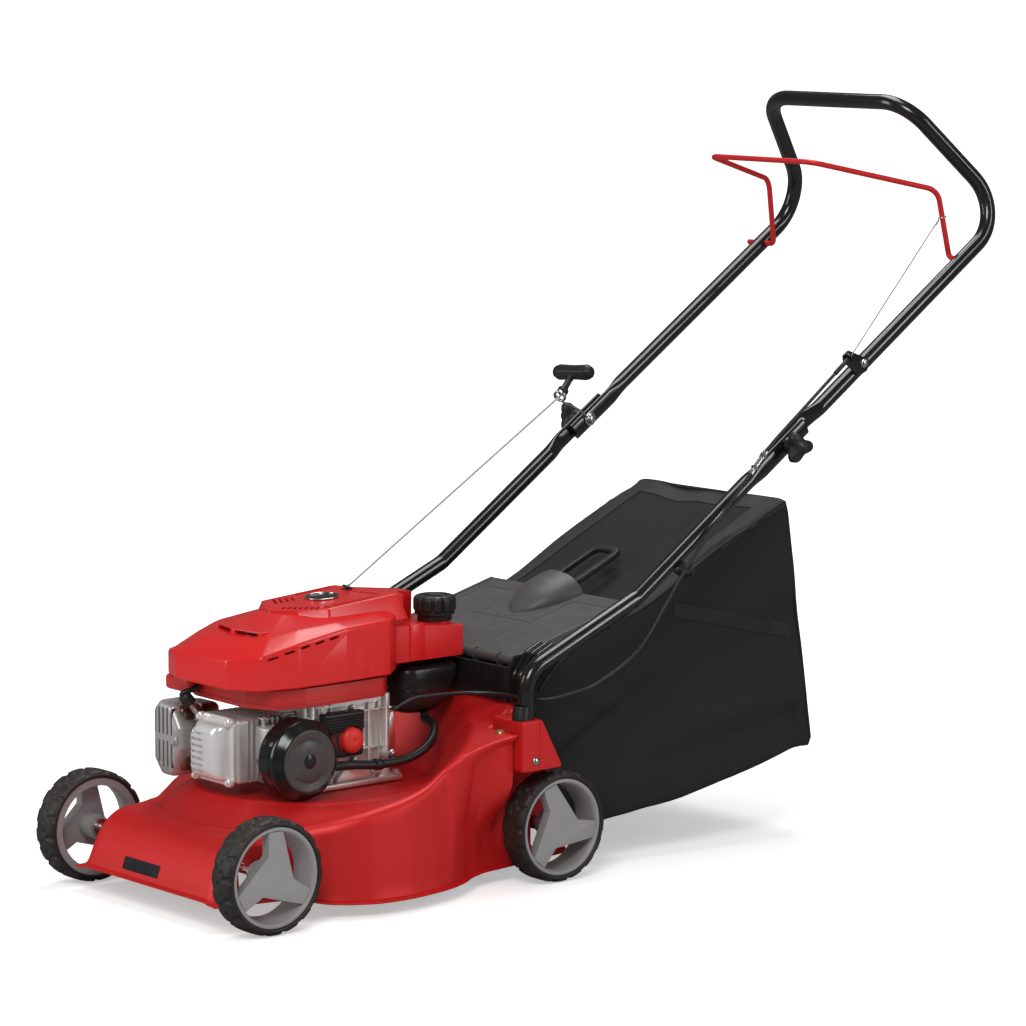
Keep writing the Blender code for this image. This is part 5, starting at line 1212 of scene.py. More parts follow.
@dataclass
class Handle:
    """Steel-tube handle that folds, with its bail, bolts and wing knobs.

    Attributes:
        radius: Tube radius.
        half: Half the distance between the tubes.
        fold: Folding axis, as back and z.
        slope: Slope of the straight runs.
        lap_thickness: Thickness of the pressed-flat ends.
        lap_stretch: How much wider pressing makes them.
        socket_tube_x: Where the lower tubes stand in their sockets.
        elbow: Corner of the loop below the grip bar.
        top_corner: Corner at the end of the grip bar.
        upper_lap_x: Middle of the loop's flat end.
        lower_lap_x: Middle of the lower tube's flat end.
        bolt_radius: Radius of the folding bolts.
        bail_radius: Radius of the bail's rod.
        bail_route: Corners of the bail on the left side.
        bail_end: Where the bail's end stands out on the right.
        knob_x: Inner end of a knob.
    """

    radius: float = 0.011
    half: float = 0.2085
    socket_tube_x: float = 0.2075
    fold: Pair = (0.878, 0.554)
    slope: float = math.radians(34.5)
    elbow: Place = (0.2085, 1.3150, 0.8544)
    top_corner: Place = (0.1422, 1.1728, 1.0136)
    lap_thickness: float = 0.0100
    lap_stretch: float = 1.14
    upper_lap_x: float = 0.2031
    lower_lap_x: float = 0.2135
    bolt_radius: float = 0.004
    bail_radius: float = 0.004
    bail_route: Sequence[Place] = (
        (0.2183, 1.226, 0.793), (0.182, 1.226, 0.793), (0.175, 1.208, 0.890), (0.1050, 1.0270, 0.933))
    bail_end: float = -0.2360
    knob_x: float = 0.2188

    def along(self, distance: float) -> Vector:
        """Return the point of the left tube's axis at a distance from the folding bolt."""
        back, z = self.fold
        return at(self.half, back + distance * math.cos(self.slope), z + distance * math.sin(self.slope))

    def press_flat(self, piece: Piece, lap_x: float, flatness: Callable[[float], float]) -> Piece:
        """Press a tube's end flat where flatness, read along the tube, is 1."""
        pivot = at(0.0, *self.fold)
        along = Vector((0.0, math.cos(self.slope), math.sin(self.slope)))
        across = Vector((0.0, -along.z, along.y))
        squash = self.lap_thickness / (2 * self.radius)
        for vertex in piece.data.vertices:
            offset = vertex.co - pivot
            weight = flatness(offset.dot(along))
            if weight > 0.0:
                side = math.copysign(1.0, vertex.co.x)
                pressed = side * lap_x + (vertex.co.x - side * self.half) * squash
                vertex.co.x = mix(vertex.co.x, pressed, weight)
                vertex.co += across * (offset.dot(across) * (self.lap_stretch - 1.0) * weight)
        return piece

    def hole(self, side: int, back: float, z: float, radius: float, reach: float = 0.235) -> Piece:
        """Return a cutter across one tube, or part of the way with a smaller reach."""
        return rod("hole", at(side * 0.185, back, z), at(side * reach, back, z), radius, sides=24, edge=0.0)

    def lower(self) -> Piece:
        """Build the left lower tube."""
        foot = at(self.socket_tube_x, mix(0.4156, 0.4172, 0.004 / 0.085), 0.1640)
        bend = at(self.socket_tube_x, mix(0.4156, 0.4172, 0.127 / 0.085), 0.2870)
        corners = [foot, bend, at(self.half, 0.6093, 0.3678), self.along(-0.085)]
        route = bent_route(corners, (0.040, 0.040), steps=14)
        route += [self.along(-0.085 + 0.128 * step / 32) for step in range(1, 33)]
        piece = tube("lower_tube", route, self.radius, resolution=10)
        return self.press_flat(piece, self.lower_lap_x, lambda s: smooth((s + 0.085) / 0.035))

    def upper(self) -> Piece:
        """Build the folding loop in one piece."""
        start = [self.along(-0.0316 + 0.1166 * step / 30) for step in range(30)]
        flip = Matrix.Diagonal((-1.0, 1.0, 1.0))
        elbow, top = at(*self.elbow), at(*self.top_corner)
        corners = [self.along(0.085), elbow, top, flip @ top, flip @ elbow, flip @ self.along(0.085)]
        route = start + bent_route(corners, (0.065, 0.060, 0.060, 0.065), steps=18)
        route += [flip @ point for point in reversed(start)]
        piece = tube("upper_loop", route, self.radius, resolution=10)
        piece = self.press_flat(piece, self.upper_lap_x, lambda s: smooth((0.085 - s) / 0.035))
        _, bail_back, bail_z = self.bail_route[0]
        gap = self.bail_radius + 0.0004
        return cut(piece, self.hole(-1, bail_back, bail_z, gap), self.hole(1, bail_back, bail_z, gap, 0.2189))

    def bail(self) -> Piece:
        """Build the bent rod that the operator holds against the grip bar."""
        half = [at(*point) for point in self.bail_route]
        flip = Matrix.Diagonal((-1.0, 1.0, 1.0))
        corners = half + [flip @ point for point in reversed(half[1:])] + [at(self.bail_end,
                                                                              *self.bail_route[0][1:])]
        route = bent_route(corners, (0.008, 0.025, 0.025, 0.025, 0.025, 0.008), steps=10)
        return tube("bail_rod", route, self.bail_radius, resolution=6)

    def bolt(self, side: int, head_x: float) -> Piece:
        """Build a coach bolt with a domed head inside the handle."""
        axis = (side, 0, 0)
        dome = [(0.0, -0.0046), (0.0030, -0.0044), (0.0056, -0.0036), (0.0074, -0.0022), (0.0080, -0.0008),
                (0.0080, 0.0), (0.0, 0.0)]
        head = turned("head", dome, at(side * head_x, *self.fold), axis, steps=40)
        shank = rod("shank", at(side * (head_x - 0.001), *self.fold), at(side * 0.2390, *self.fold),
                    self.bolt_radius, sides=32)
        threads = [turned("thread", [(0.0036, -0.0004), (0.0041, 0.0), (0.0036, 0.0004)],
                          at(side * (0.2375 - 0.001 * i), *self.fold), axis, steps=24,
                          ring=True) for i in range(4)]
        return gather("coach_bolt", [head, shank, *threads])

    def knob(self, side: int) -> Piece:
        """Build a three-lobed knob with a waisted hub."""
        rows = ((0.0005, 0.74, 0.0), (0.0020, 0.80, 0.0), (0.0100, 0.82, 0.15), (0.0130, 0.90, 0.6),
                (0.0145, 0.96, 0.92), (0.0165, 1.0, 1.0), (0.0250, 1.0, 1.0), (0.0270, 0.97, 0.95),
                (0.0282, 0.90, 0.80), (0.0290, 0.80, 0.5), (0.0330, 0.68, 0.15), (0.0365, 0.58, 0.0),
                (0.0380, 0.46, 0.0), (0.0384, 0.30, 0.0))

        def reach(angle: float, scale: float, swell: float) -> float:
            lobe = 0.5 + 0.5 * math.cos(3 * angle)
            return (0.0105 + (0.0108 * lobe ** 1.3) * swell) * scale + 0.0020 * scale

        def place(height: float, u: float, v: float) -> Vector:
            return at(side * (self.knob_x + height), self.fold[0] + u, self.fold[1] + v)

        piece = lobed("knob", rows, 72, reach, place)
        bore = rod("bore", at(side * 0.2100, *self.fold), at(side * 0.2400, *self.fold),
                   self.bolt_radius + BORE_GAP, sides=24, edge=0.0)
        return cut(piece, bore)

    def build(self) -> None:
        """Build and dress the handle's pieces."""
        lower = cut(self.lower(), self.hole(1, *self.fold, self.bolt_radius + BORE_GAP))
        dress(copied(lower, "lower_tube_right", MIRROR), "chassis", TUBE_PAINT, "lower_handle_right")
        lower.name = "lower_tube_left"
        dress(lower, "chassis", TUBE_PAINT, "lower_handle_left")
        holes = [self.hole(side, *self.fold, self.bolt_radius + BORE_GAP) for side in (-1, 1)]
        dress(cut(self.upper(), *holes), "handle", TUBE_PAINT, "upper_handle")
        dress(self.bail(), "bail", BAIL_PAINT, "bail")
        for name, side, head_x in (("left", 1, 0.1978), ("right", -1, 0.1959)):
            dress(self.bolt(side, head_x), "chassis", PLATED,
                  "handle_bolt_" + name).name = "coach_bolt_" + name
            dress(self.knob(side), "knob_" + name, BLACK_MOULDING, "wing_knob_" + name).name = "knob_" + name
        LOG.info("handle, bail, bolts and knobs built")


@dataclass
class GrassBag:
    """Cloth bag that hangs from its mouth frame, with its folds.

    Attributes:
        stations: Rows of upper edge, lower edge (each back and z), half width above and below, corner radius.
        cloth: Thickness of the cloth.
        sag: Depth of the broad hollows between seams.
    """

    stations: Sequence[tuple[Pair, Pair, float, float, float]] = (
        ((0.4535, 0.2330), (0.5330, 0.0440), 0.1540, 0.1540, 0.016),
        ((0.4780, 0.2580), (0.5500, 0.0450), 0.1550, 0.1570, 0.016),
        ((0.5600, 0.3050), (0.6000, 0.0540), 0.1500, 0.1680, 0.014),
        ((0.6560, 0.3385), (0.7000, 0.0700), 0.1480, 0.1800, 0.012),
        ((0.7900, 0.4035), (0.8200, 0.0950), 0.1490, 0.1920, 0.011),
        ((0.9000, 0.4545), (0.9140, 0.1190), 0.1520, 0.1990, 0.010),
        ((0.9350, 0.4670), (0.9435, 0.1225), 0.1530, 0.1998, 0.009),
        ((0.9385, 0.4610), (0.9475, 0.1300), 0.1480, 0.1930, 0.012))
    cloth: float = 0.0014
    sag: float = 0.007

    def station(self, place: float) -> list[float]:
        """Return the six sizes and the radius of a station between the given ones."""
        rows = [[*top, *low, top_half, low_half, radius] for top, low, top_half, low_half,
                radius in self.stations]
        return [follow([(float(i), row[column]) for i, row in enumerate(rows)], place) for column in range(7)]

    def ring(self, place: float, sides: int = 200) -> list[Vector]:
        """Return one loop round the bag, with points spread evenly along its outline."""
        top_back, top_z, low_back, low_z, top_half, low_half, radius = self.station(place)
        outline = round_box(2.0, 2.0, min(0.45, 2 * radius / (top_z - low_z)), steps=6)
        corners = []
        for u, v in [*outline, outline[0]]:
            share = (v + 1.0) / 2.0
            half = mix(low_half, top_half, share) + 0.004 * math.sin(math.pi * share)
            corners.append(at(u * half, mix(low_back, top_back, share), mix(low_z, top_z, share)))
        lengths = [0.0]
        for start, end in zip(corners, corners[1:]):
            lengths.append(lengths[-1] + (end - start).length)
        ring = []
        leg = 0
        for step in range(sides):
            target = lengths[-1] * step / sides
            while lengths[leg + 1] < target:
                leg += 1
            share = (target - lengths[leg]) / (lengths[leg + 1] - lengths[leg])
            ring.append(corners[leg].lerp(corners[leg + 1], share))
        return ring

    def fold_depth(self, point: Vector, normal: Vector) -> float:
        """Return how far the cloth moves out (or in, below 0) at a point."""
        back = point.y - FRONT_AXLE_Y
        x, z = point.x, point.z
        share = smooth((back - 0.47) / 0.06) * smooth((0.945 - back) / 0.02)
        side = smooth((abs(normal.x) - 0.6) / 0.3)
        upper = smooth((normal.z - 0.5) / 0.3)
        depth = 0.0
        if side > 0.0:
            mirror = math.copysign(1.0, x)
            slant = z - 0.12 - 0.42 * (back - 0.60)
            depth -= side * self.sag * bump(back, 0.74, 0.16) * bump(z, 0.26, 0.10)
            depth += side * 0.0060 * math.sin(38.0 * slant + 3.0 * mirror) * bump(slant, 0.03, 0.09)
            depth += side * 0.0060 * bump(z - 0.235 + 0.30 * (back - 0.55), 0.0,
                                          0.010) * smooth((0.70 - back) / 0.14)
            depth -= side * 0.0075 * bump(z - 0.165 - 0.55 * (back - 0.55), 0.0,
                                          0.014) * smooth((0.78 - back) / 0.15)
            depth += side * 0.0030 * bump(back - 0.905 + 0.16 * (z - 0.25), 0.0, 0.007)
            depth -= side * 0.0070 * bump(z - 0.150 - 0.16 * (back - 0.80), 0.0,
                                          0.012) * smooth((back - 0.62) / 0.1)
            depth += side * 0.0040 * bump(z - 0.185 - 0.10 * (back - 0.80), 0.0,
                                          0.010) * smooth((back - 0.66) / 0.1)
            depth -= side * 0.0050 * bump(back - 0.60 - 0.35 * (z - 0.10), 0.0,
                                          0.010) * smooth((0.19 - z) / 0.06)
            depth += side * 0.0040 * bump(back - 0.80 + 0.40 * (z - 0.12), 0.0,
                                          0.012) * smooth((0.20 - z) / 0.06)
        if upper > 0.0:
            depth -= upper * 0.0060 * (1.0 - (x / 0.16) ** 2) * smooth((back - 0.60) / 0.1)
            depth += upper * 0.0016 * math.sin(60.0 * x + 22.0 * back)
        fine = noise.noise(Vector((x * 9.0, back * 11.0, z * 9.0)))
        tiny = noise.noise(Vector((x * 30.0, back * 26.0 + 4.0, z * 30.0)))
        return share * (depth + 0.0040 * fine + 0.0012 * tiny)

    def skin(self) -> Piece:
        """Build the cloth body with its folds."""
        count = len(self.stations) - 1
        steps = 130
        rings = [self.ring(count * step / steps) for step in range(steps + 1)]
        piece = loft("bag_skin", rings, cap_end=True)
        with editing(piece):
            bpy.ops.mesh.select_all(action="SELECT")
            bpy.ops.mesh.normals_make_consistent(inside=False)
        middle = at(0.0, 0.75, 0.25)
        if sum((face.center - middle).dot(face.normal) * face.area for face in piece.data.polygons) < 0:
            piece.data.flip_normals()
        normals = [Vector(vertex.normal) for vertex in piece.data.vertices]
        for vertex, normal in zip(piece.data.vertices, normals):
            vertex.co += normal * self.fold_depth(vertex.co, normal)
        with editing(piece):
            bpy.ops.mesh.select_all(action="SELECT")
            bpy.ops.uv.cube_project(cube_size=1.0, correct_aspect=False, scale_to_bounds=False)
        piece.data.uv_layers[0].name = "cloth"
        return use_modifier(piece, "SOLIDIFY", thickness=self.cloth, offset=-1.0)

    def build(self) -> None:
        """Build and dress the bag."""
        dress(self.skin(), "grass_bag", BAG_CLOTH, "bag", angle=60.0)
        LOG.info("grass bag built")


@dataclass(frozen=True)
class Lamp:
    """One soft area lamp, aimed at a point.

    Attributes:
        name: Name of the lamp.
        place: Where it stands.
        target: The point that it looks at.
        size: Width and height.
        power: Power in watts.
    """

    name: str
    place: Place
    target: Place
    size: Pair
    power: float

    def build(self) -> None:
        """Add the lamp to the scene."""
        data = bpy.data.lights.new(self.name, "AREA")
        data.shape = "RECTANGLE"
        data.size, data.size_y = self.size
        data.energy = self.power
        lamp = bpy.data.objects.new(self.name, data)
        lamp.location = self.place
        lamp.rotation_euler = (Vector(self.target) - Vector(self.place)).to_track_quat("-Z", "Y").to_euler()
        bpy.context.scene.collection.objects.link(lamp)


@dataclass
class Studio:
    """Pale floor, even white surround, soft lamps and the camera.

    Attributes:
        camera_place: Where the camera stands.
        camera_turn: Its Euler angles.
        lens: Focal length in millimetres.
        sensor: Sensor width in millimetres.
        lamps: The lamps.
    """

    camera_place: Place = (4.30904, -3.62471, 1.24229)
    camera_turn: Place = (math.pi / 2 - 0.13789, 0.0, 0.87712)
    lens: float = 144.86
    sensor: float = 36.0
    lamps: Sequence[Lamp] = (
        Lamp("key_lamp", (2.2, -2.6, 3.0), (0.0, 0.0, 0.3), (1.4, 1.6), 70.0),
        Lamp("side_lamp", (3.6, 1.8, 1.6), (0.0, 0.1, 0.3), (0.5, 2.6), 30.0),
        Lamp("front_lamp", (-1.8, -3.4, 1.5), (0.0, -0.3, 0.2), (1.2, 2.2), 36.0),
        Lamp("top_lamp", (-0.6, 0.6, 3.2), (0.0, 0.0, 0.2), (1.2, 2.6), 46.0))

    def floor(self) -> None:
        """Lay the floor, which is white to the camera and keeps its shadow."""
        bpy.ops.object.select_all(action="DESELECT")
        bpy.ops.mesh.primitive_plane_add(size=60.0, location=(0, 0, 0))
        floor = bpy.context.object
        floor.name = "studio_floor"
        material = bpy.data.materials.new("floor_paint")
        material.use_nodes = True
        shader = material.node_tree.nodes["Principled BSDF"]
        shader.inputs["Base Color"].default_value = (0.90, 0.90, 0.90, 1.0)
        shader.inputs["Roughness"].default_value = 0.85
        shader.inputs["Specular IOR Level"].default_value = 0.1
        sketch = Sketch(material.node_tree)
        distance = sketch.node("VectorMath", operation="LENGTH")
        sketch.join(sketch.node("TexCoord").outputs["Object"], distance.inputs[0])
        glow = sketch.between(distance.outputs["Value"], 0.75, 1.9, 0.42, 1.0)
        path = sketch.node("LightPath")
        sketch.join(sketch.blend(path.outputs["Is Glossy Ray"], (0.90, 0.90, 0.90), (0.22, 0.22, 0.22)),
                    shader.inputs["Base Color"])
        seen = sketch.math("MULTIPLY", glow, path.outputs["Is Camera Ray"])
        shader.inputs["Emission Color"].default_value = (1.0, 1.0, 1.0, 1.0)
        sketch.join(seen, shader.inputs["Emission Strength"])
        floor.data.materials.append(material)

    def surround(self) -> None:
        """Set the world to an even white that looks brighter to the camera."""
        world = bpy.data.worlds.new("white_surround")
        world.use_nodes = True
        sketch = Sketch(world.node_tree)
        background = world.node_tree.nodes["Background"]
        background.inputs["Color"].default_value = (1.0, 1.0, 1.0, 1.0)
        path = sketch.node("LightPath")
        around = sketch.between(path.outputs["Is Glossy Ray"], 0.0, 1.0, 0.32, 0.11)
        hidden = sketch.math("MULTIPLY", around, sketch.math("SUBTRACT", 1.0, path.outputs["Is Camera Ray"]))
        seen = sketch.math("MULTIPLY", path.outputs["Is Camera Ray"], 1.05)
        sketch.join(sketch.math("ADD", hidden, seen), background.inputs["Strength"])
        bpy.context.scene.world = world

    def camera(self) -> None:
        """Place the camera and make it the scene's own."""
        data = bpy.data.cameras.new("camera")
        data.lens = self.lens
        data.sensor_width = self.sensor
        data.clip_end = 200.0
        camera = bpy.data.objects.new("camera", data)
        camera.location = self.camera_place
        camera.rotation_euler = self.camera_turn
        bpy.context.scene.collection.objects.link(camera)
        bpy.context.scene.camera = camera

    def build(self) -> None:
        """Build the floor, surround, lamps and camera."""
        self.camera()
        self.floor()
        self.surround()
        for lamp in self.lamps:
            lamp.build()
        bpy.context.scene.view_settings.view_transform = "Standard"
        LOG.info("studio built")


@dataclass
class Engine:
    """One-cylinder petrol engine: castings, exhaust, plug, carburettor, filter and their small parts.

    Attributes:
        shaft_back: The crankshaft's axis behind the front axle.
        cylinder_z: Height of the cylinder's axis.
        flange_z: Height of the face that sits on the deck.
        centre_x: Middle of the cylinder casting.
        fins: Number of grooves between the cooling fins.
        lever_pivot: The brake lever's pivot, as back and z.
        filler: The oil filler's axis, as back and z.
        oil_cap_x: Where the oil cap meets its neck.
        filter_at: The filter's axis, as back and z.
        filter_radius: Radius of its drum.
        primer_at: The primer's axis, as back and z.
        plug_base: Where the spark plug screws in.
        plug_axis: Direction of the plug.
    """

    shaft_back: float = 0.225
    cylinder_z: float = 0.199
    flange_z: float = 0.1385
    centre_x: float = -0.002
    fins: int = 7
    lever_pivot: Pair = (0.285, 0.178)
    filler: Pair = (0.250, 0.190)
    oil_cap_x: float = -0.0803
    filter_at: Pair = (0.127, 0.193)
    filter_radius: float = 0.053
    primer_at: Pair = (0.2195, 0.205)
    plug_base: Place = (-0.0490, 0.0840, 0.2240)
    plug_axis: Place = (-0.30, -0.52, 0.80)

    def crankcase(self) -> Piece:
        """Build the crankcase with its foot, ribs, bosses, filler neck and lever post."""
        low = self.flange_z
        body = block("crankcase", (-0.070, 0.1502, low), (0.070, 0.300, 0.2575), edge=0.008, segments=5)
        foot = block("foot", (-0.080, 0.1504, low + 0.0002), (0.080, 0.312, low + 0.009), edge=0.003,
                     segments=3)
        parts = [foot]
        for back in (0.176, 0.196, 0.258, 0.2745):
            parts.append(block("rib", (-0.0745, back, low + 0.004), (0.0745, back + 0.0030, 0.2480),
                               edge=0.0010))
        for z in (0.186, 0.236):
            parts.append(block("belt", (-0.0740, 0.1530, z), (0.0740, 0.2970, z + 0.0032), edge=0.0010))
        for x, back in ((0.066, 0.168), (0.066, 0.290), (-0.066, 0.168), (-0.066, 0.290)):
            parts.append(rod("boss", at(x, back, low + 0.002), at(x, back, 0.2570), 0.0085, sides=28,
                             edge=0.001))
        slope = [(0.200, 0.1480), (0.262, 0.1480), (0.236, 0.1800)]
        parts.append(plate("gusset", [rounded(slope, 0.003)], 0.006, facing_x(0.0740), edge=0.001))
        pivot = at(0.060, *self.lever_pivot)
        parts.append(rod("post", pivot, at(0.0877, *self.lever_pivot), 0.0065, edge=0.0008))
        parts.append(rod("pin", pivot, at(0.0925, *self.lever_pivot), 0.0030, edge=0.0004))
        parts.append(rod("filler", at(-0.060, *self.filler), at(-0.080, *self.filler), 0.0135, edge=0.0008))
        combine(body, parts, "UNION")
        chamber = rod("chamber", at(0, self.shaft_back, 0.172), at(0, self.shaft_back, 0.226), 0.048,
                      sides=48)
        passage = block("passage", (-0.0305, 0.140, 0.1880), (0.0305, 0.205, 0.2100), edge=0.0)
        shaft = rod("shaft", at(0, self.shaft_back, 0.130), at(0, self.shaft_back, 0.270), 0.0126, edge=0.0)
        neck = rod("neck", at(-0.0505, *self.filler), at(-0.090, *self.filler), 0.0090, edge=0.0)
        cut(body, chamber, passage, shaft, neck)
        soften(body, 0.0007, 2, 50.0)
        extras = []
        for x, back, z in ((0.0745, 0.1620, 0.165), (0.0745, 0.2260, 0.1640), (0.0745, 0.2480, 0.2250),
                           (0.0745, 0.2700, 0.1560), (0.0745, 0.1830, 0.2420), (0.0745, 0.2350, 0.2420)):
            extras.append(rod("stud", at(x - 0.006, back, z), at(x, back, z), 0.0062, sides=24, edge=0.0008))
            extras.append(hex_bolt("stud_head", at(x, back, z), (1, 0, 0), 0.0036, 0.0030))
        for x, back in ((0.074, 0.158), (0.074, 0.304), (-0.074, 0.158), (-0.074, 0.304)):
            extras.append(hex_bolt("foot_bolt", at(x, back, low + 0.009), (0, 0, 1), 0.0048, 0.0042))
        return gather("crankcase_casting", [body, *extras])

    def oil_cap(self) -> Piece:
        """Build the oil filler's ribbed cap."""
        rows = ((-0.0120, 0.0086, 0.0), (0.0, 0.0086, 0.0), (0.0001, 0.0160, 0.0), (0.0008, 0.0165, 0.6),
                (0.0085, 0.0165, 1.0), (0.0100, 0.0158, 0.6), (0.0110, 0.0145, 0.0), (0.0112, 0.0060, 0.0))

        def reach(angle: float, radius: float, rib: float) -> float:
            return radius - 0.0011 * rib * smooth(0.5 + 1.5 * math.cos(16 * angle))

        def place(height: float, u: float, v: float) -> Vector:
            return at(self.oil_cap_x - height, self.filler[0] + u, self.filler[1] + v)

        return lobed("oil_filler_cap", rows, 96, reach, place)

    def cylinder(self) -> Piece:
        """Build the finned cylinder and head with the plug's boss."""
        x, z = self.centre_x, self.cylinder_z
        body = block("cylinder", (x - 0.043, 0.0705, z - 0.042), (x + 0.043, 0.1499, z + 0.042), edge=0.004,
                     segments=3)
        base, axis = at(*self.plug_base), Vector(self.plug_axis).normalized()
        combine(body, [rod("boss", base - axis * 0.0140, base + axis * 0.0070, 0.0110, edge=0.001)], "UNION")
        tools = []
        for number in range(self.fins):
            back = 0.0890 + number * 0.0500 / (self.fins - 1)
            outline = [round_box(0.100, 0.100, 0.010, (x, z), 3), round_box(0.070, 0.068, 0.012, (x, z), 3)]
            tools.append(plate("groove", outline, 0.0040, facing_y(back), edge=0.0003))
        tools.append(rod("bore", at(0, 0.0790, z), at(0, 0.160, z), 0.0285, sides=48, edge=0.0))
        tools.append(rod("thread", base - axis * 0.0018, base + axis * 0.020, 0.0064, sides=32, edge=0.0))
        tools.append(rod("room", base + axis * 0.0071, base + axis * 0.045, 0.0096, sides=32, edge=0.0))
        return cut(body, *tools)

    def rocker_cover(self) -> Piece:
        """Build the domed cover with its louvres, flange and corner bolts."""
        x, z = -0.0045, self.cylinder_z
        corners = [(x + 0.042, z + 0.036), (x + 0.036, z + 0.045), (x - 0.020, z + 0.045),
                   (x - 0.042, z + 0.026), (x - 0.042, z - 0.038), (x - 0.036, z - 0.045),
                   (x + 0.036, z - 0.045), (x + 0.042, z - 0.038)]
        flange = plate("flange", [rounded(corners, 0.006)], 0.0050, facing_y(0.0677), edge=0.0012, segments=2)
        rings = []
        for back, inset, pull in ((0.0670, 0.0, 0.0), (0.0600, 0.0012, 0.0), (0.0545, 0.0022, 0.0),
                                  (0.0512, 0.0042, 0.0), (0.0488, 0.0068, 0.2), (0.0472, 0.0098, 0.6),
                                  (0.0462, 0.0130, 1.0), (0.0456, 0.0170, 1.0), (0.0455, 0.0220, 1.0)):
            shape = [(x + 0.035 - inset, z + 0.038 - inset), (x - 0.014, z + 0.038 - inset),
                     (x - 0.036 + inset, z + 0.021), (x - 0.036 + inset, z - 0.040 + inset),
                     (x + 0.035 - inset, z - 0.040 + inset)]
            rings.append([at(u, back, v) for u, v in rounded(shape, 0.010 - 0.003 * pull, 6)])
        dome = loft("dome", rings, cap_start=True, cap_end=True)
        combine(flange, [dome], "UNION")
        tools = []
        for number in range(7):
            level = z - 0.0290 + number * 0.0084
            reach = 0.0015 if number < 6 else -0.004
            slot = round_box(0.0300, 0.0040, 0.0018, (x - 0.0150 + reach / 2, level), 3)
            tools.append(plate("louvre", [slot], 0.0120, facing_y(0.0470), edge=0.0004))
        cut(flange, *tools)
        soften(flange, 0.0006, 2, 40.0)
        extras = []
        for u, v in ((x + 0.0365, z + 0.0395), (x - 0.0255, z + 0.0400), (x - 0.0370, z - 0.0400),
                     (x + 0.0365, z - 0.0400)):
            extras.append(rod("ear", at(u, 0.0670, v), at(u, 0.0610, v), 0.0058, sides=28, edge=0.001))
            extras.append(hex_bolt("cover_bolt", at(u, 0.0610, v), (0, -1, 0), 0.0036, 0.0034))
        return gather("rocker_dome", [flange, *extras])

    def spark_plug(self) -> tuple[Piece, Piece]:
        """Build the plug and its boot with a short lead."""
        base, axis = at(*self.plug_base), Vector(self.plug_axis).normalized()
        shell = turned("plug_body", [(0.0, -0.0015), (0.0060, -0.0015), (0.0060, 0.0074), (0.0074, 0.0075),
                                     (0.0080, 0.0080), (0.0080, 0.0088), (0.0065, 0.0090), (0.0065, 0.0145),
                                     (0.0056, 0.0155), (0.0046, 0.0160), (0.0046, 0.0225), (0.0044, 0.0235),
                                     (0.0046, 0.0245), (0.0044, 0.0255), (0.0046, 0.0265), (0.0042, 0.0280),
                                     (0.0042, 0.0320), (0.0, 0.0320)], base, axis, steps=36)
        hexagon = plate("plug_hexagon", [circle(0.0088, 6)], 0.0056,
                        Matrix.Translation(base + axis * 0.0116) @ turn_to(axis), edge=0.0007)
        plug = gather("plug", [shell, hexagon])
        top = base + axis * 0.0323
        boot = turned("boot", [(0.0, 0.0), (0.0084, 0.0), (0.0090, 0.0008), (0.0092, 0.003), (0.0088, 0.0045),
                               (0.0090, 0.0060), (0.0086, 0.0075), (0.0088, 0.0090), (0.0084, 0.0140),
                               (0.0070, 0.0158), (0.0, 0.0162)], top, axis, steps=36)
        lead = tube("lead", smooth_route([top + axis * 0.010, top + axis * 0.018,
                                          top + Vector((0.004, 0.010, 0.022))], 8), 0.0038, resolution=6)
        return plug, gather("plug_boot", [boot, lead])

    def muffler(self) -> tuple[Piece, Piece]:
        """Build the muffler with its pipe, and the slotted guard in front of it."""
        can = block("can", (-0.1290, 0.0660, 0.1550), (-0.0790, 0.1320, 0.2430), edge=0.010, segments=6)
        seam = block("seam", (-0.1298, 0.0980, 0.1542), (-0.0782, 0.1000, 0.2438), edge=0.0009)
        pipe = rod("pipe", at(-0.090, 0.1190, 0.1900), at(-0.0453, 0.1190, 0.1900), 0.0110, edge=0.001)
        flange = plate("pipe_flange", [round_box(0.034, 0.026, 0.008)], 0.0035,
                       facing_x(-0.0480, 0.1190, 0.1900))
        muffler = gather("muffler_can", [can, seam, pipe, flange])
        low, high = (-0.1355, 0.148), (-0.0730, 0.251)
        front = [(low[0] + 0.004, low[1] + 0.018), (low[0] + 0.020, low[1]), (high[0] - 0.018, low[1]),
                 (high[0] - 0.0005, low[1] + 0.040), (high[0] - 0.0005, high[1] - 0.036),
                 (high[0] - 0.018, high[1] - 0.006), (low[0] + 0.016, high[1] - 0.002),
                 (low[0] + 0.004, high[1] - 0.014)]
        rings = []
        for back, shrink in ((0.1000, 0.0), (0.0680, 0.0), (0.0630, 0.0006), (0.0595, 0.0026),
                             (0.0578, 0.0052), (0.0570, 0.0085)):
            middle = (-0.1042, 0.1995)
            ring = []
            for u, v in rounded(front, 0.008, 5):
                length = math.hypot(u - middle[0], v - middle[1])
                factor = (length - shrink) / length
                ring.append(at(middle[0] + (u - middle[0]) * factor, back,
                               middle[1] + (v - middle[1]) * factor))
            rings.append(ring)
        guard = loft("guard", rings, cap_start=False, cap_end=True)
        use_modifier(guard, "SOLIDIFY", thickness=0.0015, offset=-1.0)
        tools = []
        for row_low in (0.1600, 0.2040):
            for number in range(5):
                u = -0.1262 + number * 0.0092
                slot = round_box(0.0034, 0.0360, 0.0016, (u, row_low + 0.018), 4)
                tools.append(plate("slot", [slot], 0.0120, facing_y(0.0590), edge=0.0002))
        cut(guard, *tools)
        bolt = hex_bolt("guard_bolt", at(-0.0815, 0.0572, 0.1975), (0, -1, 0), 0.0042, 0.0038)
        return muffler, gather("guard_sheet", [guard, bolt])

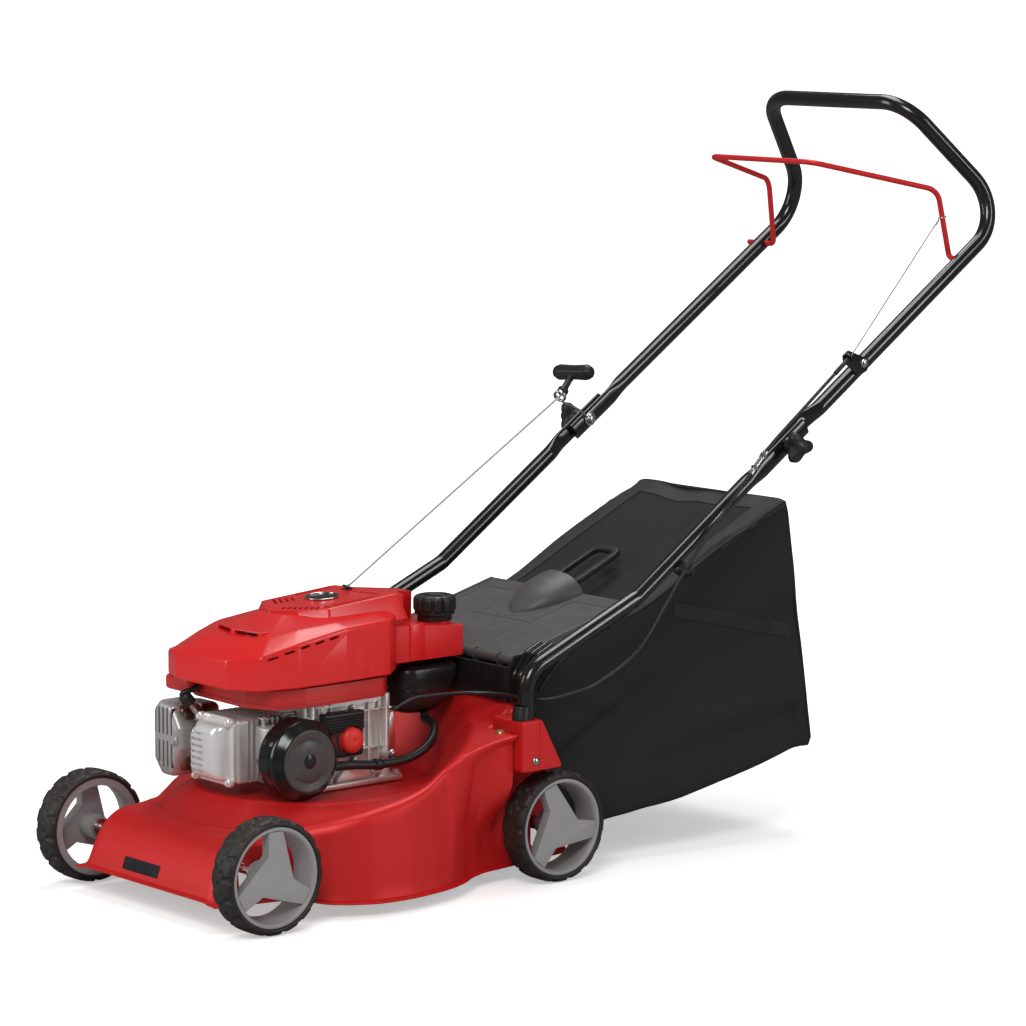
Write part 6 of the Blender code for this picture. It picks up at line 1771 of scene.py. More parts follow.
    def carburettor(self) -> Piece:
        """Build the carburettor with its bowl, screws and throttle spindle."""
        throat = block("throat", (0.0415, 0.0960, 0.1860), (0.0700, 0.1340, 0.2320), edge=0.004, segments=3)
        bowl = turned("bowl", [(0.0, 0.1640), (0.0100, 0.1642), (0.0118, 0.1652), (0.0125, 0.1670),
                               (0.0125, 0.1840), (0.0134, 0.1850), (0.0134, 0.1872), (0.0, 0.1872)],
                      at(0.0560, 0.1150, 0.0), (0, 0, 1), steps=40)
        nut = plate("bowl_nut", [circle(0.0050, 6)], 0.0034, facing_z(0.1636, 0.1150, 0.0560), edge=0.0005)
        spindle = rod("spindle", at(0.0520, 0.1040, 0.2300), at(0.0520, 0.1040, 0.2440), 0.0026, edge=0.0004)
        arm = plate("arm", [rounded([(0.044, 0.099), (0.058, 0.099), (0.060, 0.112), (0.046, 0.109)], 0.002)],
                    0.0014, facing_z(0.2425), edge=0.0003)
        return gather("carburettor_body", [throat, bowl, nut, spindle, arm])

    def linkage(self) -> Piece:
        """Build the governor's wires, spring and plate beside the carburettor."""
        coil = []
        for step in range(121):
            angle = math.tau * step / 10
            share = step / 120
            coil.append(at(0.058 + 0.0026 * math.cos(angle), 0.128 + 0.026 * share,
                           0.2450 + 0.0026 * math.sin(angle)))
        spring = tube("spring", coil, 0.0005, resolution=3)
        wire = tube("wire", smooth_route([at(0.054, 0.104, 0.2440), at(0.056, 0.114, 0.2475),
                                          at(0.058, 0.128, 0.2450)], 6), 0.0007, resolution=3)
        long_wire = tube("long_wire", smooth_route([at(0.058, 0.154, 0.2450), at(0.064, 0.170, 0.2500),
                                                    at(0.070, 0.200, 0.2515)], 6), 0.0007, resolution=3)
        bracket = plate("bracket", [rounded([(0.150, 0.236), (0.182, 0.236), (0.182, 0.250), (0.160, 0.2540),
                                             (0.150, 0.2500)], 0.002)], 0.0016, facing_x(0.0600), edge=0.0003)
        return gather("governor_linkage", [spring, wire, long_wire, bracket])

    def filter_base(self) -> Piece:
        """Build the filter's back plate, its arm and the ribbed housings beside the primer."""
        back, z = self.filter_at
        disc = turned("disc", [(0.0, 0.0703), (0.0440, 0.0703), (0.0460, 0.0712), (0.0460, 0.0745),
                               (0.0, 0.0745)], at(0, back, z), (1, 0, 0), steps=96)
        arm = block("arm", (0.0707, 0.1300, 0.1870), (0.0743, 0.2000, 0.2180), edge=0.001)
        housing = block("housing", (0.0705, 0.1812, 0.1820), (0.0860, 0.2425, 0.2220), edge=0.004, segments=4)
        ribbed = block("ribbed", (0.0709, 0.1770, 0.2170), (0.0900, 0.2420, 0.2430), edge=0.004, segments=4)
        combine(disc, [arm, housing, ribbed], "UNION")
        tools = [block("groove", (0.0862, 0.160, level - 0.0010), (0.095, 0.250, level + 0.0010), edge=0.0)
                 for level in (0.2225, 0.2262, 0.2299, 0.2336, 0.2373)]
        tools.append(rod("seat", at(0.0748, *self.primer_at), at(0.0910, *self.primer_at), 0.0190, sides=64,
                         edge=0.0))
        cut(disc, *tools)
        return soften(disc, 0.0005, 2, 40.0)

    def filter_cover(self) -> tuple[Piece, Piece]:
        """Build the filter's drum with its bevelled rim, and the grey face set into it."""
        base = at(0, *self.filter_at)
        wall = self.filter_radius
        drum = turned("drum", [(0.0410, 0.1190), (0.0410, 0.1203), (0.0420, 0.1217), (0.0432, 0.1216),
                               (0.0442, 0.1206), (0.0460, 0.1182), (0.0490, 0.1148), (0.0512, 0.1124),
                               (0.0523, 0.1112), (wall, 0.1098), (wall, 0.1040), (wall - 0.0012, 0.1032),
                               (wall - 0.0012, 0.1018), (wall, 0.1010), (wall, 0.0822), (0.0520, 0.0812),
                               (0.0485, 0.0806), (0.0475, 0.0798), (0.0475, 0.0749), (0.0440, 0.0749),
                               (0.0440, 0.0830), (0.0500, 0.0845), (0.0500, 0.1095), (0.0422, 0.1170)], base,
                      (1, 0, 0), steps=160, ring=True)
        clips = []
        for angle in (35.0, 150.0, 205.0, 330.0):
            turn = math.radians(angle)
            place = base + Vector((0.0, (wall - 0.0008) * math.cos(turn), (wall - 0.0008) * math.sin(turn)))
            clip = block("clip", (0.0830, 0.0, 0.0), (0.1035, 0.0090, 0.0022), edge=0.0006)
            centre = Matrix.Translation(Vector((0.0, -FRONT_AXLE_Y - 0.0045, -0.0011)))
            tilt = Matrix.Rotation(turn - math.pi / 2, 4, "X")
            clips.append(settle(clip, Matrix.Translation(place) @ tilt @ centre))
        face = turned("face", [(0.0, 0.1175), (0.0412, 0.1175), (0.0412, 0.1205), (0.0405, 0.1212),
                               (0.0390, 0.1215), (0.0374, 0.1213), (0.0360, 0.1208), (0.0312, 0.1208),
                               (0.0301, 0.1204), (0.0292, 0.1196), (0.0281, 0.1196), (0.0272, 0.1204),
                               (0.0262, 0.1211), (0.0140, 0.1214), (0.0, 0.1215)], base, (1, 0, 0), steps=144)
        for vertex in face.data.vertices:
            offset = vertex.co - base
            reach = math.hypot(offset.y, offset.z)
            if 0.0270 < reach < 0.0306 and offset.x > 0.1185:
                angle = math.degrees(math.atan2(offset.z, offset.y)) % 180.0
                fill = 1.0 - smooth((angle - 40.0) / 6.0) * smooth((140.0 - angle) / 6.0)
                vertex.co.x = mix(vertex.co.x, 0.1210, fill)
        return gather("filter_drum", [drum, *clips]), face

    def badge(self) -> Piece:
        """Build the bare round plate on the filter's face."""
        return turned("filter_badge", [(0.0, 0.1212), (0.0092, 0.1212), (0.0096, 0.1217), (0.0090, 0.1221),
                                       (0.0, 0.1222)], at(0, *self.filter_at), (1, 0, 0), steps=64)

    def primer(self) -> Piece:
        """Build the primer's rubber bulb with its dimple."""
        return turned("primer_button", [(0.0, 0.0800), (0.0183, 0.0800), (0.0183, 0.0842), (0.0178, 0.0850),
                                        (0.0173, 0.0862), (0.0174, 0.0890), (0.0170, 0.0918),
                                        (0.0159, 0.0940), (0.0140, 0.0955), (0.0112, 0.0966),
                                        (0.0077, 0.0972), (0.0046, 0.0974), (0.0022, 0.0972),
                                        (0.0012, 0.0966), (0.0, 0.0964)], at(0, *self.primer_at), (1, 0, 0),
                      steps=64)

    def lever(self) -> Piece:
        """Build the cranked brake lever with the cable's eye."""
        strip = [(0.2790, 0.1640), (0.2910, 0.1640), (0.2915, 0.2050), (0.2900, 0.2130), (0.2900, 0.2420),
                 (0.2790, 0.2420), (0.2790, 0.2130)]
        piece = plate("lever_strip", [rounded(strip, 0.0035), circle(0.0034, 24, self.lever_pivot),
                                      circle(0.0018, 16, (0.2845, 0.2360))], 0.0020, facing_x(0.0891),
                      edge=0.0004)
        nut = hex_bolt("pivot_nut", at(0.0902, *self.lever_pivot), (1, 0, 0), 0.0044, 0.0026)
        return gather("stop_lever", [piece, nut])

    def hose(self) -> Piece:
        """Build the breather hose with its clip and end fitting."""
        corners = [at(0.0960, 0.1805, 0.1745), at(0.0975, 0.1900, 0.1748), at(0.1005, 0.2120, 0.1745),
                   at(0.1010, 0.2540, 0.1700), at(0.1010, 0.3050, 0.1720), at(0.0960, 0.3420, 0.1850),
                   at(0.0760, 0.3680, 0.2010), at(0.0450, 0.3760, 0.2090)]
        parts = [tube("pipe", smooth_route(corners, 12), 0.0062, resolution=8)]
        parts.append(rod("sleeve", at(0.1010, 0.2470, 0.1708), at(0.1010, 0.2590, 0.1696), 0.0079,
                         edge=0.0010))
        parts.append(rod("stub", at(0.0450, 0.3760, 0.2060), at(0.0450, 0.3760, 0.2176), 0.0058))
        return gather("breather_hose", parts)

    def build(self) -> None:
        """Build and dress the engine's pieces."""
        dress(self.crankcase(), "chassis", CAST_ALLOY, "crankcase")
        dress(self.oil_cap(), "oil_cap", BLACK_MOULDING, "oil_cap")
        dress(self.cylinder(), "chassis", CAST_ALLOY, "cylinder")
        dress(self.rocker_cover(), "chassis", SMOOTH_ALLOY, "rocker_cover")
        plug, boot = self.spark_plug()
        dress(plug, "chassis", PLATED, "spark_plug")
        dress(boot, "chassis", BLACK_MOULDING, "spark_plug_boot")
        muffler, guard = self.muffler()
        dress(muffler, "chassis", HOT_PIPE, "muffler")
        dress(guard, "chassis", GUARD_SHEET, "muffler_guard")
        dress(self.carburettor(), "chassis", CAST_ALLOY, "carburettor")
        dress(self.linkage(), "chassis", PLATED)
        dress(self.filter_base(), "chassis", BLACK_MOULDING, "air_filter_base")
        drum, face = self.filter_cover()
        dress(drum, "chassis", GLOSS_MOULDING, "air_filter_cover")
        dress(face, "chassis", GREY_FACE)
        dress(self.badge(), "chassis", BLANK_PLATE)
        dress(self.primer(), "primer", PRIMER_RUBBER, "primer_bulb")
        dress(self.lever(), "lever", PLATED, "brake_lever")
        dress(self.hose(), "chassis", CABLE_SHEATH, "vent_hose")
        for name, finish in (("crankshaft", PLATED), ("flywheel", CAST_ALLOY), ("connecting_rod", PLATED),
                             ("piston", CAST_ALLOY), ("blade_hub", CAST_ALLOY), ("blade", PLATED),
                             ("blade_bolt", PLATED), ("filter_element", FILTER_FOAM),
                             ("recoil_pulley", BLACK_MOULDING)):
            dress_node(name, finish)
        LOG.info("engine built")


@dataclass
class Cowl:
    """Red faceted engine cowl on its blower housing, with vents, side grooves and a blank badge.

    Attributes:
        base: Lower edge, as rows of x, back and z.
        belt: Edge where the side walls end.
        crown: Edge where the slopes end.
        roof: Edge of the flat top.
        top: Outline of the raised top plate.
        step: Outline of the raised block that the cord leaves from.
        arm: Outline of the arm over the fuel tank.
        tray: Outline of the blower housing.
        floor: Lowest and highest z of the housing.
        cap_at: The filler cap's x and back.
        cord_exit: Where the starter cord leaves.
        shaft_back: The crankshaft's axis behind the front axle.
        groove: Middle line of the groove along each side.
        badge_at: The bare badge's x and back.
        badge_half: Its half width and half length.
        louvres: Rows of slots on top: two ends, how many, and their length.
    """

    base: Ring = ((-0.100, 0.060, 0.2856), (-0.060, 0.045, 0.2856), (0.050, 0.045, 0.2856),
                  (0.092, 0.070, 0.2858), (0.104, 0.120, 0.2862), (0.105, 0.200, 0.2866),
                  (0.102, 0.275, 0.2870), (0.072, 0.308, 0.2870), (-0.070, 0.308, 0.2870),
                  (-0.102, 0.275, 0.2870), (-0.105, 0.200, 0.2864), (-0.106, 0.110, 0.2860))
    belt: Ring = ((-0.100, 0.060, 0.318), (-0.060, 0.045, 0.321), (0.050, 0.046, 0.325),
                  (0.092, 0.071, 0.331), (0.104, 0.120, 0.344), (0.105, 0.200, 0.357), (0.102, 0.275, 0.360),
                  (0.072, 0.308, 0.360), (-0.070, 0.308, 0.360), (-0.102, 0.275, 0.358),
                  (-0.105, 0.200, 0.352), (-0.106, 0.110, 0.335))
    crown: Ring = ((-0.078, 0.090, 0.337), (-0.045, 0.078, 0.341), (0.038, 0.078, 0.344),
                   (0.068, 0.100, 0.350), (0.080, 0.140, 0.358), (0.084, 0.200, 0.363), (0.080, 0.268, 0.365),
                   (0.062, 0.298, 0.366), (-0.062, 0.298, 0.366), (-0.080, 0.264, 0.364),
                   (-0.084, 0.195, 0.360), (-0.085, 0.130, 0.352))
    roof: Ring = ((-0.030, 0.150, 0.368), (-0.015, 0.145, 0.370), (0.012, 0.145, 0.371),
                  (0.028, 0.155, 0.370), (0.036, 0.180, 0.369), (0.038, 0.210, 0.369), (0.036, 0.245, 0.369),
                  (0.026, 0.262, 0.369), (-0.026, 0.262, 0.369), (-0.036, 0.242, 0.369),
                  (-0.038, 0.208, 0.368), (-0.036, 0.175, 0.368))
    top: Outline = ((-0.060, 0.183), (0.000, 0.151), (0.034, 0.174), (0.060, 0.205), (0.060, 0.325),
                    (-0.060, 0.306))
    step: Outline = ((-0.048, 0.290), (0.040, 0.300), (0.040, 0.345), (-0.010, 0.372), (-0.012, 0.402),
                     (-0.048, 0.402))
    arm: Outline = ((-0.047, 0.295), (0.062, 0.295), (0.062, 0.428), (0.052, 0.438), (-0.038, 0.438),
                    (-0.047, 0.428))
    tray: Outline = ((-0.092, 0.092), (-0.070, 0.082), (0.044, 0.078), (0.086, 0.096), (0.096, 0.140),
                     (0.097, 0.200), (0.094, 0.270), (0.064, 0.298), (-0.064, 0.298), (-0.094, 0.270),
                     (-0.098, 0.200), (-0.098, 0.130))
    floor: Pair = (0.2578, 0.2840)
    shaft_back: float = 0.225
    cap_at: Pair = (0.020, 0.414)
    cord_exit: Place = (-0.020, 0.297, 0.3870)
    groove: Ring = ((0.0800, 0.0560, 0.3235), (0.0935, 0.0705, 0.3265), (0.1050, 0.1200, 0.3385),
                    (0.1064, 0.1600, 0.3450), (0.1062, 0.2000, 0.3505), (0.1045, 0.2500, 0.3530),
                    (0.1033, 0.2740, 0.3535))
    badge_at: Pair = (-0.0075, 0.2450)
    badge_half: Pair = (0.0235, 0.0215)
    louvres: Sequence[tuple[Pair, Pair, int, float]] = (
        ((-0.0500, 0.2350), (-0.0500, 0.2880), 8, 0.0130),
        ((0.0060, 0.1720), (0.0440, 0.1990), 7, 0.0120), ((0.0500, 0.2100), (0.0500, 0.2850), 11, 0.0120),
        ((-0.0260, 0.2930), (0.0010, 0.2930), 4, 0.0080), ((0.0130, 0.2960), (0.0420, 0.3000), 5, 0.0100))

    def plate_height(self, back: float) -> float:
        """Return the height of the raised top plate, which climbs towards the rear."""
        return 0.3730 + (back - 0.151) * 0.075

    def shrunk(self, ring: Ring, factor: float, drop: float) -> list[Vector]:
        """Return a ring drawn in towards the cowl's middle and lowered."""
        return [at(x * factor, (back - 0.185) * factor + 0.185, z - drop) for x, back, z in ring]

    def sloped(self, name: str, outline: Outline, low: float, start: Pair, end: Pair,
               spread: float = 1.0, corner: float = 0.005) -> Piece:
        """Build a block whose top slopes between two points given as back and z."""
        shape = rounded(outline, corner, 4)
        tops = [mix(start[1], end[1], (v - start[0]) / (end[0] - start[0])) for _, v in shape]
        rings = [[at(u * spread, v, low) for u, v in shape],
                 [at(u, v, z - 0.0022) for (u, v), z in zip(shape, tops)]]
        for inset, drop in ((0.0006, 0.0008), (0.0020, 0.0)):
            ring = []
            for (u, v), z in zip(shape, tops):
                middle = Vector((sum(p[0] for p in shape), sum(p[1] for p in shape))) / len(shape)
                inward = (middle - Vector((u, v))).normalized() * inset
                ring.append(at(u + inward.x, v + inward.y, z - drop))
            rings.append(ring)
        return loft(name, rings, cap_start=True, cap_end=True)

    def slit(self, start: Sequence[float], end: Sequence[float], width: float, z: float,
             depth: float) -> Piece:
        """Build a cutter for a narrow upright slot between two points given as x and back."""
        start, end = Vector(start), Vector(end)
        side = (end - start).normalized()
        side = Vector((-side.y, side.x)) * width / 2
        corners = [start - side, end - side, end + side, start + side]
        return plate("slit", [rounded([(p.x, p.y) for p in corners], width * 0.35, 3)], depth, facing_z(z),
                     edge=0.0002)

    def vents(self) -> list[Piece]:
        """Build the cutters for the front vents and the rows of louvres on top."""
        tools = []
        for number in range(4):
            share = number / 3
            tools.append(self.slit((mix(-0.0530, -0.0410, share), mix(0.1975, 0.2190, share)),
                                   (mix(-0.0250, -0.0200, share), mix(0.1830, 0.2080, share)), 0.0036, 0.377,
                                   0.034))
        for start, end in (((-0.0420, 0.1040), (-0.0030, 0.0950)), ((0.0060, 0.0955), (0.0480, 0.1020))):
            tools.append(self.slit(start, end, 0.0160, 0.3515, 0.0054))
        for start, end, count, length in self.louvres:
            start, end = Vector(start), Vector(end)
            half = Vector((-(end - start).y, (end - start).x)).normalized() * length / 2
            for number in range(count):
                middle = start.lerp(end, number / (count - 1))
                tools.append(self.slit(middle - half, middle + half, 0.0046, 0.377, 0.034))
        return tools

    def boss(self) -> Piece:
        """Build the raised boss in front that the two wide vents open in."""
        outline = rounded([(-0.0480, 0.1030), (0.0010, 0.0915), (0.0530, 0.0995), (0.0580, 0.1140),
                           (0.0080, 0.1260), (-0.0500, 0.1240)], 0.003, 3)
        return plate("boss", [outline], 0.030, facing_z(0.3558 - 0.015), edge=0.0014, segments=3)

    def gills(self) -> list[Piece]:
        """Build the cutters for the grooves along both sides and the slots in them."""
        tools = []
        for side in (1.0, -1.0):
            route = smooth_route([at(side * (x + 0.0040), back, z) for x, back, z in self.groove], 8)
            radii = [0.0070 - 0.0026 * number / (len(route) - 1) for number in range(len(route))]
            tools.append(tube("groove", route, radii, resolution=6))
            low, high = sorted((side * 0.0900, side * 0.1150))
            for back, z in ((0.0880, 0.3285), (0.1110, 0.3345), (0.1340, 0.3395), (0.1570, 0.3430),
                            (0.1800, 0.3465)):
                gill = block("gill", (low, back - 0.0075, z - 0.0016), (high, back + 0.0075, z + 0.0016),
                             edge=0.0)
                tools.append(settle(gill, turned_about(at(0, back, z), 0.20, "X")))
            low, high = sorted((side * 0.1034, side * 0.1200))
            tools.append(block("set_back", (low, 0.2150, 0.2800), (high, 0.3200, 0.3530), edge=0.0))
        return tools

    def hood(self) -> Piece:
        """Build the cowl's moulding."""
        rings = [[at(*point) for point in ring] for ring in (self.base, self.belt, self.crown, self.roof)]
        body = loft("engine_hood", rings, cap_start=True, cap_end=True)
        soften(body, 0.0032, 4, 7.0)
        wide = [(u * 1.14, (v - 0.235) * 1.10 + 0.235) for u, v in self.top]
        shape, low_shape = rounded(self.top, 0.007, 4), rounded(wide, 0.007, 4)
        top = loft("top_plate", [[at(u, v, 0.352) for u, v in low_shape],
                                 [at(u, v, self.plate_height(v) - 0.0030) for u,
                                  v in rounded([(u * 1.01, v) for u, v in self.top], 0.007, 4)],
                                 [at(u * 0.992, v, self.plate_height(v) - 0.0008) for u, v in shape],
                                 [at(u * 0.965, (v - 0.235) * 0.965 + 0.235, self.plate_height(v)) for u,
                                  v in shape]], cap_start=True, cap_end=True)
        step = self.sloped("step", self.step, 0.330, (0.290, 0.3850), (0.402, 0.3720), 1.08)
        arm = self.sloped("arm", self.arm, 0.292, (0.295, 0.3440), (0.438, 0.3310))
        collar = turned("collar", [(0.0, 0.325), (0.0215, 0.325), (0.0215, 0.3425), (0.0210, 0.3435),
                                   (0.0202, 0.3438), (0.0, 0.3438)], at(*self.cap_at, 0), (0, 0, 1), steps=72)
        ribs = [block("rib", (0.0600, 0.3380, 0.2925), (0.0645, 0.3620, 0.3420), edge=0.0012, segments=3),
                block("rib", (-0.0500, 0.3380, 0.2925), (-0.0460, 0.3620, 0.3420), edge=0.0012, segments=3)]
        combine(body, [top, self.boss(), step, arm, collar, *ribs], "UNION")
        inside = loft("inside", [self.shrunk(self.base, 0.962, 0.012), self.shrunk(self.belt, 0.962, 0.003),
                                 self.shrunk(self.crown, 0.962, 0.0035),
                                 self.shrunk(self.roof, 0.962, 0.0035)], cap_start=True, cap_end=True)
        small = [(u * 0.93, (v - 0.37) * 0.93 + 0.37) for u, v in self.arm]
        under = self.sloped("under", small, 0.280, (0.300, 0.3400), (0.433, 0.3270))
        neck = rod("neck", at(*self.cap_at, 0.300), at(*self.cap_at, 0.350), 0.0165, sides=48, edge=0.0)
        exit_point = at(*self.cord_exit)
        hole = rod("hole", exit_point + Vector((-0.006, -0.014, -0.040)),
                   exit_point + Vector((0.003, 0.007, 0.020)), 0.0045, edge=0.0)
        cut(body, inside, under, neck, hole, *self.vents(), *self.gills())
        return soften(body, 0.0005, 2, 50.0)

    def badge(self) -> tuple[Piece, Piece]:
        """Build the bare oval plate on top and its bright rim."""
        x, back = self.badge_at
        across, along = self.badge_half
        middle = at(x, back, self.plate_height(back) + 0.0005)
        place = Matrix.Translation(middle) @ Matrix.Rotation(0.075, 4, "X")
        oval = [(u * across, v * along) for u, v in circle(1.0, 72)]
        face = plate("oval_plate", [oval], 0.0022, place, edge=0.0006, segments=2)
        rim = tube("oval_rim", [place @ Vector((u, v, 0.0010)) for u, v in oval], 0.0009, resolution=3,
                   closed=True)
        return face, rim

    def cord_bush(self) -> Piece:
        """Build the smooth bush round the hole that the cord leaves by."""
        axis = Vector((0.003, 0.007, 0.020)).normalized()
        return turned("cord_bush", [(0.0030, -0.0100), (0.0044, -0.0100), (0.0044, 0.0), (0.0072, 0.0),
                                    (0.0076, 0.0008), (0.0070, 0.0020), (0.0052, 0.0028), (0.0038, 0.0024),
                                    (0.0030, 0.0010)], at(*self.cord_exit) - axis * 0.0010, axis, steps=40,
                      ring=True)

    def housing(self) -> Piece:
        """Build the blower housing as an open tray with its duct."""
        low, high = self.floor
        tray = plate("blower_tray", [rounded(self.tray, 0.010, 5)], high - low, facing_z((low + high) / 2),
                     edge=0.0016, segments=3)
        duct = block("duct", (-0.112, 0.062, low + 0.006), (-0.058, 0.108, 0.2848), edge=0.006, segments=4)
        belt = plate("belt", [rounded([(u * 1.012, (v - 0.190) * 1.012 + 0.190) for u, v in self.tray], 0.010,
                                      5)], 0.0022, facing_z(low + 0.0060), edge=0.0008)
        combine(tray, [duct, belt], "UNION")
        pocket = plate("pocket", [rounded([(u * 0.955, (v - 0.190) * 0.955 + 0.190) for u, v in self.tray],
                                          0.009, 5)], 0.030, facing_z(low + 0.019), edge=0.0002)
        hole = rod("hole", at(0, self.shaft_back, 0.250), at(0, self.shaft_back, 0.270), 0.0220, sides=48,
                   edge=0.0)
        return cut(tray, pocket, hole)

    def bolts(self) -> Piece:
        """Build the bolts that hold the housing and the cowl."""
        places = (((-0.0985, 0.165, 0.2735), (-1, 0, 0)), ((-0.0960, 0.245, 0.2735), (-1, 0, 0)),
                  ((0.0, 0.2982, 0.2735), (0, 1, 0)))
        return gather("housing_bolts", [hex_bolt("bolt", at(*place), axis, 0.0038, 0.0032) for place,
                                        axis in places])

    def build(self) -> None:
        """Build and dress the cowl, its badge, bush and bolts, and the housing below."""
        dress(self.hood(), "chassis", COWL_PLASTIC, "engine_cowl", angle=28.0)
        face, rim = self.badge()
        dress(face, "chassis", BLANK_PLATE)
        dress(rim, "chassis", PLATED)
        dress(self.cord_bush(), "chassis", BLACK_MOULDING)
        profile = [(0.0216, 0.3360), (0.0232, 0.3360), (0.0236, 0.3366), (0.0236, 0.3396), (0.0228, 0.3402),
                   (0.0228, 0.3412), (0.0236, 0.3418), (0.0236, 0.3434), (0.0230, 0.3439), (0.0216, 0.3439)]
        ring = turned("neck_ring", profile, at(*self.cap_at, 0.0), (0, 0, 1), steps=72, ring=True)
        dress(ring, "chassis", BLACK_MOULDING)
        # The housing's darker red is painted shade under the cowl.
        dress(self.housing(), "chassis", SHADED_SHROUD_PAINT, "blower_housing")
        dress(self.bolts(), "chassis", PLATED)
        LOG.info("cowl and blower housing built")


@dataclass
class FuelTank:
    """Moulded fuel tank under the cowl's arm, with its fluted cap.

    Attributes:
        rows: Rows of z, front, rear, left and right of the outside.
        hollow: The same for the inside.
        cap_at: The cap's x and back.
        flutes: Grips round the cap.
    """

    rows: Sequence[tuple[float, ...]] = (
        (0.2180, 0.336, 0.400, -0.046, 0.056), (0.2220, 0.332, 0.404, -0.050, 0.060),
        (0.2500, 0.330, 0.422, -0.052, 0.062), (0.2790, 0.330, 0.4325, -0.052, 0.062),
        (0.2830, 0.334, 0.4290, -0.048, 0.058))
    hollow: Sequence[tuple[float, ...]] = (
        (0.2220, 0.336, 0.400, -0.046, 0.056), (0.2500, 0.333, 0.419, -0.049, 0.059),
        (0.2790, 0.334, 0.4290, -0.048, 0.058))
    cap_at: Pair = (0.020, 0.414)
    flutes: int = 12

    def ring(self, row: Sequence[float], radius: float) -> list[Vector]:
        """Return one level of the tank."""
        z, front, rear, left, right = row
        outline = round_box(right - left, rear - front, radius, ((left + right) / 2, (front + rear) / 2),
                            steps=6)
        return [at(u, v, z) for u, v in outline]

    def body(self) -> Piece:
        """Build the hollow tank with its weld seam and neck."""
        columns = [[(row[0], row[number]) for row in self.rows] for number in range(1, 5)]
        rings = []
        for z, inset in ((0.2180, 0.0150), (0.2186, 0.0115), (0.2200, 0.0080), (0.2225, 0.0048),
                         (0.2260, 0.0024), (0.2310, 0.0008), (0.2380, 0.0), (0.2500, 0.0), (0.2640, 0.0),
                         (0.2730, 0.0006), (0.2780, 0.0022), (0.2812, 0.0048), (0.2830, 0.0090)):
            front, rear, left, right = (follow(column, max(z, 0.2222)) for column in columns)
            rings.append(self.ring((z, front + inset, rear - inset, left + inset, right - inset),
                                   0.022 - inset * 0.6))
        tank = loft("tank_body", rings, cap_start=True, cap_end=True)
        seam = plate("seam", [round_box(0.1156, 0.0930, 0.021, (0.005, 0.3762), 8)], 0.0020, facing_z(0.2510),
                     edge=0.0008, segments=2)
        neck = rod("neck", at(*self.cap_at, 0.2800), at(*self.cap_at, 0.3500), 0.0155, sides=48)
        combine(tank, [seam, neck], "UNION")
        inner = loft("inner", [self.ring(row, 0.022) for row in self.hollow], cap_start=True, cap_end=True)
        mouth = rod("mouth", at(*self.cap_at, 0.2700), at(*self.cap_at, 0.3600), 0.0125, sides=40, edge=0.0)
        return cut(tank, inner, mouth)

    def cap(self) -> Piece:
        """Build the cap with deep flutes, a skirt ring and a dished top."""
        x, back = self.cap_at
        rows = ((0.3505, 0.0160, 0.0), (0.3441, 0.0160, 0.0), (0.3441, 0.0262, 0.0), (0.3447, 0.0272, 0.0),
                (0.3475, 0.0272, 0.0), (0.3482, 0.0262, 0.0), (0.3488, 0.0266, 0.3), (0.3498, 0.0284, 1.0),
                (0.3515, 0.0290, 1.0), (0.3635, 0.0290, 1.0), (0.3665, 0.0284, 1.0), (0.3682, 0.0268, 0.8),
                (0.3693, 0.0248, 0.3), (0.3700, 0.0226, 0.0), (0.3700, 0.0196, 0.0), (0.3692, 0.0188, 0.0),
                (0.3686, 0.0180, 0.0), (0.3686, 0.0060, 0.0))

        def reach(angle: float, radius: float, flute: float) -> float:
            notch = smooth(0.15 - 2.2 * math.cos(self.flutes * angle) - 1.2)
            return radius - 0.0036 * flute * notch

        piece = lobed("filler_cap", rows, 168, reach, lambda z, u, v: at(x + u, back + v, z))
        bar = block("bar", (x - 0.0150, back - 0.0022, 0.3680), (x + 0.0150, back + 0.0022, 0.3700),
                    edge=0.0008)
        return gather("filler_cap", [piece, settle(bar, turned_about(at(x, back, 0), 0.6, "Z"))])

    def build(self) -> None:
        """Build and dress the tank and its cap."""
        dress(self.body(), "chassis", TANK_MOULDING, "fuel_tank")
        dress(self.cap(), "fuel_cap", BLACK_MOULDING, "fuel_cap")
        LOG.info("fuel tank built")


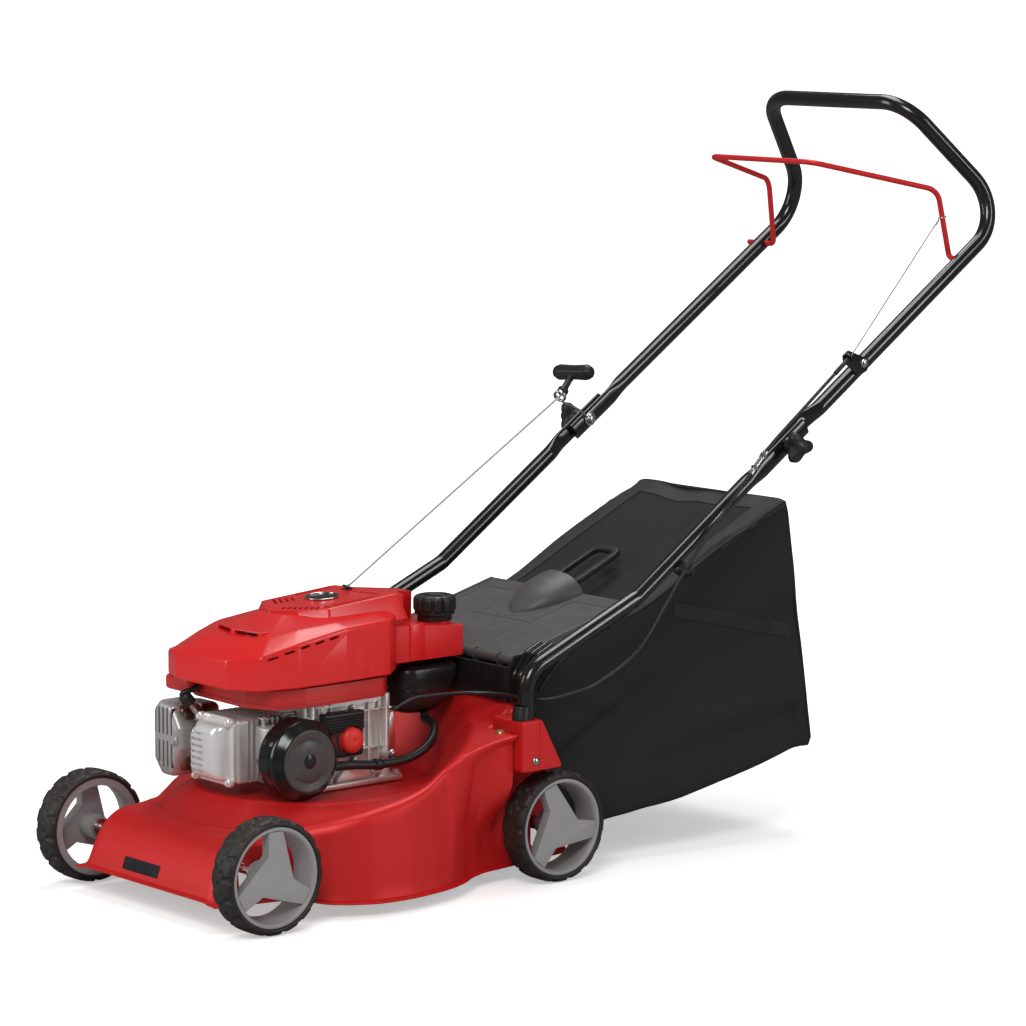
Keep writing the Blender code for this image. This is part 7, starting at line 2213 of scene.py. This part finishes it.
@dataclass
class Starter:
    """Recoil starter's cord, its wire guide on the handle and the T-shaped grip.

    Attributes:
        cord_radius: Radius of the cord.
        exit: Where the cord leaves the cowl.
        ring: Middle of the guide's coil.
        stem: Direction that the cord leaves the coil in.
        bar: Direction of the grip's bar.
        reach: Distance from the coil to the bar.
        eye: The guide's wire from its washer to the coil.
        fold: The folding axis, as back and z.
    """

    cord_radius: float = 0.0015
    exit: Place = (-0.020, 0.297, 0.3870)
    ring: Place = (-0.1530, 0.7824, 0.5978)
    stem: Place = (-0.182, 0.710, 0.681)
    bar: Place = (0.975, 0.204, 0.060)
    reach: float = 0.0460
    eye: Ring = ((-0.1955, 0.8695, 0.5575), (-0.1935, 0.8600, 0.5650), (-0.1850, 0.8350, 0.5760),
                 (-0.1700, 0.8050, 0.5850))
    fold: Pair = (0.878, 0.554)

    def cord(self) -> Piece:
        """Build the twisted cord from the pulley to the grip, with its lay stored on the mesh."""
        ring, stem = at(*self.ring), Vector(self.stem).normalized()
        start, leave = ring + stem * 0.0045, at(*self.exit)
        corners = [at(-0.0285, 0.2250, 0.3378), at(-0.0285, 0.2620, 0.3385), at(-0.0255, 0.2830, 0.3530),
                   leave]
        corners += [leave.lerp(ring, share) for share in (0.03, 0.25, 0.5, 0.75, 0.97)]
        corners += [ring + stem * 0.0010, start, start + stem * 0.0120]
        route = smooth_route(corners, 24)
        piece = tube("pull_cord", route, self.cord_radius, resolution=4)
        tree = KDTree(len(route))
        runs = [0.0]
        for number, point in enumerate(route):
            tree.insert(point, number)
            if number:
                runs.append(runs[-1] + (point - route[number - 1]).length)
        tree.balance()
        lay = piece.data.attributes.new("lay", "FLOAT", "POINT")
        for vertex in piece.data.vertices:
            place, number, _ = tree.find(vertex.co)
            along = (route[min(number + 1, len(route) - 1)] - route[max(number - 1, 0)]).normalized()
            side = along.cross(Vector((0, 0, 1))).normalized()
            offset = vertex.co - place
            angle = math.atan2(offset.dot(along.cross(side)), offset.dot(side))
            lay.data[vertex.index].value = 1.5 * angle + (runs[number] + offset.dot(along)) * 900.0
        return piece

    def guide(self) -> Piece:
        """Build the washer under the bolt's head and the wire coil that the cord runs through."""
        ring = at(*self.ring)
        along = (ring - at(*self.exit)).normalized()
        side = along.cross(Vector((0, 0, 1))).normalized()
        up = side.cross(along)
        coil = []
        for step in range(73):
            angle = math.radians(200 + step * 10.0)
            place = ring + along * 0.0042 * (0.5 - step / 72)
            coil.append(place + (side * math.cos(angle) + up * math.sin(angle)) * 0.0080)
        route = smooth_route([at(*point) for point in self.eye] + coil[:1], 8)[:-1] + coil
        wire = tube("wire", route, 0.0017, resolution=5)
        washer = plate("washer", [circle(0.0100, 40), circle(0.0043, 24)], 0.0014,
                       facing_x(-0.1970, *self.fold), edge=0.0003)
        return gather("cord_guide", [washer, wire])

    def grip(self) -> Piece:
        """Build the T-shaped grip, ribbed on its bar, with the cord's bore."""
        stem = Vector(self.stem).normalized()
        bar = Vector(self.bar)
        bar = (bar - stem * bar.dot(stem)).normalized()
        start, centre = at(*self.ring) + stem * 0.0045, at(*self.ring) + stem * self.reach
        half = [(0.0, 0.0335), (0.0066, 0.0333), (0.0084, 0.0322), (0.0112, 0.0270), (0.0118, 0.0238),
                (0.0112, 0.0120), (0.0108, 0.0)]
        profile = [(r, -h) for r, h in half] + [(r, h) for r, h in reversed(half[:-1])]
        handle = soften(turned("t_grip", profile, centre, bar, steps=8), 0.0012, 3, 20.0)
        stalk = turned("stalk", [(0.0, 0.0), (0.0050, 0.0), (0.0062, 0.0006), (0.0078, 0.0022),
                                 (0.0080, 0.0040), (0.0080, 0.0074), (0.0072, 0.0090), (0.0056, 0.0104),
                                 (0.0050, 0.0130), (0.0050, 0.0270), (0.0058, 0.0330), (0.0072, 0.0390),
                                 (0.0, 0.0390)], start, stem, steps=48)
        combine(handle, [stalk], "UNION")
        bore = rod("bore", start - stem * 0.01, start + stem * 0.014, self.cord_radius + BORE_GAP, sides=24,
                   edge=0.0)
        return cut(handle, bore)

    def build(self) -> None:
        """Build and dress the starter's outside pieces."""
        stem = Vector(self.stem).normalized() * 0.0045
        ring = self.ring
        bend = Bend("chassis", "grip", ring, (ring[0] + stem.x, ring[1] + stem.y, ring[2] + stem.z))
        dress(self.cord(), bend, CORD, "starter_rope")
        dress(self.guide(), "chassis", PLATED, "rope_guide")
        dress(self.grip(), "grip", BLACK_MOULDING, "starter_grip")
        LOG.info("starter built")


@dataclass
class Controls:
    """Brake cable from the bail to the engine's stop lever, with its bracket, adjuster and clips.

    Attributes:
        route: The sheath's middle line.
        tab: Where the sheath ends at the bracket.
        web: Outline of the bracket, as back and z.
        bail_leg: The bail's leg that the wire hooks on.
        leg_share: How far up that leg.
        radius: Radius of the sheath.
    """

    route: Ring = ((0.0945, 0.2850, 0.2380), (0.0955, 0.3050, 0.2460), (0.0960, 0.3290, 0.2501),
                   (0.1120, 0.3950, 0.2500), (0.1500, 0.4260, 0.2500), (0.1960, 0.4330, 0.2490),
                   (0.2220, 0.4520, 0.2515), (0.2290, 0.4760, 0.2560), (0.2290, 0.5253, 0.2653),
                   (0.2290, 0.5960, 0.3019), (0.2290, 0.6494, 0.3641), (0.2290, 0.6853, 0.4082),
                   (0.2290, 0.7908, 0.5149), (0.2290, 0.8332, 0.5568), (0.2290, 0.9000, 0.6070),
                   (0.2290, 0.9810, 0.6673))
    tab: Place = (0.2290, 0.9826, 0.6685)
    web: Outline = ((0.9780, 0.6720), (0.9790, 0.6640), (1.0080, 0.6410), (1.0260, 0.6480), (1.0280, 0.6640),
                    (0.9880, 0.6790))
    bail_leg: Ring = ((0.182, 1.226, 0.793), (0.175, 1.208, 0.890))
    leg_share: float = 0.60
    radius: float = 0.0025

    def hook(self) -> tuple[Vector, Vector, Vector]:
        """Return the wire ring's middle on the bail, where the wire arrives, and the leg's direction."""
        low, high = at(*self.bail_leg[0]), at(*self.bail_leg[1])
        centre = low.lerp(high, self.leg_share)
        return centre, centre + Vector((0.0, -0.0054, -0.0008)), (high - low).normalized()

    def sheath(self) -> Piece:
        """Build the cable's outer sheath with its end ferrules."""
        line = smooth_route([at(*point) for point in self.route], 10)
        pipe = tube("sheath", line, self.radius, resolution=5)
        ends = [rod("ferrule", line[0], line[3], 0.0033), rod("ferrule", line[-4], line[-1], 0.0033)]
        return gather("cable_sheath", [pipe, *ends])

    def adjuster(self) -> Piece:
        """Build the bright barrel adjuster with its lock nut and thread."""
        start, end = at(0.2290, 0.7980, 0.5222), at(0.2290, 0.8270, 0.5507)
        axis = (end - start).normalized()
        length = (end - start).length
        profile = [(0.0, 0.0), (0.0036, 0.0), (0.0040, 0.0004), (0.0040, 0.0060), (0.0034, 0.0064)]
        for number in range(7):
            profile += [(0.0037, 0.0075 + number * 0.0028), (0.0034, 0.0089 + number * 0.0028)]
        profile += [(0.0036, 0.0280), (0.0042, 0.0284), (0.0042, length - 0.0006), (0.0036, length),
                    (0.0, length)]
        barrel = turned("barrel", profile, start, axis, steps=32)
        nut = plate("lock_nut", [circle(0.0056, 6)], 0.0036,
                    Matrix.Translation(start + axis * 0.0110) @ turn_to(axis), edge=0.0005)
        head = plate("barrel_head", [circle(0.0050, 6)], 0.0060,
                     Matrix.Translation(start + axis * 0.0330) @ turn_to(axis), edge=0.0006)
        return gather("cable_adjuster", [barrel, nut, head])

    def bracket(self) -> Piece:
        """Build the black plate that ends the sheath on the upper tube."""
        tab = at(*self.tab)
        along = (at(*self.route[-1]) - at(*self.route[-2])).normalized()
        web = plate("web", [rounded(self.web, 0.0030, 3)], 0.0022, facing_x(0.2211), edge=0.0005)
        face = rod("face", tab, tab + along * 0.0025, 0.0065, sides=40)
        neck = block("neck", (0.2204, self.tab[1] - 0.0005, self.tab[2] - 0.0035),
                     (0.2250, self.tab[1] + 0.0040, self.tab[2] + 0.0045), edge=0.0004)
        combine(web, [face, neck], "UNION")
        return cut(web, rod("hole", tab - along * 0.01, tab + along * 0.012, 0.0014, sides=24, edge=0.0))

    def wire(self) -> Piece:
        """Build the bare wire from the bracket to its ring round the bail's leg."""
        centre, arrival, direction = self.hook()
        tab = at(*self.tab)
        along = (at(*self.route[-1]) - at(*self.route[-2])).normalized()
        start, mid = tab - along * 0.0001, tab + along * 0.006
        points = [start, mid] + [mid.lerp(arrival, share / 24) for share in range(1, 25)]
        line = tube("line", points, 0.0008, resolution=3)
        sleeve = rod("sleeve", mid.lerp(arrival, 0.93), mid.lerp(arrival, 0.985), 0.0016)
        ring = turned("ring", [(0.0054 + u, v) for u, v in circle(0.0008, 12)], centre, direction, steps=40,
                      ring=True)
        return gather("bail_wire", [line, sleeve, ring])

    def clip(self, back: float, z: float, turn: float) -> Piece:
        """Build a strap clip round the tube and the cable beside it."""
        along = Vector((0.0, math.cos(turn), math.sin(turn)))
        up = Vector((0.0, -math.sin(turn), math.cos(turn)))
        band = []
        shape = [(-0.0122 * math.sin(a), 0.0122 * math.cos(a)) for a in (math.pi * i / 16 for i in range(17))]
        shape += [(0.0060, -0.0110), (0.0140, -0.0060), (0.0236, -0.0044), (0.0242, 0.0040), (0.0150, 0.0066),
                  (0.0060, 0.0108)]
        for sideways in (-0.0050, 0.0050):
            band.append([at(0.2085 + u, back, z) + up * v + along * sideways for u, v in shape])
        strap = loft("strap", band)
        use_modifier(strap, "SOLIDIFY", thickness=0.0016, offset=1.0)
        tail = rod("tail", at(0.2210, back, z) + up * 0.0060,
                   at(0.2330, back, z) + up * 0.0120 - along * 0.006, 0.0022, 0.0014, sides=16)
        return soften(gather("cable_clip", [strap, tail]), 0.0003, 2, 50.0)

    def build(self) -> None:
        """Build and dress the controls."""
        bend = Bend("chassis", "handle", (0.2290, 0.8290, 0.5527), (0.2290, 0.9700, 0.6590))
        dress(self.sheath(), bend, CABLE_SHEATH, "brake_cable")
        dress(self.adjuster(), "chassis", PLATED)
        dress(self.bracket(), "handle", TUBE_PAINT, "cable_bracket")
        dress(hex_bolt("bracket_bolt", at(0.2222, 1.0190, 0.6590), (1, 0, 0), 0.0044, 0.0032), "handle",
              PLATED)
        centre, _, _ = self.hook()
        reach = (centre.x, centre.y - FRONT_AXLE_Y - 0.0120, centre.z - 0.0020)
        dress(self.wire(), Bend("handle", "bail", self.tab, reach), PLATED, "brake_wire")
        dress(self.clip(0.6900, 0.4000, math.radians(42.0)), "chassis", BLACK_MOULDING)
        LOG.info("controls built")


@dataclass
class RearFlap:
    """Sprung rear flap with its teardrop hand hold, and the mount that it hinges on.

    Attributes:
        hinge: The hinge's axis, as back and z.
        slope: Slope of the closed flap.
        reach: Length from the hinge.
        half: Half width of the sheet.
        dome_width: Half width of the hand hold, by distance from the hinge.
        dome_height: Its height, by the same distance.
    """

    hinge: Pair = (0.4550, 0.2900)
    slope: float = math.atan2(0.0535, 0.2010)
    reach: float = 0.2075
    half: float = 0.1478
    dome_width: Table = ((0.119, 0.008), (0.128, 0.020), (0.142, 0.031), (0.160, 0.040), (0.182, 0.0455),
                         (0.2075, 0.048))
    dome_height: Table = ((0.119, 0.001), (0.128, 0.008), (0.142, 0.016), (0.160, 0.023), (0.182, 0.027),
                          (0.2075, 0.028))

    def frame(self) -> Matrix:
        """Return the flap's own axes: across, along and up from the hinge."""
        along = Vector((0.0, math.cos(self.slope), math.sin(self.slope)))
        up = Vector((0.0, -along.z, along.y))
        turn = Matrix(((1.0, 0.0, 0.0), (0.0, along.y, up.y), (0.0, along.z, up.z))).to_4x4()
        return Matrix.Translation(at(0.0, *self.hinge)) @ turn

    def box(self, low: Sequence[float], high: Sequence[float], edge: float) -> Piece:
        """Build a block given in the flap's own directions."""
        local = Matrix.Translation((0.0, -FRONT_AXLE_Y, 0.0))
        return settle(block("box", low, high, edge, 3), self.frame() @ local)

    def dome(self, shrink: float, floor: float, first: float, last: float) -> Piece:
        """Build the hand hold's closed form, or the hollow inside it."""
        frame_matrix = self.frame()
        rings = []
        for step in range(25):
            along = mix(first, last, step / 24)
            width = follow(self.dome_width, along) - shrink
            height = follow(self.dome_height, along) + 0.002 - shrink
            arch = [math.pi * i / 36 for i in range(37)]
            ring = [frame_matrix @ Vector((width * math.cos(a), along,
                                           0.0055 + height * math.sin(a) ** 0.9)) for a in arch]
            ring += [frame_matrix @ Vector((-width, along, floor)),
                     frame_matrix @ Vector((width, along, floor))]
            rings.append(ring)
        return loft("dome", rings, cap_start=True, cap_end=True)

    def flap(self) -> Piece:
        """Build the flap in one piece."""
        half, reach = self.half, self.reach
        sheet = self.box((-half, 0.0, 0.0035), (half, reach, 0.0072), 0.0011)
        parts = [self.box((-half, 0.010, -0.0020), (-half + 0.0032, reach, 0.0040), 0.0006),
                 self.box((half - 0.0032, 0.010, -0.0020), (half, reach, 0.0040), 0.0006)]
        pivot = at(0.0, *self.hinge)
        parts.append(rod("barrel", pivot - Vector((0.1475, 0, 0)), pivot + Vector((0.1475, 0, 0)), 0.0072,
                         edge=0.0006))
        parts.append(rod("pin", pivot - Vector((0.1522, 0, 0)), pivot + Vector((0.1522, 0, 0)), 0.0030,
                         edge=0.0003))
        parts.append(self.dome(0.0, 0.0040, 0.119, reach))
        for side in (-1, 1):
            edge = side * (half - 0.0026)
            rim = [self.frame() @ Vector((edge, along, 0.0072)) for along in (0.004, 0.05, 0.10, 0.15,
                                                                              0.2035)]
            parts.append(tube("rim", rim, 0.0025, resolution=4))
        combine(sheet, parts, "UNION")
        tools = [self.dome(0.003, -0.010, 0.142, 0.225)]
        for centre, width, low, high in ((-0.093, 0.070, 0.030, 0.180), (0.093, 0.070, 0.030, 0.180),
                                         (0.0, 0.1170, 0.030, 0.100)):
            outline = round_box(width, high - low, 0.0060, (centre, (low + high) / 2), steps=4)
            tools.append(plate("panel", [outline], 0.0040,
                               self.frame() @ Matrix.Translation((0, 0, 0.0064 + 0.0020)), edge=0.0005))
        for side in (-1, 1):
            for x in (0.060, 0.110):
                tools.append(turned("gap", [(0.0060, -0.0006), (0.0090, -0.0006), (0.0090, 0.0006),
                                            (0.0060, 0.0006)], pivot + Vector((side * x, 0, 0)), (1, 0, 0),
                                    steps=32, ring=True))
        cut(sheet, *tools)
        sheet.name = "rear_flap"
        return soften(sheet, 0.0004, 2, 45.0)

    def mount(self) -> Piece:
        """Build the black mount with its ears and upright ribs."""
        body = block("flap_bracket", (-0.1526, 0.4345, 0.2384), (0.1526, 0.4395, 0.2850), edge=0.0010)
        cut(body, block("trim", (-0.160, 0.430, 0.2300), (-0.1400, 0.450, 0.2420), edge=0.0),
            block("trim", (0.1400, 0.430, 0.2300), (0.160, 0.450, 0.2420), edge=0.0))
        parts = []
        for side in (-1, 1):
            outline = [(0.4345, 0.2560), (0.4560, 0.2790), (0.4645, 0.2830), (0.4645, 0.2970),
                       (0.4600, 0.3005), (0.4450, 0.3005), (0.4345, 0.2850)]
            parts.append(plate("ear", [rounded(outline, 0.0025, 3), circle(0.0033, 32, self.hinge)], 0.0037,
                               facing_x(side * 0.15075), edge=0.0005))
        for x in (-0.125, -0.095, -0.070, 0.070, 0.085, 0.100, 0.115, 0.130):
            parts.append(block("rib", (x, 0.4334, 0.2440), (x + 0.0030, 0.4360, 0.2820), edge=0.0006))
        return combine(body, parts, "UNION")

    def cheeks(self) -> Piece:
        """Build the ribbed corner covers between the mount and both handle tubes."""
        parts = []
        for side in (-1, 1):
            low, high = sorted((side * 0.1535, side * 0.1930))
            parts.append(block("cheek", (low, 0.4345, 0.2384), (high, 0.4395, 0.2740), edge=0.0012,
                               segments=3))
            for x in (0.1580, 0.1700, 0.1820, 0.1915):
                corners = [at(side * x, 0.4385, 0.2390), at(side * x, 0.4385, 0.2760),
                           at(side * (x - 0.004), 0.4620, 0.3010), at(side * (x - 0.006), 0.4900, 0.3120)]
                parts.append(tube("rib", bent_route(corners, (0.018, 0.018), 8), 0.0042, resolution=5))
        return gather("corner_covers", parts)

    def build(self) -> None:
        """Build and dress the flap, its mount and the corner covers."""
        dress(self.flap(), "flap", FLAP_MOULDING, "flap", angle=20.0)
        dress(self.mount(), "chassis", MOUNT_MOULDING, "flap_mount")
        dress(self.cheeks(), "chassis", GLOSS_MOULDING)
        LOG.info("flap built")


def patch(name: str, source: Piece, planes: Sequence[tuple[Vector, Vector]], outward: Vector, lift: float,
          thickness: float) -> Piece:
    """Copy the part of a surface that lies between planes, as a thin layer over it.

    Args:
        name: Name of the layer.
        source: The piece whose surface is copied.
        planes: Rows of a point and a normal; what lies beyond each plane is left out.
        outward: Direction that the copied faces look in.
        lift: Height of the layer's underside over the surface.
        thickness: The layer's thickness.

    Returns:
        The layer as a closed piece.
    """
    piece = copied(source, name, Matrix.Identity(4))
    with editing(piece) as work:
        pick_faces(work, piece, lambda face: face.normal.dot(outward) < 0.35)
        bpy.ops.mesh.delete(type="FACE")
    for place, normal in planes:
        with editing(piece):
            bpy.ops.mesh.select_all(action="SELECT")
            bpy.ops.mesh.bisect(plane_co=place, plane_no=normal, clear_outer=True)
    normals = [Vector(vertex.normal) for vertex in piece.data.vertices]
    for vertex, normal in zip(piece.data.vertices, normals):
        vertex.co += normal * lift
    return use_modifier(piece, "SOLIDIFY", thickness=thickness, offset=1.0)


@dataclass
class BagFittings:
    """Bag's mouth frame and carrying loop, and the tapes and piping sewn on its cloth.

    Attributes:
        mouth: Origin of the mouth's plane, as back and z.
        mouth_lean: Lean of that plane.
        loop_at: Middle of the carrying loop, as back and z.
        loop_lean: Lean of the loop.
    """

    mouth: Pair = (0.442, 0.238)
    mouth_lean: float = math.radians(22.0)
    loop_at: Pair = (0.6975, 0.3790)
    loop_lean: float = math.radians(23.5)

    def mouth_frame(self) -> Piece:
        """Build the stiff frame round the mouth."""
        lean = self.mouth_lean
        turn = Matrix(((1, 0, 0), (0, -math.sin(lean), -math.cos(lean)),
                       (0, math.cos(lean), -math.sin(lean)))).to_4x4()
        place = at(0.0, *self.mouth) + Vector((0.0, math.cos(lean), math.sin(lean))) * 0.004
        outlines = [round_box(0.312, 0.206, 0.014, (0.0, -0.1045)),
                    round_box(0.296, 0.190, 0.008, (0.0, -0.1045))]
        return plate("mouth_frame", outlines, 0.006, Matrix.Translation(place) @ turn, edge=0.0012,
                     segments=3)

    def loop(self) -> Piece:
        """Build the moulded carrying loop with its feet."""
        cosine, sine = math.cos(self.loop_lean), math.sin(self.loop_lean)
        turn = Matrix(((1, 0, 0), (0, cosine, -sine), (0, sine, cosine))).to_4x4()
        matrix = Matrix.Translation(at(0.0, *self.loop_at)) @ turn
        outlines = [round_box(0.060, 0.106, 0.018, steps=8), round_box(0.036, 0.082, 0.008, steps=6)]
        body = plate("carry_loop", outlines, 0.008, matrix, edge=0.0022, segments=4)
        feet = []
        for side in (-1, 1):
            top = matrix @ Vector((side * 0.020, -0.047, -0.001))
            feet.append(rod("foot", Vector((top.x, top.y, 0.328 + (top.y - FRONT_AXLE_Y - 0.656) * 0.485)),
                            top, 0.0045))
        return combine(body, feet, "UNION")

    def edge_line(self, skin: Piece, side: float, first: int, last: int) -> list[Vector]:
        """Return the line along one upper edge of the cloth, ring by ring."""
        line = []
        for number in range(first, last):
            ring = [skin.data.vertices[number * 200 + step].co for step in range(200)]
            line.append(max(ring, key=lambda point: 0.8 * side * point.x + 0.6 * point.z).copy())
        return [sum(line[max(0, i - 4):i + 5], Vector()) / len(line[max(0,
                                                                        i - 4):i + 5])
                for i in range(len(line))]

    def piping(self, skin: Piece) -> Piece:
        """Build the piping along both upper edges and round the rear panel."""
        edges = [self.edge_line(skin, side, 18, 117) for side in (-1.0, 1.0)]
        lines = [tube("edge", edge, 0.0021, resolution=3) for edge in edges]
        rear = [skin.data.vertices[115 * 200 + step].co.copy() for step in range(0, 200, 2)]
        lines.append(tube("rear_edge", rear, 0.0021, resolution=3, closed=True))
        return gather("bag_piping", lines)

    def tapes(self, skin: Piece) -> list[Piece]:
        """Build the sewn bands on both sides, on top and at the rear."""
        bands = []
        slope = Vector((0.0, math.cos(math.radians(24.5)), math.sin(math.radians(24.5))))
        across = Vector((0.0, -slope.z, slope.y))
        for side in (-1, 1):
            dip = Vector((0.0, 0.233, 0.972))
            planes = [(at(0, 0.730, 0.0), Vector((0, -1, 0))), (at(0, 0.930, 0.0), Vector((0, 1, 0))),
                      (at(0, 0.730, 0.3430), dip), (at(0, 0.730, 0.3225), -dip)]
            bands.append(patch("side_tape", skin, planes, Vector((side, 0, 0)), 0.0003, 0.0009))
            hem = [(at(0, 0.560, 0.0), Vector((0, -1, 0))), (at(0, 0.936, 0.0), Vector((0, 1, 0))),
                   (at(side * 0.118, 0, 0), Vector((-side, 0, 0))), (at(0, 0.790, 0.3890), -across)]
            bands.append(patch("hem_tape", skin, hem, across, 0.0003, 0.0009))
        rear = [(at(0, 0.905, 0.0), Vector((0, -1, 0))), (at(0, 0.936, 0.0), Vector((0, 1, 0))),
                (at(0.1185, 0, 0), Vector((1, 0, 0))), (at(-0.1185, 0, 0), Vector((-1, 0, 0))),
                (at(0, 0.790, 0.3890), -across)]
        bands.append(patch("rear_hem", skin, rear, across, 0.0003, 0.0009))
        return bands

    def build(self) -> None:
        """Build and dress the bag's fittings."""
        dress(self.mouth_frame(), "grass_bag", GLOSS_MOULDING, "bag_frame")
        dress(self.loop(), "grass_bag", BLACK_MOULDING, "bag_handle")
        skin = bpy.data.objects["bag_skin"]
        dress(self.piping(skin), "grass_bag", PIPING)
        # The tapes take a darker colour than the cloth, as painted shade.
        for band in self.tapes(skin):
            dress(band, "grass_bag", SHADED_BAG_TAPE)
        LOG.info("bag fittings built")


@dataclass
class DeckFittings:
    """Small pieces on the deck: the bare name plate, socket bolts, collars, plugs and the axles' finish.

    Attributes:
        plate_x: Ends of the bare plate on the front apron.
        plate_z: Its lower and upper edge.
        collar_z: Lower and upper end of the collar round each lower tube.
        tube_x: Where the tubes stand above the collars.
    """

    plate_x: Pair = (-0.0600, 0.0180)
    plate_z: Pair = (0.0455, 0.0610)
    collar_z: Pair = (0.2262, 0.2450)
    tube_x: float = 0.2085

    def name_plate(self) -> Piece:
        """Build the bare plate, which follows the pressed apron."""
        planes = [(at(self.plate_x[0], 0, 0), Vector((-1, 0, 0))),
                  (at(self.plate_x[1], 0, 0), Vector((1, 0, 0))),
                  (Vector((0, 0, self.plate_z[0])), Vector((0, 0, -1))),
                  (Vector((0, 0, self.plate_z[1])), Vector((0, 0, 1))), (at(0, -0.026, 0), Vector((0, 1, 0)))]
        return patch("name_plate", bpy.data.objects["deck_pressing"], planes, Vector((0, -1, 0)), 0.0001,
                     0.0009)

    def collars(self) -> Piece:
        """Build the black collars where the tubes leave their sockets."""
        rings = []
        low, high = self.collar_z
        for side in (-1, 1):
            base = at(side * 0.2077, 0.4091, low)
            top = at(side * self.tube_x, 0.4101, high)
            axis = (top - base).normalized()
            height = (high - low) / axis.z
            profile = [(0.0112, 0.0), (0.0119, 0.0), (0.0122, 0.0004), (0.0122, 0.0030), (0.0119, 0.0036),
                       (0.0119, height - 0.0008), (0.0115, height), (0.0112, height)]
            rings.append(turned("collar", profile, base, axis, steps=48, ring=True))
        return gather("tube_collars", rings)

    def bolts(self) -> Piece:
        """Build the bright domed bolts in the sockets' outer faces."""
        profile = [(0.0, -0.0006), (0.0056, -0.0006), (0.0058, 0.0004), (0.0053, 0.0018), (0.0040, 0.0029),
                   (0.0022, 0.0035), (0.0, 0.0037)]
        heads = []
        for side in (-1, 1):
            heads.append(turned("bolt", profile, at(side * 0.2242, 0.4205, 0.1715), Vector((side, 0, 0)),
                                steps=32))
        return gather("socket_bolts", heads)

    def plugs(self) -> Piece:
        """Build the brass-coloured plugs in the deck's flared corners."""
        deck = bpy.data.objects["deck_pressing"]
        plugs = []
        for x in (-0.184, 0.184):
            found, place, normal, _ = deck.ray_cast(at(x, 0.3925, 1.0), Vector((0, 0, -1)))
            if found:
                profile = [(0.0, -0.0010), (0.0066, -0.0010), (0.0070, 0.0004), (0.0060, 0.0020),
                           (0.0, 0.0028)]
                plugs.append(turned("plug", profile, place, normal, steps=32))
        return gather("deck_plugs", plugs)

    def build(self) -> None:
        """Build and dress the deck's fittings."""
        dress(self.name_plate(), "chassis", BLANK_PLATE)
        dress(self.collars(), "chassis", BLACK_MOULDING)
        dress(self.bolts(), "chassis", PLATED)
        dress(self.plugs(), "chassis", BRASS)
        dress_node("axle_front", PLATED)
        dress_node("axle_rear", PLATED)
        LOG.info("deck fittings built")


def main() -> None:
    """Build the studio and every piece."""
    logging.basicConfig(level=logging.INFO, format="%(message)s")
    Studio().build()
    Deck().build()
    Wheel().build()
    Engine().build()
    Cowl().build()
    FuelTank().build()
    Handle().build()
    Starter().build()
    Controls().build()
    RearFlap().build()
    GrassBag().build()
    BagFittings().build()
    DeckFittings().build()


if __name__ == "__main__":
    main()
